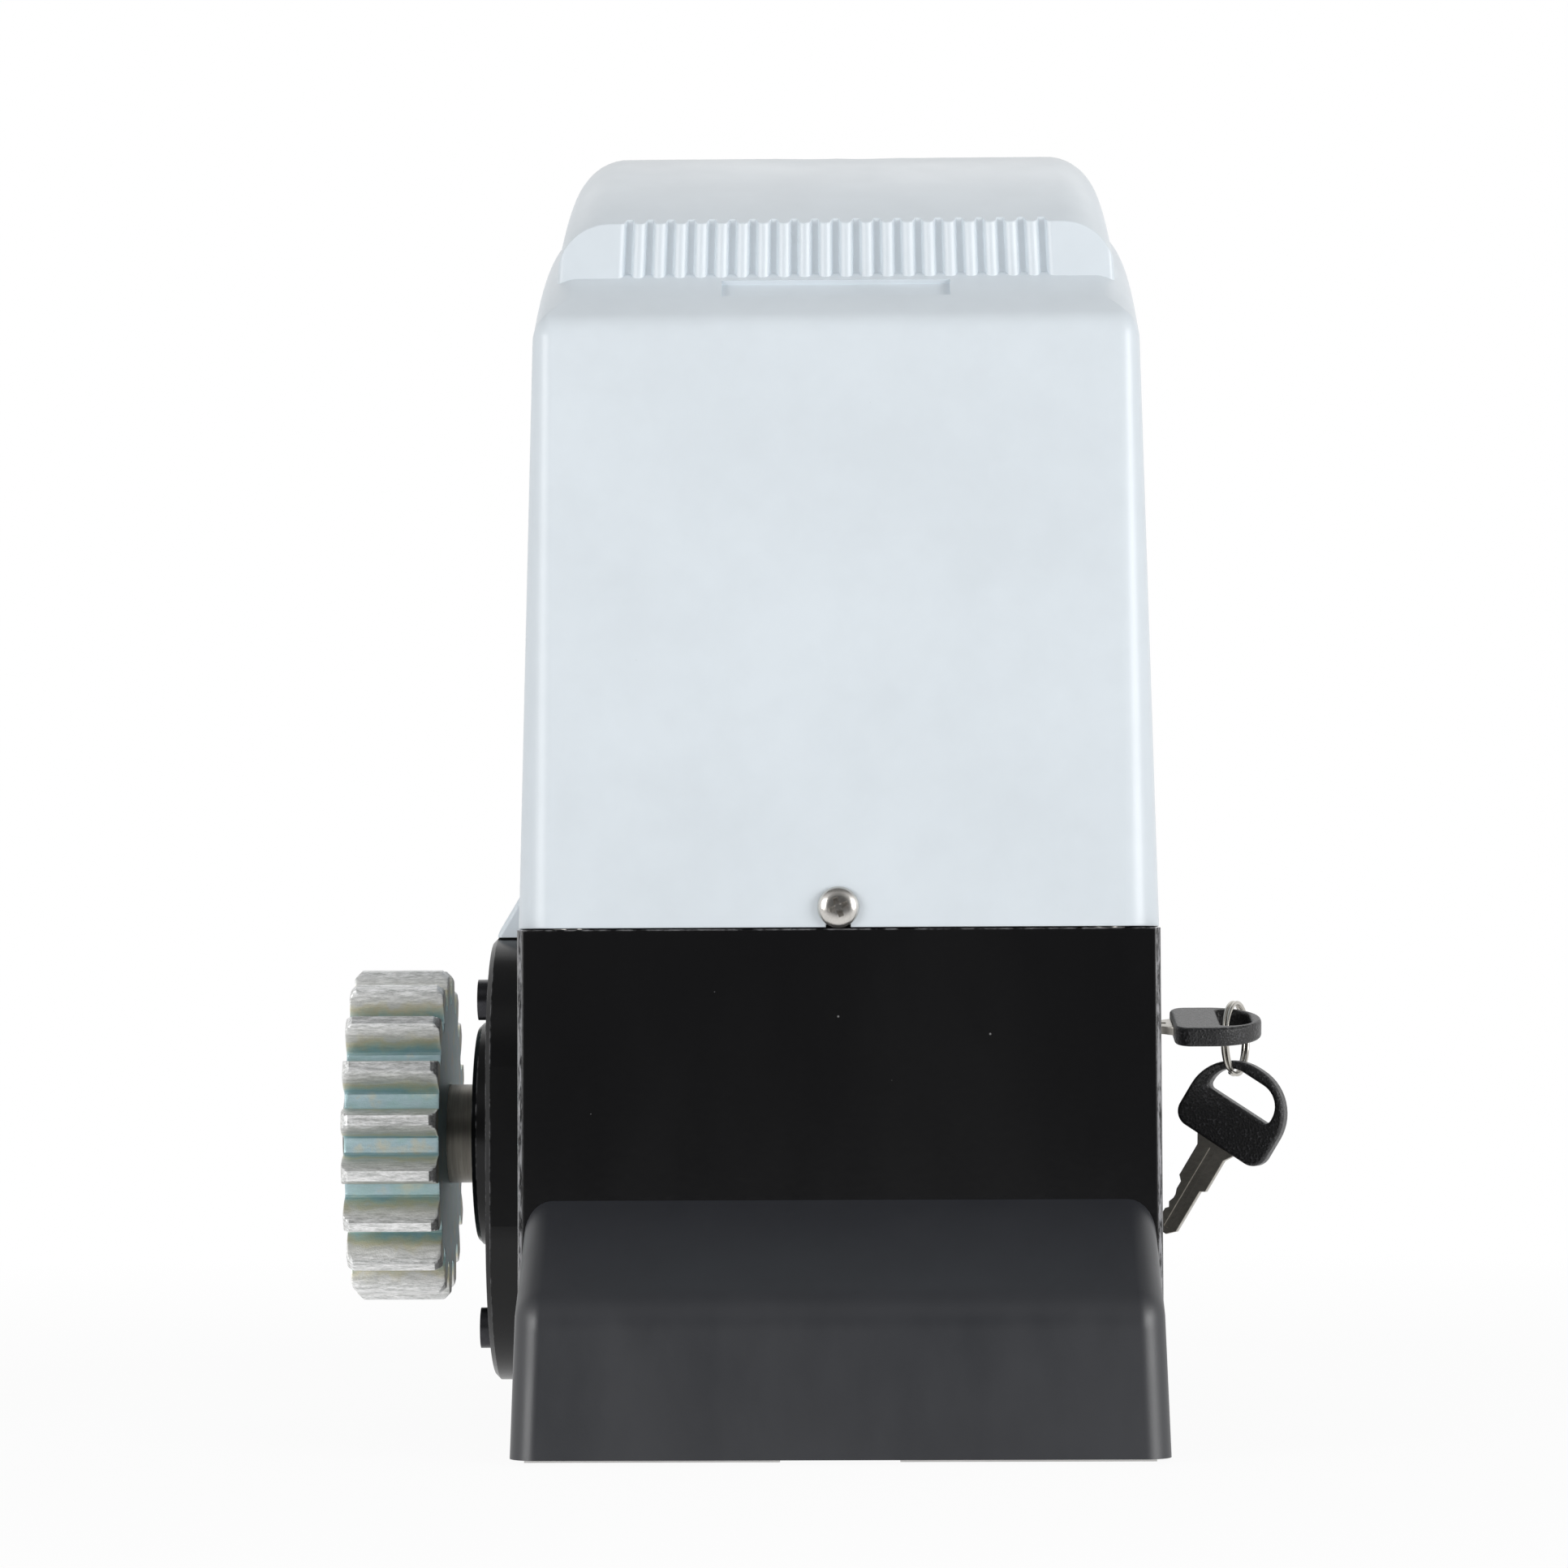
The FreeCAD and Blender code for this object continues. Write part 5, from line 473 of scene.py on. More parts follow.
# The plating's colours from a thin film to a thick one: silver, straw, green, blue, and straw again.
FILM_BANDS = ((0.0, (0.62, 0.61, 0.58)), (0.28, (0.66, 0.66, 0.62)), (0.42, (0.66, 0.62, 0.43)),
              (0.56, (0.56, 0.63, 0.53)), (0.7, (0.36, 0.58, 0.60)), (0.85, (0.42, 0.60, 0.66)),
              (1.0, (0.62, 0.60, 0.46)))


def make_plating_bloom():
    """Zinc plating: colour bands that follow the film's thickness, and fine crystals."""
    graph, given, made = start_group("Plating bloom", {"Film": 0.5, "Size": 9.0},
                                     {"Color": "Color", "Height": "Float"})
    where = graph.millimetres()
    drift = graph.noise(where, graph.one_over(given["Size"]), 3.0, 0.6)
    film = graph.plus(given["Film"], graph.times(graph.minus(drift, 0.5), 0.9))
    ramp = graph.add("ValToRGB", {"Fac": film})
    elements = ramp.color_ramp.elements
    while len(elements) < len(FILM_BANDS):
        elements.new(0.5)
    for element, (place, tone) in zip(elements, FILM_BANDS):
        element.position, element.color = place, (*tone, 1.0)
    graph.feed(made["Color"], ramp.outputs["Color"])
    crystals = graph.add("TexVoronoi", {"Vector": where, "Scale": 2.2})
    graph.feed(made["Height"], crystals.outputs["Distance"])


def make_groups():
    for maker in (make_orange_peel, make_specks, make_edge_wear_and_highlight, make_moulded_skin, make_tool_marks,
                  make_handling, make_plating_bloom):
        maker()


# ---------------------------------------------------------------- finishes

def start_finish(name, roughness=0.5, **sockets):
    """A new material with its shader, and the graph to add to."""
    finish = bpy.data.materials.new(name)
    finish.use_nodes = True
    graph = Graph(finish.node_tree)
    shader = graph.add("BsdfPrincipled", {"Roughness": roughness, **sockets})
    graph.add("OutputMaterial", {"Surface": shader.outputs["BSDF"]})
    return finish, graph, shader.inputs


def bump(graph, inputs, height, depth):
    """Raises a surface by a height between 0 and 1 times a depth in millimetres."""
    node = graph.add("Bump", {"Height": height, "Distance": depth * MM, "Strength": 1.0})
    graph.feed(inputs["Normal"], node.outputs["Normal"])


def shade_of(tone, factor=1.0):
    """A tone made darker or brighter, as a node's socket takes it."""
    return (*[min(1.0, channel * factor) for channel in tone], 1.0)


def varied(graph, value, low, high, tone, darker, brighter):
    """A tone that goes from darker to brighter as a value goes from low to high."""
    return graph.mix(graph.span(value, low, high), shade_of(tone, darker), shade_of(tone, brighter))


def marked(graph, mask, strength, under, over):
    """A colour with another over it where a mask is."""
    return graph.mix(graph.times(mask, strength), under, over)


def handled(graph, inputs, size, clean, smeared):
    """Gives a surface the roughness of a clean place, or a smeared one where hands touched it."""
    smear = graph.use("Handling", {"Size": size})["Smear"]
    graph.feed(inputs["Roughness"], graph.span(smear, 0.0, 1.0, clean, smeared))


def cover_plastic(tone):
    """The cover's pale moulding: satin, faintly clouded, with a few dark specks."""
    finish, graph, inputs = start_finish("cover_plastic", 0.34)
    skin = graph.use("Moulded skin", {"Grain": 0.5, "Cloud": 45.0})
    specks = graph.use("Specks", {"Spacing": 9.0, "Size": 0.03})["Mask"]
    tinted = varied(graph, skin["Tint"], 0.35, 0.65, tone, 0.965, 1.02)
    graph.feed(inputs["Base Color"], marked(graph, specks, 0.6, tinted, shade_of(tone, 0.45)))
    handled(graph, inputs, 30.0, 0.30, 0.38)
    bump(graph, inputs, skin["Height"], 0.006)
    return finish


def painted_edge_highlights(graph):
    """1 along the casing's four upright edges, in short runs: a painted highlight where the cast edges catch the
    light.
    """
    where = graph.parts(graph.millimetres())
    near = []
    for direction, size in zip("XY", BOXES["top_cover"][1].xy):
        face = size + CASING_STEP
        near.append(graph.span(graph.math("ABSOLUTE", where[direction]), face - 1.3, face - 0.9))
    fine = graph.noise(graph.vector("MULTIPLY", graph.millimetres(), (1.6, 1.6, 0.22)), 1.0, 4.0, 0.7)
    return graph.times(graph.times(*near), graph.span(fine, 0.42, 0.56))


# The light grey on the paint's edges stands for rubbed paint and for painted highlight.
DUST, WORN_PAINT_AND_HIGHLIGHT = (0.22, 0.22, 0.22, 1.0), (0.48, 0.48, 0.50, 1.0)
BARE_DARK, BARE_BRIGHT = (0.45, 0.44, 0.43, 1.0), (0.82, 0.81, 0.80, 1.0)


def black_paint(name, tone, peel, bare_height=None, roughness=0.16):
    """Gloss black paint over a casting, its edges painted lighter as rubbed paint and painted highlight, and bare
    where it is machined.
    """
    finish, graph, inputs = start_finish(name, roughness, **{"Specular IOR Level": 0.3})
    height = graph.use("Orange peel", {"Size": 1.8})["Height"]
    specks = graph.use("Specks", {"Spacing": 7.0, "Size": 0.045})["Mask"]
    # Painted highlight: this edge mask, with the upright edge runs, lightens the paint's edges, partly as rubbed
    # paint.
    wear = graph.use("Edge wear and highlight", {"Reach": 0.7, "Breakup": 0.52})["Mask"]
    if bare_height is not None:
        wear = graph.math("MAXIMUM", wear, painted_edge_highlights(graph))
    dusty = marked(graph, specks, 0.8, shade_of(tone), DUST)
    worn_and_highlit = marked(graph, wear, 0.7, dusty, WORN_PAINT_AND_HIGHLIGHT)
    smear = graph.use("Handling", {"Size": 40.0})["Smear"]
    dull = graph.span(smear, 0.0, 1.0, roughness, roughness + 0.10)
    if bare_height is None:
        graph.feed(inputs["Base Color"], worn_and_highlit)
        graph.feed(inputs["Roughness"], dull)
    else:
        level = graph.parts(graph.millimetres())["Z"]
        bare = graph.span(level, bare_height, bare_height - 0.1)
        marks = graph.use("Tool marks", {"Lines": (0.3, 5.0, 5.0)})
        machined = graph.mix(marks["Streak"], BARE_DARK, BARE_BRIGHT)
        graph.feed(inputs["Base Color"], graph.mix(bare, worn_and_highlit, machined))
        graph.feed(inputs["Roughness"], graph.span(bare, 0.0, 1.0, dull, 0.34))
        graph.feed(inputs["Metallic"], bare)
    bump(graph, inputs, height, peel * 0.05)
    return finish


def moulded(name, tone, roughness=0.4, grain=0.5, depth=0.02, cloud=35.0, variation=0.06, gloss=0.5):
    """Moulded plastic in one colour."""
    finish, graph, inputs = start_finish(name, roughness, **{"Specular IOR Level": gloss})
    skin = graph.use("Moulded skin", {"Grain": grain, "Cloud": cloud})
    wear = graph.use("Edge wear and highlight", {"Reach": 0.3, "Breakup": 0.6})["Mask"]
    tinted = varied(graph, skin["Tint"], 0.3, 0.7, tone, 1 - variation, 1 + variation)
    graph.feed(inputs["Base Color"], marked(graph, wear, 0.35, tinted, shade_of(tone, 1.9)))
    handled(graph, inputs, 22.0, roughness - 0.04, roughness + 0.06)
    bump(graph, inputs, skin["Height"], depth)
    return finish


def plastic_with_painted_glints(name, tone):
    """Black plastic with a coarse grain, its raised grain painted up to five times brighter as painted glints."""
    finish, graph, inputs = start_finish(name, 0.3)
    cells = graph.add("TexVoronoi", {"Vector": graph.millimetres(), "Scale": 1.7})
    fine = graph.noise(graph.millimetres(), 3.2, 3.0, 0.7)
    height = graph.plus(cells.outputs["Distance"], graph.times(fine, 0.7))
    # Painted glints: the raised cells are painted brighter than the plastic's own tone.
    graph.feed(inputs["Base Color"], varied(graph, height, 1.08, 1.24, tone, 1.0, 5.0))
    graph.feed(inputs["Roughness"], graph.span(fine, 0.3, 0.7, 0.24, 0.42))
    bump(graph, inputs, height, 0.12)
    return finish


def metal(name, tone, roughness=0.3, lines=(6.0, 0.25, 0.25), depth=0.004, contrast=0.16, wear=0.3):
    """Worked metal with tool marks, duller and brighter streaks, and rubbed edges."""
    finish, graph, inputs = start_finish(name, roughness, Metallic=1.0)
    marks = graph.use("Tool marks", {"Lines": lines})
    rubbed = graph.use("Edge wear and highlight", {"Reach": 0.4, "Breakup": 0.45})["Mask"]
    streaked = varied(graph, marks["Streak"], 0.3, 0.7, tone, 1 - contrast, 1 + contrast * 0.6)
    graph.feed(inputs["Base Color"], marked(graph, rubbed, wear, streaked, shade_of(tone, 1.35)))
    handled(graph, inputs, 12.0, roughness - 0.05, roughness + 0.1)
    bump(graph, inputs, marks["Height"], depth)
    return finish


def zinc_plating(tone, bloom, middle, root, tip):
    """The pinion's plating: bare bright lands on the tips, and a rainbow bloom in the roots."""
    finish, graph, inputs = start_finish("zinc_plating", 0.44, Metallic=0.8)
    from_axis = graph.vector("SUBTRACT", graph.millimetres(), (0.0, 0.0, middle))
    radius = graph.vector("LENGTH", graph.vector("MULTIPLY", from_axis, (0.0, 1.0, 1.0)))
    depth = graph.span(radius, tip, root)
    film = graph.span(depth, 0.0, 1.0, 0.05, 0.78)
    plating = graph.use("Plating bloom", {"Film": film, "Size": 7.0})
    marks = graph.use("Tool marks", {"Lines": (0.9, 6.0, 6.0)})
    silver = varied(graph, marks["Streak"], 0.36, 0.62, tone, 0.56, 1.25)
    hazed = marked(graph, graph.span(depth, 0.06, 0.5), bloom, silver, plating["Color"])
    wear = graph.use("Edge wear and highlight", {"Reach": 0.5, "Breakup": 0.4})["Mask"]
    graph.feed(inputs["Base Color"], marked(graph, wear, 0.5, hazed, (0.85, 0.86, 0.86, 1.0)))
    graph.feed(inputs["Roughness"], graph.span(marks["Streak"], 0.3, 0.7, 0.34, 0.54))
    height = graph.plus(graph.times(plating["Height"], 0.5), marks["Height"])
    bump(graph, inputs, height, 0.05)
    return finish


def layers(graph, closeness):
    """0 to 1 and back with height, once for each layer of wire or sheet."""
    level = graph.parts(graph.millimetres())["Z"]
    return graph.math("ABSOLUTE", graph.math("SINE", graph.times(level, closeness)))


def windings():
    """Enamelled copper wound in rows, painted darker between the rows as painted shade."""
    finish, graph, inputs = start_finish("copper_wire", 0.28, Metallic=1.0)
    row = layers(graph, 3.9)
    marks = graph.use("Tool marks", {"Lines": (0.2, 0.2, 4.0)})
    # Painted shade: the copper goes dark brown between the wire rows.
    graph.feed(inputs["Base Color"], graph.mix(graph.times(row, marks["Streak"]),
                                               (0.28, 0.09, 0.04, 1.0), (0.72, 0.32, 0.16, 1.0)))
    bump(graph, inputs, row, 0.12)
    return finish


def laminations(name, tone):
    """A stack of thin punched sheets."""
    finish, graph, inputs = start_finish(name, 0.42, Metallic=1.0)
    sheet_edge = layers(graph, 6.2)
    marks = graph.use("Tool marks", {"Lines": (0.4, 0.4, 2.0)})
    share = graph.times(sheet_edge, graph.span(marks["Streak"], 0.3, 0.7, 0.5, 1.0))
    graph.feed(inputs["Base Color"], graph.mix(share, shade_of(tone, 0.55), shade_of(tone, 1.1)))
    bump(graph, inputs, sheet_edge, 0.05)
    return finish


def circuit_board():
    """Green solder mask over copper tracks."""
    finish, graph, inputs = start_finish("board_green", 0.26)
    where = graph.vector("MULTIPLY", graph.millimetres(), (0.42, 0.0, 0.42))
    cells = graph.add("TexVoronoi", {"Vector": where, "Scale": 0.55}, distance="MANHATTAN")
    tracks = graph.span(cells.outputs["Distance"], 0.50, 0.46)
    specks = graph.use("Specks", {"Spacing": 3.0, "Size": 0.16})["Mask"]
    mask = graph.mix(tracks, (0.010, 0.10, 0.035, 1.0), (0.016, 0.16, 0.06, 1.0))
    graph.feed(inputs["Base Color"], graph.mix(specks, mask, (0.55, 0.56, 0.56, 1.0)))
    bump(graph, inputs, tracks, 0.03)
    return finish


def fuse_glass():
    """The fuse's clear tube between its caps."""
    finish, graph, inputs = start_finish("fuse_glass", 0.05, **{"IOR": 1.5, "Transmission Weight": 0.9})
    haze = graph.use("Handling", {"Size": 3.0})["Smear"]
    graph.feed(inputs["Base Color"], graph.mix(haze, (0.86, 0.88, 0.87, 1.0), (0.95, 0.96, 0.95, 1.0)))
    graph.feed(inputs["Roughness"], graph.span(haze, 0.0, 1.0, 0.03, 0.14))
    return finish


def make_finishes(scene):
    """Every finish, by the slot that takes it."""
    cover, casing = scene.gate_cover, scene.gate_casing
    drive, keys = scene.gate_drive, scene.gate_keys
    module = in_mm(drive.module)
    middle = in_mm(frame_axis("output_spin").z)
    pitch_radius = module * drive.teeth / 2
    bare = in_mm(casing.bare_height)
    round_x, round_z = (0.25, 4.0, 4.0), (4.0, 4.0, 0.25)
    return {
        "casing_black": black_paint("casing_paint", casing.paint, casing.peel, bare),
        "flange_black": black_paint("flange_paint", casing.paint, casing.peel * 0.6, None, 0.2),
        "cover_grey": cover_plastic(cover.tone),
        "foot_cover_black": moulded("foot_cover_plastic", casing.cover_tone, 0.38, 0.6, 0.012, 50.0, 0.10,
                                    0.8),
        "zinc_steel": zinc_plating(drive.zinc, drive.bloom, middle, pitch_radius - 1.25 * module,
                                   pitch_radius + module),
        "cast_aluminium": metal("cast_aluminium", (0.58, 0.59, 0.60), 0.5, (1.5, 1.5, 1.5), 0.05, 0.14),
        # Painted shade: the steel's tone is kept dark because the output shaft sits in shadow behind the pinion.
        "machined_steel": metal("machined_steel", (0.17, 0.16, 0.14), 0.36, (7.0, 0.2, 0.2), 0.01, 0.3),
        "bronze": metal("bronze", (0.60, 0.38, 0.14), 0.30, round_x, 0.008),
        "bearing_steel": metal("bearing_steel", (0.62, 0.62, 0.61), 0.16, round_x, 0.003),
        "screw_steel": metal("screw_steel", (0.62, 0.60, 0.57), 0.20, (2.0, 2.0, 2.0), 0.006, 0.12, 0.6),
        "spring_steel": metal("spring_steel", (0.16, 0.16, 0.17), 0.35, round_x, 0.004),
        "rubber_black": moulded("rubber_black", (0.02, 0.02, 0.02), 0.62, 0.3, 0.02),
        "lamination_steel": laminations("lamination_steel", (0.34, 0.34, 0.35)),
        "copper_wire": windings(),
        "rotor_aluminium": metal("rotor_aluminium", (0.66, 0.67, 0.68), 0.38, round_z, 0.012),
        "capacitor_white": moulded("capacitor_white", (0.78, 0.78, 0.76), 0.34, 0.8, 0.01),
        "board_green": circuit_board(),
        "terminal_green": moulded("terminal_green", (0.02, 0.24, 0.09), 0.42, 0.4, 0.01),
        "relay_black": moulded("relay_black", (0.016, 0.016, 0.018), 0.4, 0.4, 0.012),
        "fuse_glass": fuse_glass(),
        "nylon_white": moulded("nylon_white", (0.74, 0.73, 0.68), 0.5, 0.5, 0.01),
        "plug_brass": metal("plug_brass", (0.68, 0.50, 0.22), 0.26, round_z, 0.01),
        "lock_chrome": metal("lock_chrome", (0.72, 0.72, 0.73), 0.12, round_x, 0.003, 0.08),
        "key_steel": metal("key_steel", keys.blade_tone, 0.30, (0.5, 5.0, 5.0), 0.012, 0.22, 0.5),
        "key_bow_black": plastic_with_painted_glints("key_bow_black", keys.bow_tone),
        "black_steel": metal("black_steel", (0.05, 0.05, 0.055), 0.3, (3.0, 3.0, 3.0), 0.01, 0.2),
        "zinc_sheet": metal("zinc_sheet", (0.60, 0.62, 0.62), 0.36, (0.4, 4.0, 0.4), 0.01, 0.2),
        # The ring's steel tone is set darker, partly as painted shade for its shadowed wire.
        "ring_steel": metal("ring_steel", (0.50, 0.48, 0.44), 0.20, (2.0, 2.0, 2.0), 0.004, 0.12),
    }


FINISHES = {}


def finish_of(slot):
    """The finish of a slot, made the first time that it is asked for."""
    if not FINISHES:
        make_groups()
        FINISHES.update(make_finishes(bpy.context.scene))
    return FINISHES[slot]


def frame_axis(joint):
    """A point on a joint's axis, in metres."""
    return Vector(next(item["pos_m"] for item in frame["joints"] if item["name"] == joint))


# ---------------------------------------------------------------- the moulded cover

WALL_OUT = 0.5        # the walls stand out past the plain solid's
RIM_ROUND = 0.35      # rounding of the rim
CORE_RIM_ROUND = 0.1
STEPS_UP, STEPS_ROUND = 14, 14
# How far the shoulder runs on under the crown, and where it ends.
INWARD_RUN, RUN_END, SUNK = (1.5, 3.5, 6.0, 9.0, 13.0, 17.0, 21.0), 23.0, 6.0

CROWN_CORNER = 1.5    # upright corners of the crown
CROWN_RIDGE = 0.6     # rounding between the ribbed wall and the roof
CROWN_ROOT = 12       # the crown starts this far under the shoulder's surface
SCREW_PROUD = 0.6     # the top screw stands out of the roof
# Distances in from the crown's edge at which its roof has rows of points, and along its wall.
ROOF_STEPS = (0.03, 0.12, 0.28, 0.48, 0.75, 1.15, 1.7, 2.4, 3.2, 4.2, 5.5, 7.0, 8.7, 10.5, 14.0, 20.0,
              28.0, 38.0, 50.0)
WALL_STEPS = (0.0, 0.3, 0.7, 1.2, 1.9, 2.8, 3.9, 5.2, 6.6, 8.2, 9.9)
CORE_WALL_STEPS = (-40.0, -20.0, 0.0, 20.0, 40.0)
GROOVE_FLOOR, GROOVE_WALL = 0.75, 1.2      # half the width of a groove's floor and of its mouth
GROOVE_STEPS, LAND_STEPS = 4, (0.15, 0.4, 0.75, 1.05)
LAND_CROWNING = 0.3   # how far a rib's land is crowned, as a share of the groove's depth
GROOVE_RUNOUT = 3.0   # how far the grooves run on into the roof

FAIRING_HALF_WIDTH, FAIRING_RISE, FAIRING_ROUND = 31.0, 19.0, 1.4
FAIRING_DROP = 0.8    # the fairing reaches down below the cover's rim
NOTCH_HALF_WIDTH, NOTCH_RISE, NOTCH_ROUND = 2.9, 4.7, 0.3
RECESS_SIZES, RECESS_TILT, RECESS_GAP = (54.0, 8.2, 2.4), math.radians(34.5), 1.6


def perimeter(corner_steps, cross_steps, long_steps):
    """Places round a rectangle, each the share of the half sizes where it stands and the way it faces."""
    places = []
    corners = ((1, 1), (-1, 1), (-1, -1), (1, -1))
    for quarter, (across, along) in enumerate(corners):
        for step in range(corner_steps + 1):
            turn = math.radians(90 * (quarter + step / corner_steps))
            places.append((across, along, math.cos(turn), math.sin(turn)))
        count = cross_steps if quarter % 2 == 0 else long_steps
        for step in range(1, count):
            share = 1 - 2 * step / count
            if quarter % 2 == 0:
                places.append((across * share, along, 0.0, float(along)))
            else:
                places.append((across, along * share, float(across), 0.0))
    return places


def stand(place, half_width, half_length, radius):
    """Where a place falls on a rectangle of these half sizes and corner radius."""
    across, along, face_x, face_y = place
    return (across * (half_width - radius) + face_x * radius,
            along * (half_length - radius) + face_y * radius)


def arch_height(y, radius, crest):
    return crest - radius + math.sqrt(radius ** 2 - y ** 2)


def arch_fall(y, radius):
    """How steeply an arch falls at y."""
    return abs(y) / math.sqrt(radius ** 2 - y ** 2)


def round_drop(inward, radius, rise=0.0):
    """How far a rounded edge lies under the sharp one, at a distance in from the wall.

    rise is the slope of the roof that meets the wall there.
    """
    spread = math.pi / 2 - math.atan(rise)
    if inward >= radius * (1 - math.cos(spread)):
        return 0.0
    turn = math.acos(1 - inward / radius)
    reach = radius * math.tan(spread / 2)
    return max(0.0, reach - radius * math.sin(turn) + rise * inward)


def shoulder_rows(cover, inset, base, edge):
    """Rows of points over the cover's lower hull, from its rim up to under the crown."""
    rim = BOXES["top_cover"][0].z
    half_width, half_length = [size - inset for size in cover_half_sizes()]
    lean = math.tan(cover.draft)
    radius, crest = in_mm(cover.shoulder_radius) - inset, in_mm(cover.shoulder_crest) - inset
    corner, end_round = in_mm(cover.corner) - inset, in_mm(cover.top_round) - inset
    side_round = in_mm(cover.side_round) - inset
    places = perimeter(8, 24, 48)

    def at(place, inward):
        return stand(place, half_width - inward, half_length - inward, max(corner - inward, 0.3))

    # The wall's top and the edge's radius at each place, found step by step because the wall leans.
    tops = []
    for place in places:
        top = crest
        for _ in range(4):
            x, y = at(place, (top - rim) * lean)
            rise = arch_fall(y, radius) * abs(place[3])
            rounding = end_round + (side_round - end_round) * (1 - (y / half_length) ** 2)
            top = arch_height(y, radius, crest) - round_drop(0.0, rounding, rise)
        tops.append((top, rounding))
    rows = []
    for inward, above in ((edge, 0.0), (0.3 * edge, 0.3 * edge), (0.0, edge)):
        rows.append([(*at(place, inward + (base - rim) * lean), base + above) for place in places])
    for step in range(1, STEPS_UP + 1):
        share = step / STEPS_UP
        heights = [base + edge + (top - base - edge) * share for top, rounding in tops]
        rows.append([(*at(place, (height - rim) * lean), height)
                     for place, height in zip(places, heights)])
    steps = [(1 - math.cos(math.radians(90 * step / STEPS_ROUND)), 0.0)
             for step in range(1, STEPS_ROUND + 1)]
    steps += [(1.0, beyond) for beyond in INWARD_RUN]
    for share, beyond in steps:
        row = []
        for place, (top, rounding) in zip(places, tops):
            inward = rounding * share + beyond
            x, y = at(place, (top - rim) * lean + inward)
            rise = arch_fall(y, radius) * abs(place[3])
            row.append((x, y, arch_height(y, radius, crest) - round_drop(inward, rounding, rise)))
        rows.append(row)
    sunk = arch_height(in_mm(cover.crown_length), radius, crest) - SUNK
    rows.append([(*at(place, (top - rim) * lean + rounding + RUN_END), sunk)
                 for place, (top, rounding) in zip(places, tops)])
    return rows


def cover_half_sizes():
    """Half the cover's width and length at its rim, without the fairing."""
    high = BOXES["top_cover"][1]
    return high.x + WALL_OUT, high.y


def groove_depth(across, cover):
    """How deep the ribbed wall is cut at a distance from its middle: soft crowned ribs, tight grooves."""
    pitch, count = in_mm(cover.rib_pitch), cover.rib_count
    if abs(across) > count * pitch / 2:
        return 0.0
    off = abs((across / pitch + (count - 1) / 2) % 1.0)
    off = min(off, 1 - off) * pitch
    if off >= GROOVE_WALL:
        land = 1 - (off - GROOVE_WALL) / (pitch / 2 - GROOVE_WALL)
        return in_mm(cover.rib_depth) * LAND_CROWNING * land ** 2
    climb = max(0.0, (off - GROOVE_FLOOR) / (GROOVE_WALL - GROOVE_FLOOR))
    return in_mm(cover.rib_depth) * (1 - (1 - LAND_CROWNING) * climb ** 2 * (3 - 2 * climb))


def crown_outline(cover, ribbed):
    """Places round the crown: across, along, the way each faces, and whether it is on an end wall."""
    half = in_mm(cover.crown_width)
    flat = half - CROWN_CORNER
    pitch, count = in_mm(cover.rib_pitch), cover.rib_count
    wall = [flat - reach for reach in WALL_STEPS]
    if ribbed:
        slope = [GROOVE_FLOOR + (GROOVE_WALL - GROOVE_FLOOR) * step / GROOVE_STEPS
                 for step in range(GROOVE_STEPS + 1)]
        side = slope + [GROOVE_WALL + reach for reach in LAND_STEPS]
        offsets = [-reach for reach in reversed(side)] + [0.0] + side + [pitch / 2]
        middle = [(number - (count - 1) / 2) * pitch + off for number in range(count) for off in offsets]
        middle = [-count * pitch / 2] + middle
    else:
        middle = list(CORE_WALL_STEPS)
    across = sorted(set(round(value, 4) for value in wall + middle + [-value for value in wall]))
    places = []

    def turn_corner(side, end, start):
        for step in range(1, 6):
            turn = math.radians(start + 90 * step / 6)
            places.append((-side * flat, end, math.cos(turn), math.sin(turn), True))

    for side in (1, -1):
        for value in reversed(across) if side > 0 else across:
            places.append((value, side, 0.0, float(side), True))
        turn_corner(side, side, 90 if side > 0 else 270)
        for step in range(41):
            share = side * (1 - 2 * step / 40)
            places.append((-side * half, share, float(-side), 0.0, False))
        turn_corner(side, -side, 180 if side > 0 else 0)
    return places


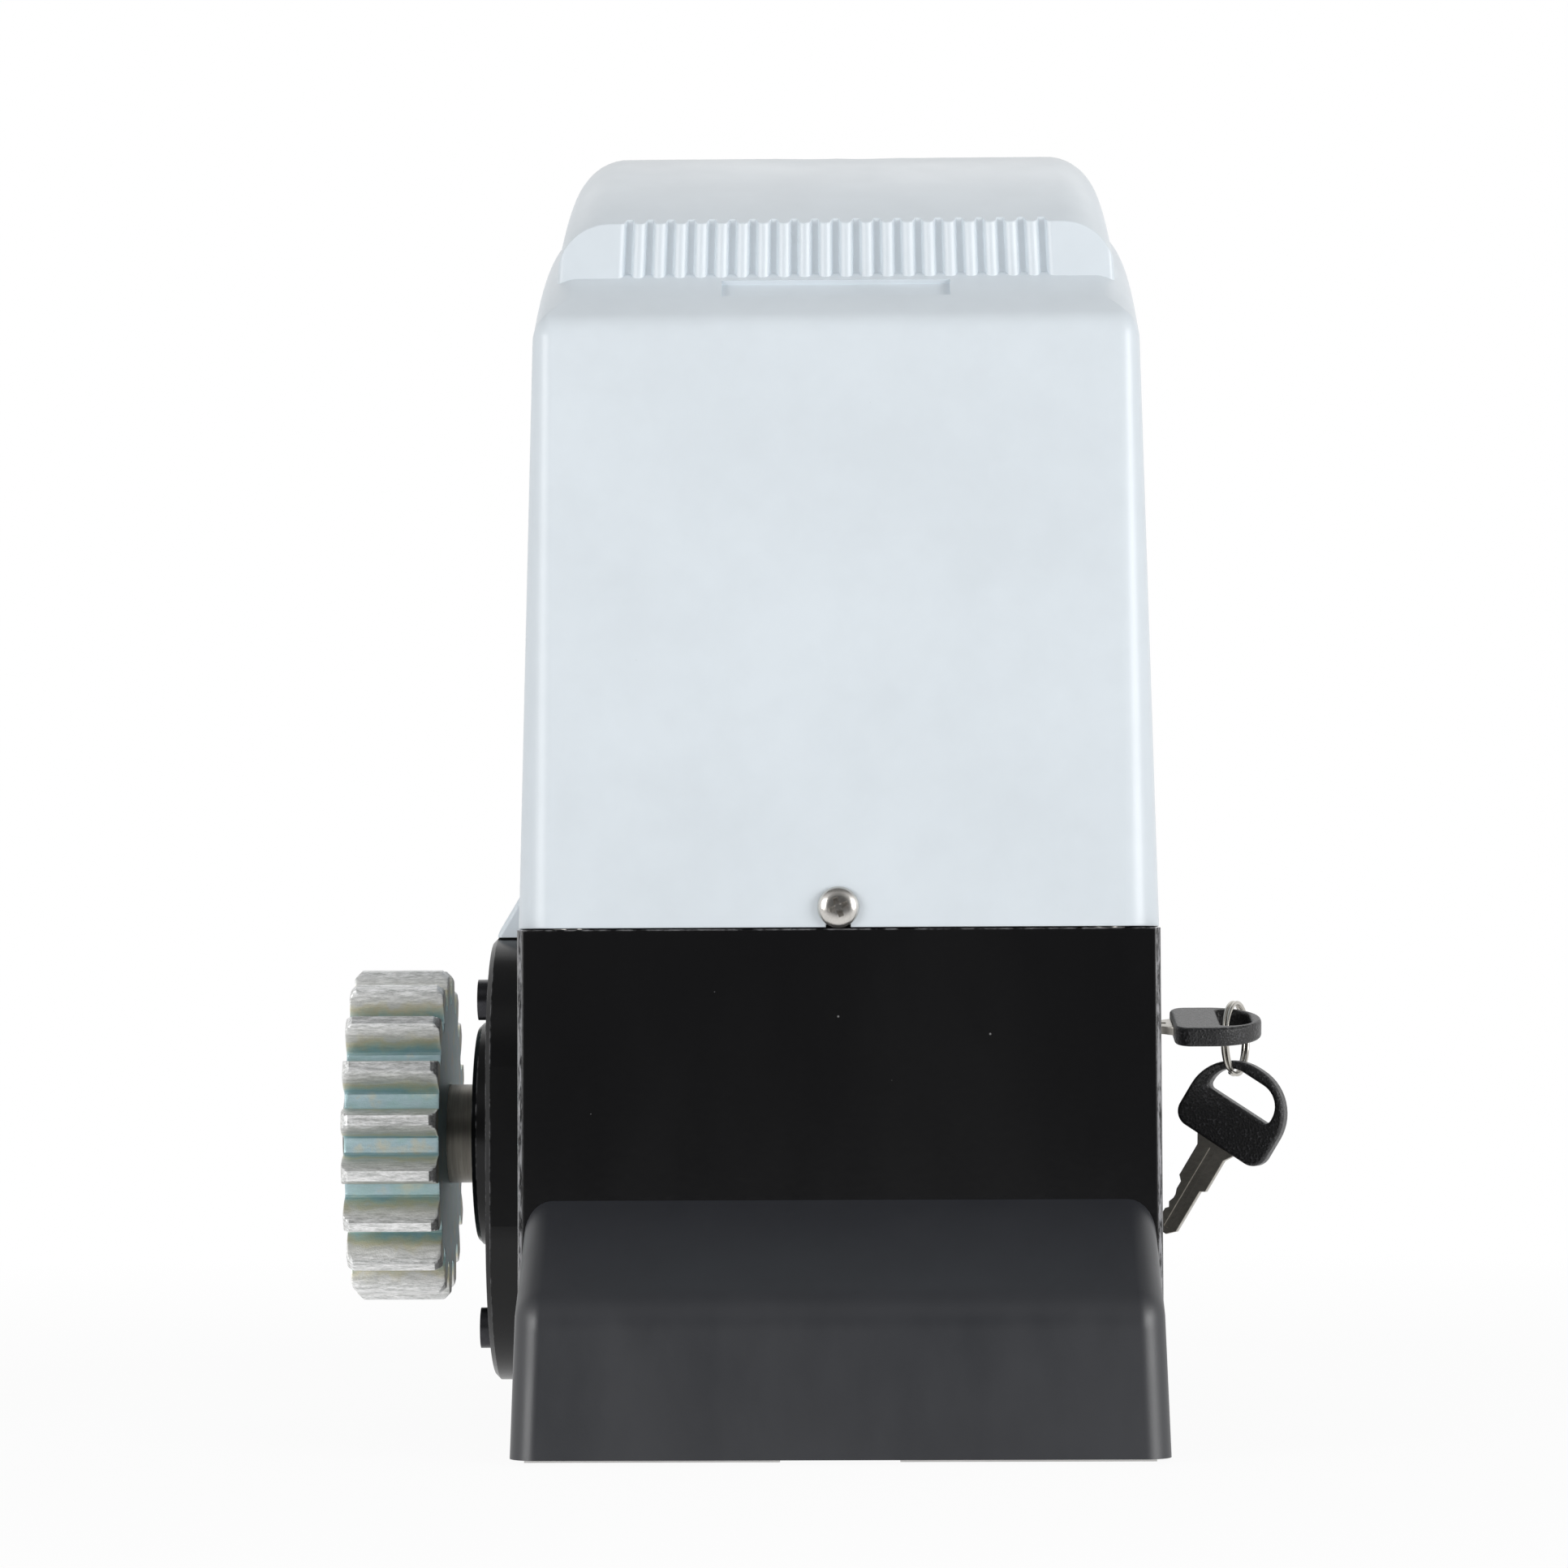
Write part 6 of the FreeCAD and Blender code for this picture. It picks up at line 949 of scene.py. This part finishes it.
def crown_rows(cover, inset, wall, ribbed):
    """Rows of points over the cover's upper hull, from inside the shoulder up to the ridge."""
    half_length = in_mm(cover.crown_length) - wall
    half_width = in_mm(cover.crown_width) - inset
    radius, rounding = in_mm(cover.crown_radius) - inset, in_mm(cover.crown_round) - inset
    crest = BOXES["cover_top_screw"][1].z - SCREW_PROUD - inset
    shoulder, shoulder_crest = in_mm(cover.shoulder_radius), in_mm(cover.shoulder_crest)
    foot = arch_height(half_length, shoulder, shoulder_crest)
    lean, side_lean = math.tan(cover.draft), math.tan(cover.crown_draft)
    places = crown_outline(cover, ribbed)
    rib_reach = cover.rib_count * in_mm(cover.rib_pitch) / 2
    plain_reach = in_mm(cover.crown_width) - CROWN_CORNER - rib_reach

    def at(place, inward):
        """Where a place falls when the outline has shrunk by inward, with the height of the roof there."""
        across, along, face_x, face_y, ended = place
        y = along * max(half_length - inward - CROWN_CORNER, 0.0)
        if not ended:
            x = math.copysign(max(half_width - inward, 0.0), across)
            return x, y, arch_height(y, radius, crest) - round_drop(inward, rounding)
        reach = half_width - inward - CROWN_CORNER
        if face_x:
            x = math.copysign(max(reach, 0.0), across) + face_x * CROWN_CORNER * (reach > 0)
        else:
            flat = min(rib_reach, max(reach - 1.0, 0.0))
            share = min(abs(across) / rib_reach, 1.0)
            beyond = max(abs(across) - rib_reach, 0.0) / plain_reach
            x = math.copysign(flat * share + max(reach - flat, 0.0) * beyond, across)
        y += face_y * CROWN_CORNER
        if ribbed and not face_x and inward < GROOVE_RUNOUT:
            y -= along * groove_depth(across, cover) * (1 - inward / GROOVE_RUNOUT)
        drop = round_drop(max(half_width - abs(x), 0.0), rounding)
        drop += round_drop(inward, CROWN_RIDGE, arch_fall(y, radius)) * abs(face_y)
        return x, y, arch_height(y, radius, crest) - drop

    def leaned(x, y, z):
        rise = z - foot
        return x - x / half_width * rise * side_lean, y - y / half_length * rise * lean, z

    rows = []
    bottom = foot - CROWN_ROOT
    for step in range(8):
        row = []
        for place in places:
            x, y, top = at(place, 0.0)
            row.append(leaned(x, y, bottom + (top - bottom) * step / 7))
        rows.append(row)
    for inward in (*ROOF_STEPS, half_width):
        rows.append([leaned(*at(place, inward)) for place in places])
    rows[-1] = [(0.0, y, z) for x, y, z in rows[-1]]
    return rows


def tilted_block(name, centre, sizes, tilt):
    """A block turned about X."""
    half = [size / 2 for size in sizes]
    piece = block(name, [-value for value in half], half)
    piece.data.transform(Matrix.Translation(centre) @ Matrix.Rotation(tilt, 4, "X"))
    return piece


def build_fairing(base, wall):
    """The sloping hood over the output flange.

    It is cut off at the cover's rim inside the casing's face, and a little lower outside it.
    """
    side, reach, half = cover_half_sizes()[0], -BOXES["top_cover"][0].x, FAIRING_HALF_WIDTH
    top = base + FAIRING_RISE
    fairing = prism("fairing", [(-side + wall, base - 4), (-reach, base - 4), (-reach, base),
                                (-side + 0.4, top), (-side + wall, top)], -half, half)
    soften(fairing, FAIRING_ROUND, 4, 20)
    face = -side - CASING_STEP - 0.1
    for left, right, cut in ((-reach - 5, face, base - FAIRING_DROP), (face, -side + 20, base + 0.02)):
        combine(fairing, block("trim", (left, -half - 5, base - 9), (right, half + 5, cut)))
    return fairing


def build_cover(cover):
    """The whole cover as one hollow moulding."""
    base, wall = BOXES["top_cover"][0].z, in_mm(cover.wall)
    shell = link_mesh("motor_cover", *wrap(shoulder_rows(cover, 0.0, base, RIM_ROUND)))
    combine(shell, link_mesh("crown", *wrap(crown_rows(cover, 0.0, 0.0, True))), "UNION")
    combine(shell, build_fairing(base, wall), "UNION")
    for rows in (shoulder_rows(cover, wall, base - 4, CORE_RIM_ROUND),
                 crown_rows(cover, wall, wall + in_mm(cover.rib_depth), False)):
        combine(shell, link_mesh("core", *wrap(rows)))
    y = in_mm(cover.crown_length)
    z = arch_height(y, in_mm(cover.shoulder_radius), in_mm(cover.shoulder_crest))
    step = RECESS_GAP + RECESS_SIZES[1] / 2
    for end in (-1, 1):
        near, far = sorted((end * 100, end * 118))
        notch = block("notch", (-NOTCH_HALF_WIDTH, near, base - 2),
                      (NOTCH_HALF_WIDTH, far, base + NOTCH_RISE))
        combine(shell, soften(notch, NOTCH_ROUND))
        centre = Vector((0, end * (y + step * math.cos(RECESS_TILT)), z - step * math.sin(RECESS_TILT)))
        combine(shell, tilted_block("recess", centre, RECESS_SIZES, -end * RECESS_TILT))
    return shell


# ---------------------------------------------------------------- casing parts

FOOT_LEAN = 2.4       # how far the end face leans in by its top
FOOT_DRAFT = math.radians(1.9)
FOOT_SLOPE_DROP = 22.0     # how far the sloping top falls
FOOT_WALL = 2.4


def build_foot_cover(casing, node, name):
    """A moulded cover over the anchor bolts, open below and towards the casing."""
    low, high = BOXES[node]
    end = 1 if high.y > 0 else -1
    near, far = sorted((abs(low.y), abs(high.y)))
    corners = []
    for side in (-1, 1):
        for y, z in ((near, low.z), (far, low.z), (far - FOOT_LEAN, high.z - FOOT_SLOPE_DROP),
                     (near, high.z)):
            half = high.x - (z - low.z) * math.tan(FOOT_DRAFT)
            corners.append((side * half, end * y, z))
    faces = [(0, 1, 2, 3), (7, 6, 5, 4), (1, 5, 6, 2), (2, 6, 7, 3)]
    piece = link_mesh(name, corners, faces)
    form = bmesh.new()
    form.from_mesh(piece.data)
    form.edges.ensure_lookup_table()
    inner = [edge for edge in form.edges if len(edge.link_faces) == 2]
    bmesh.ops.bevel(form, geom=inner, offset=in_mm(casing.cover_round), offset_type="OFFSET",
                    segments=7, profile=0.5, affect="EDGES", clamp_overlap=True)
    form.to_mesh(piece.data)
    form.free()
    shell = piece.modifiers.new("wall", "SOLIDIFY")
    shell.thickness, shell.offset = FOOT_WALL, -1.0
    return settle(piece)


# ---------------------------------------------------------------- the pinion

PRESSURE_ANGLE, BACKLASH = math.radians(20), 0.1
FLANK_STEPS = 7
SHAFT_RADIUS = 12.5
# The root's fillet: the share of the way from the flank to the gap's middle, and the height over the root.
ROOT_FILLET = ((0.55, 0.0), (0.24, 0.25), (0.06, 0.9))


def tooth_outline(drive):
    """The pinion's outline, as angle and radius, one tooth after another."""
    module, teeth = in_mm(drive.module), drive.teeth
    pitch = module * teeth / 2
    tip, root = pitch + module, pitch - 1.25 * module
    base = pitch * math.cos(PRESSURE_ANGLE)

    def involute(radius):
        turn = math.acos(min(1.0, base / radius))
        return math.tan(turn) - turn

    half_pitch = math.pi / (2 * teeth) - BACKLASH / pitch
    flank = []
    start = max(base, root + 0.6)
    for step in range(FLANK_STEPS + 1):
        radius = start + (tip - start) * step / FLANK_STEPS
        flank.append((half_pitch + involute(pitch) - involute(radius), radius))
    foot = flank[0][0]
    gap = math.pi / teeth
    fillet = [(foot + (gap - foot) * share, root + height) for share, height in ROOT_FILLET]
    side = [(gap, root)] + fillet + flank
    side.append((side[-1][0] * 0.5, tip))
    outline = []
    for tooth in range(teeth):
        middle = math.tau * tooth / teeth
        outline += [(middle - turn, radius) for turn, radius in side]
        outline.append((middle, tip))
        outline += [(middle + turn, radius) for turn, radius in reversed(side[1:])]
    return outline


def build_pinion(drive):
    """The pinion with its bore and with rounded chamfers at the ends of its teeth."""
    low, high = BOXES["pinion"]
    middle = (low.z + high.z) / 2
    tip = in_mm(drive.module) * (drive.teeth / 2 + 1)
    chamfer, edge = in_mm(drive.chamfer), 0.6
    turned = [(turn - drive.phase, radius) for turn, radius in tooth_outline(drive)]

    def row(x, reaches):
        return [(x, -reach * math.sin(turn), middle + reach * math.cos(turn))
                for (turn, _), reach in zip(turned, reaches)]

    def circle(x, radius):
        return row(x, [radius] * len(turned))

    def teeth(x, limit, inset=0.0):
        return row(x, [min(radius, limit) - inset for _, radius in turned])

    face_end = tip - in_mm(drive.module) * 3.1 - 1.5      # the plain ring round the bore ends here
    halves = []
    for start, sign in ((low.x, 1), (high.x, -1)):
        halves.append([circle(start + sign * edge, SHAFT_RADIUS), circle(start, SHAFT_RADIUS + edge),
                       circle(start, face_end), teeth(start, tip - chamfer, 0.3),
                       teeth(start + sign * 0.12, tip - chamfer + 0.02, 0.08),
                       teeth(start + sign * 0.35, tip - chamfer + 0.25),
                       teeth(start + sign * chamfer * 0.55, tip - chamfer * 0.5),
                       teeth(start + sign * chamfer, tip - 0.1),
                       teeth(start + sign * (chamfer + 0.3), tip)])
    return link_mesh("drive_pinion", *wrap(halves[0] + halves[1][::-1], close_rows=True))


# ---------------------------------------------------------------- screws

SHANK_RADIUS, SHANK_LENGTH, SCREW_HEAD = 2.0, 8.6, 2.8
HEAD_RIM = 0.26       # height of the head's upright rim, as a share of the head
DOME_STEPS = 8
RECESS_REACH, RECESS_DEPTH = 0.52, 0.62    # shares of the head's radius and height
RECESS_TURN = 20      # degrees that the screws' crosses stand turned


def cut_cross(piece, radius, depth, place):
    """Cuts a tapered cross, for a screwdriver."""
    for turn in (0, 90):
        rows = []
        for height, reach, half in ((-depth, radius * 0.35, 0.42), (-depth * 0.4, radius * 0.8, 0.6),
                                    (1.5, radius * 1.25, 0.72)):
            rows.append([(-reach, -half, height), (reach, -half, height), (reach, half, height),
                         (-reach, half, height)])
        tool = link_mesh("cross", *wrap(rows))
        tool.data.transform(place @ Matrix.Rotation(math.radians(turn), 4, "Z"))
        combine(piece, tool)


def domed_screw(name, radius, place):
    """A pan-head screw with a cross recess, its head up along the local Z axis from 0."""
    profile = [(-SHANK_LENGTH, 0.001), (-SHANK_LENGTH, SHANK_RADIUS * 0.7),
               (-SHANK_LENGTH + 0.8, SHANK_RADIUS), (-0.01, SHANK_RADIUS), (0.0, radius * 0.96),
               (0.12, radius), (SCREW_HEAD * HEAD_RIM, radius)]
    for step in range(1, DOME_STEPS + 1):
        turn = math.radians(90 * step / DOME_STEPS)
        width = radius * (0.10 + 0.90 * math.cos(turn) ** 0.75) if step < DOME_STEPS else 0.001
        profile.append((SCREW_HEAD * (HEAD_RIM + (1 - HEAD_RIM) * math.sin(turn)), width))
    piece = lathe(name, profile)
    top = Matrix.Translation((0, 0, SCREW_HEAD)) @ Matrix.Rotation(math.radians(RECESS_TURN), 4, "Z")
    cut_cross(piece, radius * RECESS_REACH, SCREW_HEAD * RECESS_DEPTH, top)
    piece.data.transform(place)
    return piece


# ---------------------------------------------------------------- the keys

UP = Vector((0, 0, 1))
BOW_REACH, BOW_HALF_WIDTH, BOW_THICKNESS = 21.9, 13, 4.7
BOW_ROUNDS = [4.0, 12.4, 12.4, 4.0]        # at the blade, at the far end, and back
HOLE_START, HOLE_END, HOLE_HALF_WIDTH = 11.4, 19.1, 9.1
HOLE_ROUNDS = [1.2, 6.0, 6.0, 1.2]
# The places at which the plain solid's bow holds the ring: its hole's far end, half width and corners.
SEAT_END, SEAT_HALF_WIDTH, SEAT_ROUND, HANG_SIDE = 19, 9, 6, 5.5
BLADE_THICKNESS, BLADE_EDGE = 2.0, 0.22
GROOVE_START, GROOVE_END, GROOVE_HALF_WIDTH, GROOVE_CUT = -24.5, -1.5, 0.85, 0.45
KEY_TURN = math.radians(11.5)
RING_TURN, SPARE_TILT = math.radians(21.5), math.radians(32)
RING_WIRE, RING_GAP = 1.1, 0.7             # thickness of the solid ring's wire, and its play in a bow
# The split ring: where its wire starts, how much of two turns it makes, and where it changes sides.
RING_START, RING_SHARE, RING_CROSS, RING_STEPS = math.radians(250), 0.985, (0.46, 0.54), 180


def build_bow(name, place, edge):
    """A key's plastic bow with its D-shaped hole."""
    outline = eased([(0, -BOW_HALF_WIDTH), (BOW_REACH, -BOW_HALF_WIDTH), (BOW_REACH, BOW_HALF_WIDTH),
                     (0, BOW_HALF_WIDTH)], BOW_ROUNDS, 14)
    hole = eased([(HOLE_START, -HOLE_HALF_WIDTH), (HOLE_END, -HOLE_HALF_WIDTH),
                  (HOLE_END, HOLE_HALF_WIDTH), (HOLE_START, HOLE_HALF_WIDTH)], HOLE_ROUNDS, 12)
    return plate(name, [outline, hole], BOW_THICKNESS, edge, 4, place)


def build_blade(name, place):
    """A key's blade with its bitting and a milled groove in both sides."""
    outline = [(0, 5.5), (-2.5, 4.0), (-11.5, 4.0), (-12.3, 2.8), (-24, 2.8), (-26, 0.8), (-26, -0.8),
               (-24.4, -2.1), (-23.6, -2.1), (-22.0, -2.8), (-20.6, -2.8), (-19.8, -2.1), (-18.6, -2.8),
               (-17.2, -2.3), (-16.2, -2.3), (-14.8, -2.8), (-12.7, -2.8), (-11.5, -4.0), (-2.5, -4.0),
               (0, -5.5)]
    blade = plate(name, [outline], BLADE_THICKNESS, BLADE_EDGE, 2)
    for side in (-1, 1):
        face = side * BLADE_THICKNESS / 2
        groove = block("groove", (GROOVE_START, -GROOVE_HALF_WIDTH, face - GROOVE_CUT),
                       (GROOVE_END, GROOVE_HALF_WIDTH, face + GROOVE_CUT))
        combine(blade, soften(groove, 0.2))
    blade.data.transform(place)
    return blade


def ring_frame():
    """The key ring's middle, its outer radius, its flat direction and its normal."""
    low, high = BOXES["key_ring"]
    flat = Vector((math.sin(RING_TURN), math.cos(RING_TURN), 0))
    return (low + high) / 2, (high.z - low.z) / 2, flat, Vector((flat.y, -flat.x, 0))


def build_ring(wire):
    """A split ring of nearly two turns, which change sides half way."""
    centre, reach, flat, normal = ring_frame()
    radius = reach - wire
    curve = bpy.data.curves.new("split_ring", "CURVE")
    curve.dimensions, curve.bevel_depth, curve.bevel_resolution = "3D", wire, 5
    curve.use_fill_caps = True
    spline = curve.splines.new("POLY")
    spline.points.add(RING_STEPS)
    for step in range(RING_STEPS + 1):
        share = step / RING_STEPS
        turn = RING_START + math.tau * 2 * share * RING_SHARE
        cross = min(max((share - RING_CROSS[0]) / (RING_CROSS[1] - RING_CROSS[0]), 0.0), 1.0)
        aside = normal * (cross * cross * (3 - 2 * cross) - 0.5)
        spot = centre + flat * radius * math.cos(turn) + UP * radius * math.sin(turn) + aside
        spline.points[step].co = (*spot, 1)
    return solid_curve("split_ring", curve, 1e-4)


def spare_place():
    """The spare key's place: it hangs from the ring's lowest point, leaning back."""
    centre, reach, _, normal = ring_frame()
    along = UP * math.cos(SPARE_TILT) + normal * math.sin(SPARE_TILT)
    across = normal * math.cos(SPARE_TILT) - UP * math.sin(SPARE_TILT)
    hang = centre - UP * (reach - RING_WIRE - RING_GAP)
    beside = HANG_SIDE - SEAT_HALF_WIDTH + SEAT_ROUND
    point = Vector((SEAT_END - SEAT_ROUND + math.sqrt(SEAT_ROUND ** 2 - beside ** 2), -HANG_SIDE, 0))
    turn = Matrix((along, across, along.cross(across))).transposed()
    return Matrix.Translation(hang - turn @ point) @ turn.to_4x4()


# ---------------------------------------------------------------- operators

# Solids whose finish isn't their slot's own.
OTHER_FINISHES = {"flange_screws": "black_steel", "pinion_key": "zinc_sheet", "board_bracket": "zinc_sheet",
                  "capacitor_clamp": "zinc_sheet", "cover_post": "zinc_sheet"}


class GATE_OT_inner_parts(bpy.types.Operator):
    """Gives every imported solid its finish"""

    bl_idname = "gate.inner_parts"
    bl_label = "Finish the solids"

    def execute(self, context):
        for part in frame["record"]["subparts"]:
            finish = finish_of(OTHER_FINISHES.get(part["node"], part["material_slot"]))
            for slot in frame["nodes"][part["node"]].material_slots:
                slot.material = finish
        return {"FINISHED"}


class GATE_OT_motor_cover(bpy.types.Operator):
    """Moulded cover with its ribbed crown, recesses and fairing"""

    bl_idname = "gate.motor_cover"
    bl_label = "Motor cover"

    def execute(self, context):
        shell = build_cover(context.scene.gate_cover)
        dress(shell, finish_of("cover_grey"), "housing", ["top_cover"], 38)
        return {"FINISHED"}


class GATE_OT_foot_covers(bpy.types.Operator):
    """Moulded covers over the anchor bolts"""

    bl_idname = "gate.foot_covers"
    bl_label = "Foot covers"

    def execute(self, context):
        for end in ("front", "rear"):
            node = "foot_cover_" + end
            piece = build_foot_cover(context.scene.gate_casing, node, "anchor_cover_" + end)
            dress(piece, finish_of("foot_cover_black"), "housing", [node], 60)
        return {"FINISHED"}


class GATE_OT_pinion(bpy.types.Operator):
    """Output pinion with chamfered teeth"""

    bl_idname = "gate.pinion"
    bl_label = "Pinion"

    def execute(self, context):
        piece = build_pinion(context.scene.gate_drive)
        dress(piece, finish_of("zinc_steel"), "output", ["pinion"], 28)
        return {"FINISHED"}


class GATE_OT_cover_screws(bpy.types.Operator):
    """Domed cross-head screws that hold the cover"""

    bl_idname = "gate.cover_screws"
    bl_label = "Cover screws"

    def execute(self, context):
        low, high = BOXES["cover_screws"]
        middle, radius = (low.z + high.z) / 2, (high.z - low.z) / 2
        for end, name in ((-1, "cover_screw_front"), (1, "cover_screw_rear")):
            outwards = Matrix(((1, 0, 0, 0), (0, 0, end, 0), (0, -end, 0, 0), (0, 0, 0, 1)))
            place = Matrix.Translation((0, end * (high.y - SCREW_HEAD), middle)) @ outwards
            piece = domed_screw(name, radius, place)
            dress(piece, finish_of("screw_steel"), "housing", ["cover_screws"], 40)
        return {"FINISHED"}


class GATE_OT_keys(bpy.types.Operator):
    """Release key in the lock, the spare key and the split ring between them"""

    bl_idname = "gate.keys"
    bl_label = "Keys and ring"

    def execute(self, context):
        keys = context.scene.gate_keys
        lock = frame_axis("key_turn") / MM
        bow_root = (BOXES["release_key_bow"][0].x, lock.y, lock.z)
        release = Matrix.Translation(bow_root) @ Matrix.Rotation(KEY_TURN, 4, "X")
        for name, place, body in (("release_key", release, "lock_barrel"),
                                  ("spare_key", spare_place(), "spare_key")):
            bow = build_bow(name + "_handle", place, in_mm(keys.bow_edge))
            dress(bow, finish_of("key_bow_black"), body, [name + "_bow"], 40)
            blade = build_blade(name + "_steel", place)
            dress(blade, finish_of("key_steel"), body, [name + "_blade"], 30)
        ring = build_ring(in_mm(keys.wire))
        dress(ring, finish_of("ring_steel"), "ring", ["key_ring"], 50)
        return {"FINISHED"}


# ---------------------------------------------------------------- the stage, in metres

FLOOR_RADIUS, FLOOR_DROP = 6.0, 0.0003
GLOW_NEAR, GLOW_FAR = 0.25, 0.75           # over this stretch the floor fades to plain white
# Each lamp's place, what it is aimed at and its width and height.
LAMPS = {"top_lamp": ((0.0, 0.95, 1.35), (0, 0, 0.25), (1.4, 0.9)),
         "left_lamp": ((-1.25, -1.25, 0.44), (0, 0, 0.16), (0.8, 0.75)),
         "right_lamp": ((1.35, -1.05, 0.44), (0, 0, 0.16), (0.8, 0.75))}
CAMERA_PLACE = (0.0074, -1.176, 0.103)
CAMERA_YAW, CAMERA_PITCH, CAMERA_ROLL = math.radians(1.067), math.radians(92.72), math.radians(-0.25)


def seen_direct(graph):
    """1 where a ray comes from the camera or from a mirror or glass."""
    paths = graph.add("LightPath").outputs
    seen = graph.math("MAXIMUM", paths["Is Camera Ray"], paths["Is Glossy Ray"])
    return graph.math("MAXIMUM", seen, paths["Is Transmission Ray"])


def make_floor(settings):
    """A matt floor that keeps the object's shadow and fades into the white around it.

    Polished metal sees it darker on the camera's side, as in a studio with an open front.
    """
    form = bmesh.new()
    bmesh.ops.create_circle(form, cap_ends=True, segments=96, radius=FLOOR_RADIUS)
    mesh = bpy.data.meshes.new("floor")
    form.to_mesh(mesh)
    form.free()
    floor = bpy.data.objects.new("floor", mesh)
    floor.location.z = -FLOOR_DROP
    bpy.context.scene.collection.objects.link(floor)
    finish = bpy.data.materials.new("floor")
    finish.use_nodes = True
    graph = Graph(finish.node_tree)
    place = graph.add("NewGeometry").outputs["Position"]
    matt = graph.add("BsdfDiffuse", {"Color": (*settings.floor_tone, 1.0)})
    dark = graph.span(graph.parts(place)["Y"], -0.35, -0.9, 0.0, 0.85)
    mirrored = graph.add("LightPath").outputs["Is Glossy Ray"]
    strength = graph.minus(1.0, graph.times(mirrored, dark))
    glow = graph.add("Emission", {"Color": (1, 1, 1, 1), "Strength": strength})
    fade = graph.span(graph.vector("LENGTH", place), GLOW_NEAR, GLOW_FAR, 0.94, 1.0)
    share = graph.times(seen_direct(graph), fade)
    mixed = graph.add("MixShader", {0: share, 1: matt.outputs[0], 2: glow.outputs[0]})
    graph.add("OutputMaterial", {"Surface": mixed.outputs[0]})
    mesh.materials.append(finish)


def make_world(scene):
    """A soft studio, white to the camera: brighter in front, dimmer above, and dark to mirrors ahead."""
    world = bpy.data.worlds.new("studio")
    world.use_nodes = True
    graph = Graph(world.node_tree)
    paths = graph.add("LightPath").outputs
    white = graph.math("MAXIMUM", paths["Is Camera Ray"], paths["Is Transmission Ray"])
    way = graph.add("TexCoord").outputs["Generated"]
    ahead = graph.vector("DOT_PRODUCT", way, (0.0, -1.0, 0.0))
    above = graph.parts(way)["Z"]
    front = graph.span(ahead, 0.6, 0.92, 1.0, 0.12)
    ceiling = graph.span(above, 0.5, 0.85, 1.0, 0.25)
    mirrored = graph.times(paths["Is Glossy Ray"], graph.times(front, ceiling))
    soft = graph.times(graph.span(ahead, -0.4, 1.0, 0.42, 0.66),
                      graph.span(above, 0.1, 0.9, 1.0, 0.62))
    diffuse = graph.times(graph.minus(1.0, paths["Is Glossy Ray"]), soft)
    strength = graph.math("MAXIMUM", white, graph.plus(mirrored, diffuse))
    light = graph.add("Background", {"Color": (1, 1, 1, 1), "Strength": strength})
    graph.add("OutputWorld", {"Surface": light.outputs[0]})
    scene.world = world


def make_lamps(scene, settings):
    powers = (settings.top_power, settings.left_power, settings.right_power)
    for (name, (place, aim, sizes)), energy in zip(LAMPS.items(), powers):
        lamp = bpy.data.lights.new(name, "AREA")
        lamp.shape, lamp.size, lamp.size_y, lamp.energy = "RECTANGLE", *sizes, energy
        holder = bpy.data.objects.new(name, lamp)
        holder.location = place
        towards = Vector(aim) - Vector(place)
        holder.rotation_euler = towards.to_track_quat("-Z", "Y").to_euler()
        holder.visible_camera = False
        scene.collection.objects.link(holder)


def make_camera(scene, settings):
    camera = bpy.data.cameras.new("camera")
    camera.lens, camera.sensor_width, camera.clip_start = settings.lens, 36.0, 0.01
    holder = bpy.data.objects.new("camera", camera)
    aim = Matrix.Rotation(CAMERA_YAW, 4, "Z") @ Matrix.Rotation(CAMERA_PITCH, 4, "X")
    level = Matrix.Rotation(CAMERA_ROLL, 4, "Z")
    holder.matrix_world = Matrix.Translation(CAMERA_PLACE) @ aim @ level
    scene.collection.objects.link(holder)
    scene.camera = holder
    scene.view_settings.view_transform = "Standard"


class GATE_OT_stage(bpy.types.Operator):
    """Pale floor, soft lamps and the camera"""

    bl_idname = "gate.stage"
    bl_label = "Stage"

    def execute(self, context):
        settings = context.scene.gate_stage
        make_floor(settings)
        make_world(context.scene)
        make_lamps(context.scene, settings)
        make_camera(context.scene, settings)
        return {"FINISHED"}


# ---------------------------------------------------------------- the panel and the run

class GATE_PT_panel(bpy.types.Panel):
    """Lists the pieces and their sizes"""

    bl_idname = "GATE_PT_panel"
    bl_label = "Gate motor"
    bl_space_type = "VIEW_3D"
    bl_region_type = "UI"
    bl_category = "Gate motor"

    def draw(self, context):
        for operator in OPERATORS:
            self.layout.operator(operator.bl_idname)
        for name in SETTINGS:
            box = self.layout.box()
            group = getattr(context.scene, name)
            for prop in group.bl_rna.properties:
                if prop.identifier not in ("rna_type", "name"):
                    box.prop(group, prop.identifier)


OPERATORS = (GATE_OT_inner_parts, GATE_OT_motor_cover, GATE_OT_foot_covers, GATE_OT_pinion,
             GATE_OT_cover_screws, GATE_OT_keys, GATE_OT_stage)
SETTINGS = {"gate_cover": CoverSettings, "gate_casing": CasingSettings, "gate_drive": DriveSettings,
            "gate_keys": KeySettings, "gate_stage": StageSettings}


def register():
    for kind in (*SETTINGS.values(), *OPERATORS, GATE_PT_panel):
        bpy.utils.register_class(kind)
    for name, kind in SETTINGS.items():
        setattr(bpy.types.Scene, name, bpy.props.PointerProperty(type=kind))


def unregister():
    for name in SETTINGS:
        delattr(bpy.types.Scene, name)
    for kind in (GATE_PT_panel, *reversed(OPERATORS), *reversed(list(SETTINGS.values()))):
        bpy.utils.unregister_class(kind)


def main():
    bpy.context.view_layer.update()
    register()
    for operator in OPERATORS:
        group, name = operator.bl_idname.split(".")
        getattr(getattr(bpy.ops, group), name)()


if __name__ == "__main__":
    main()
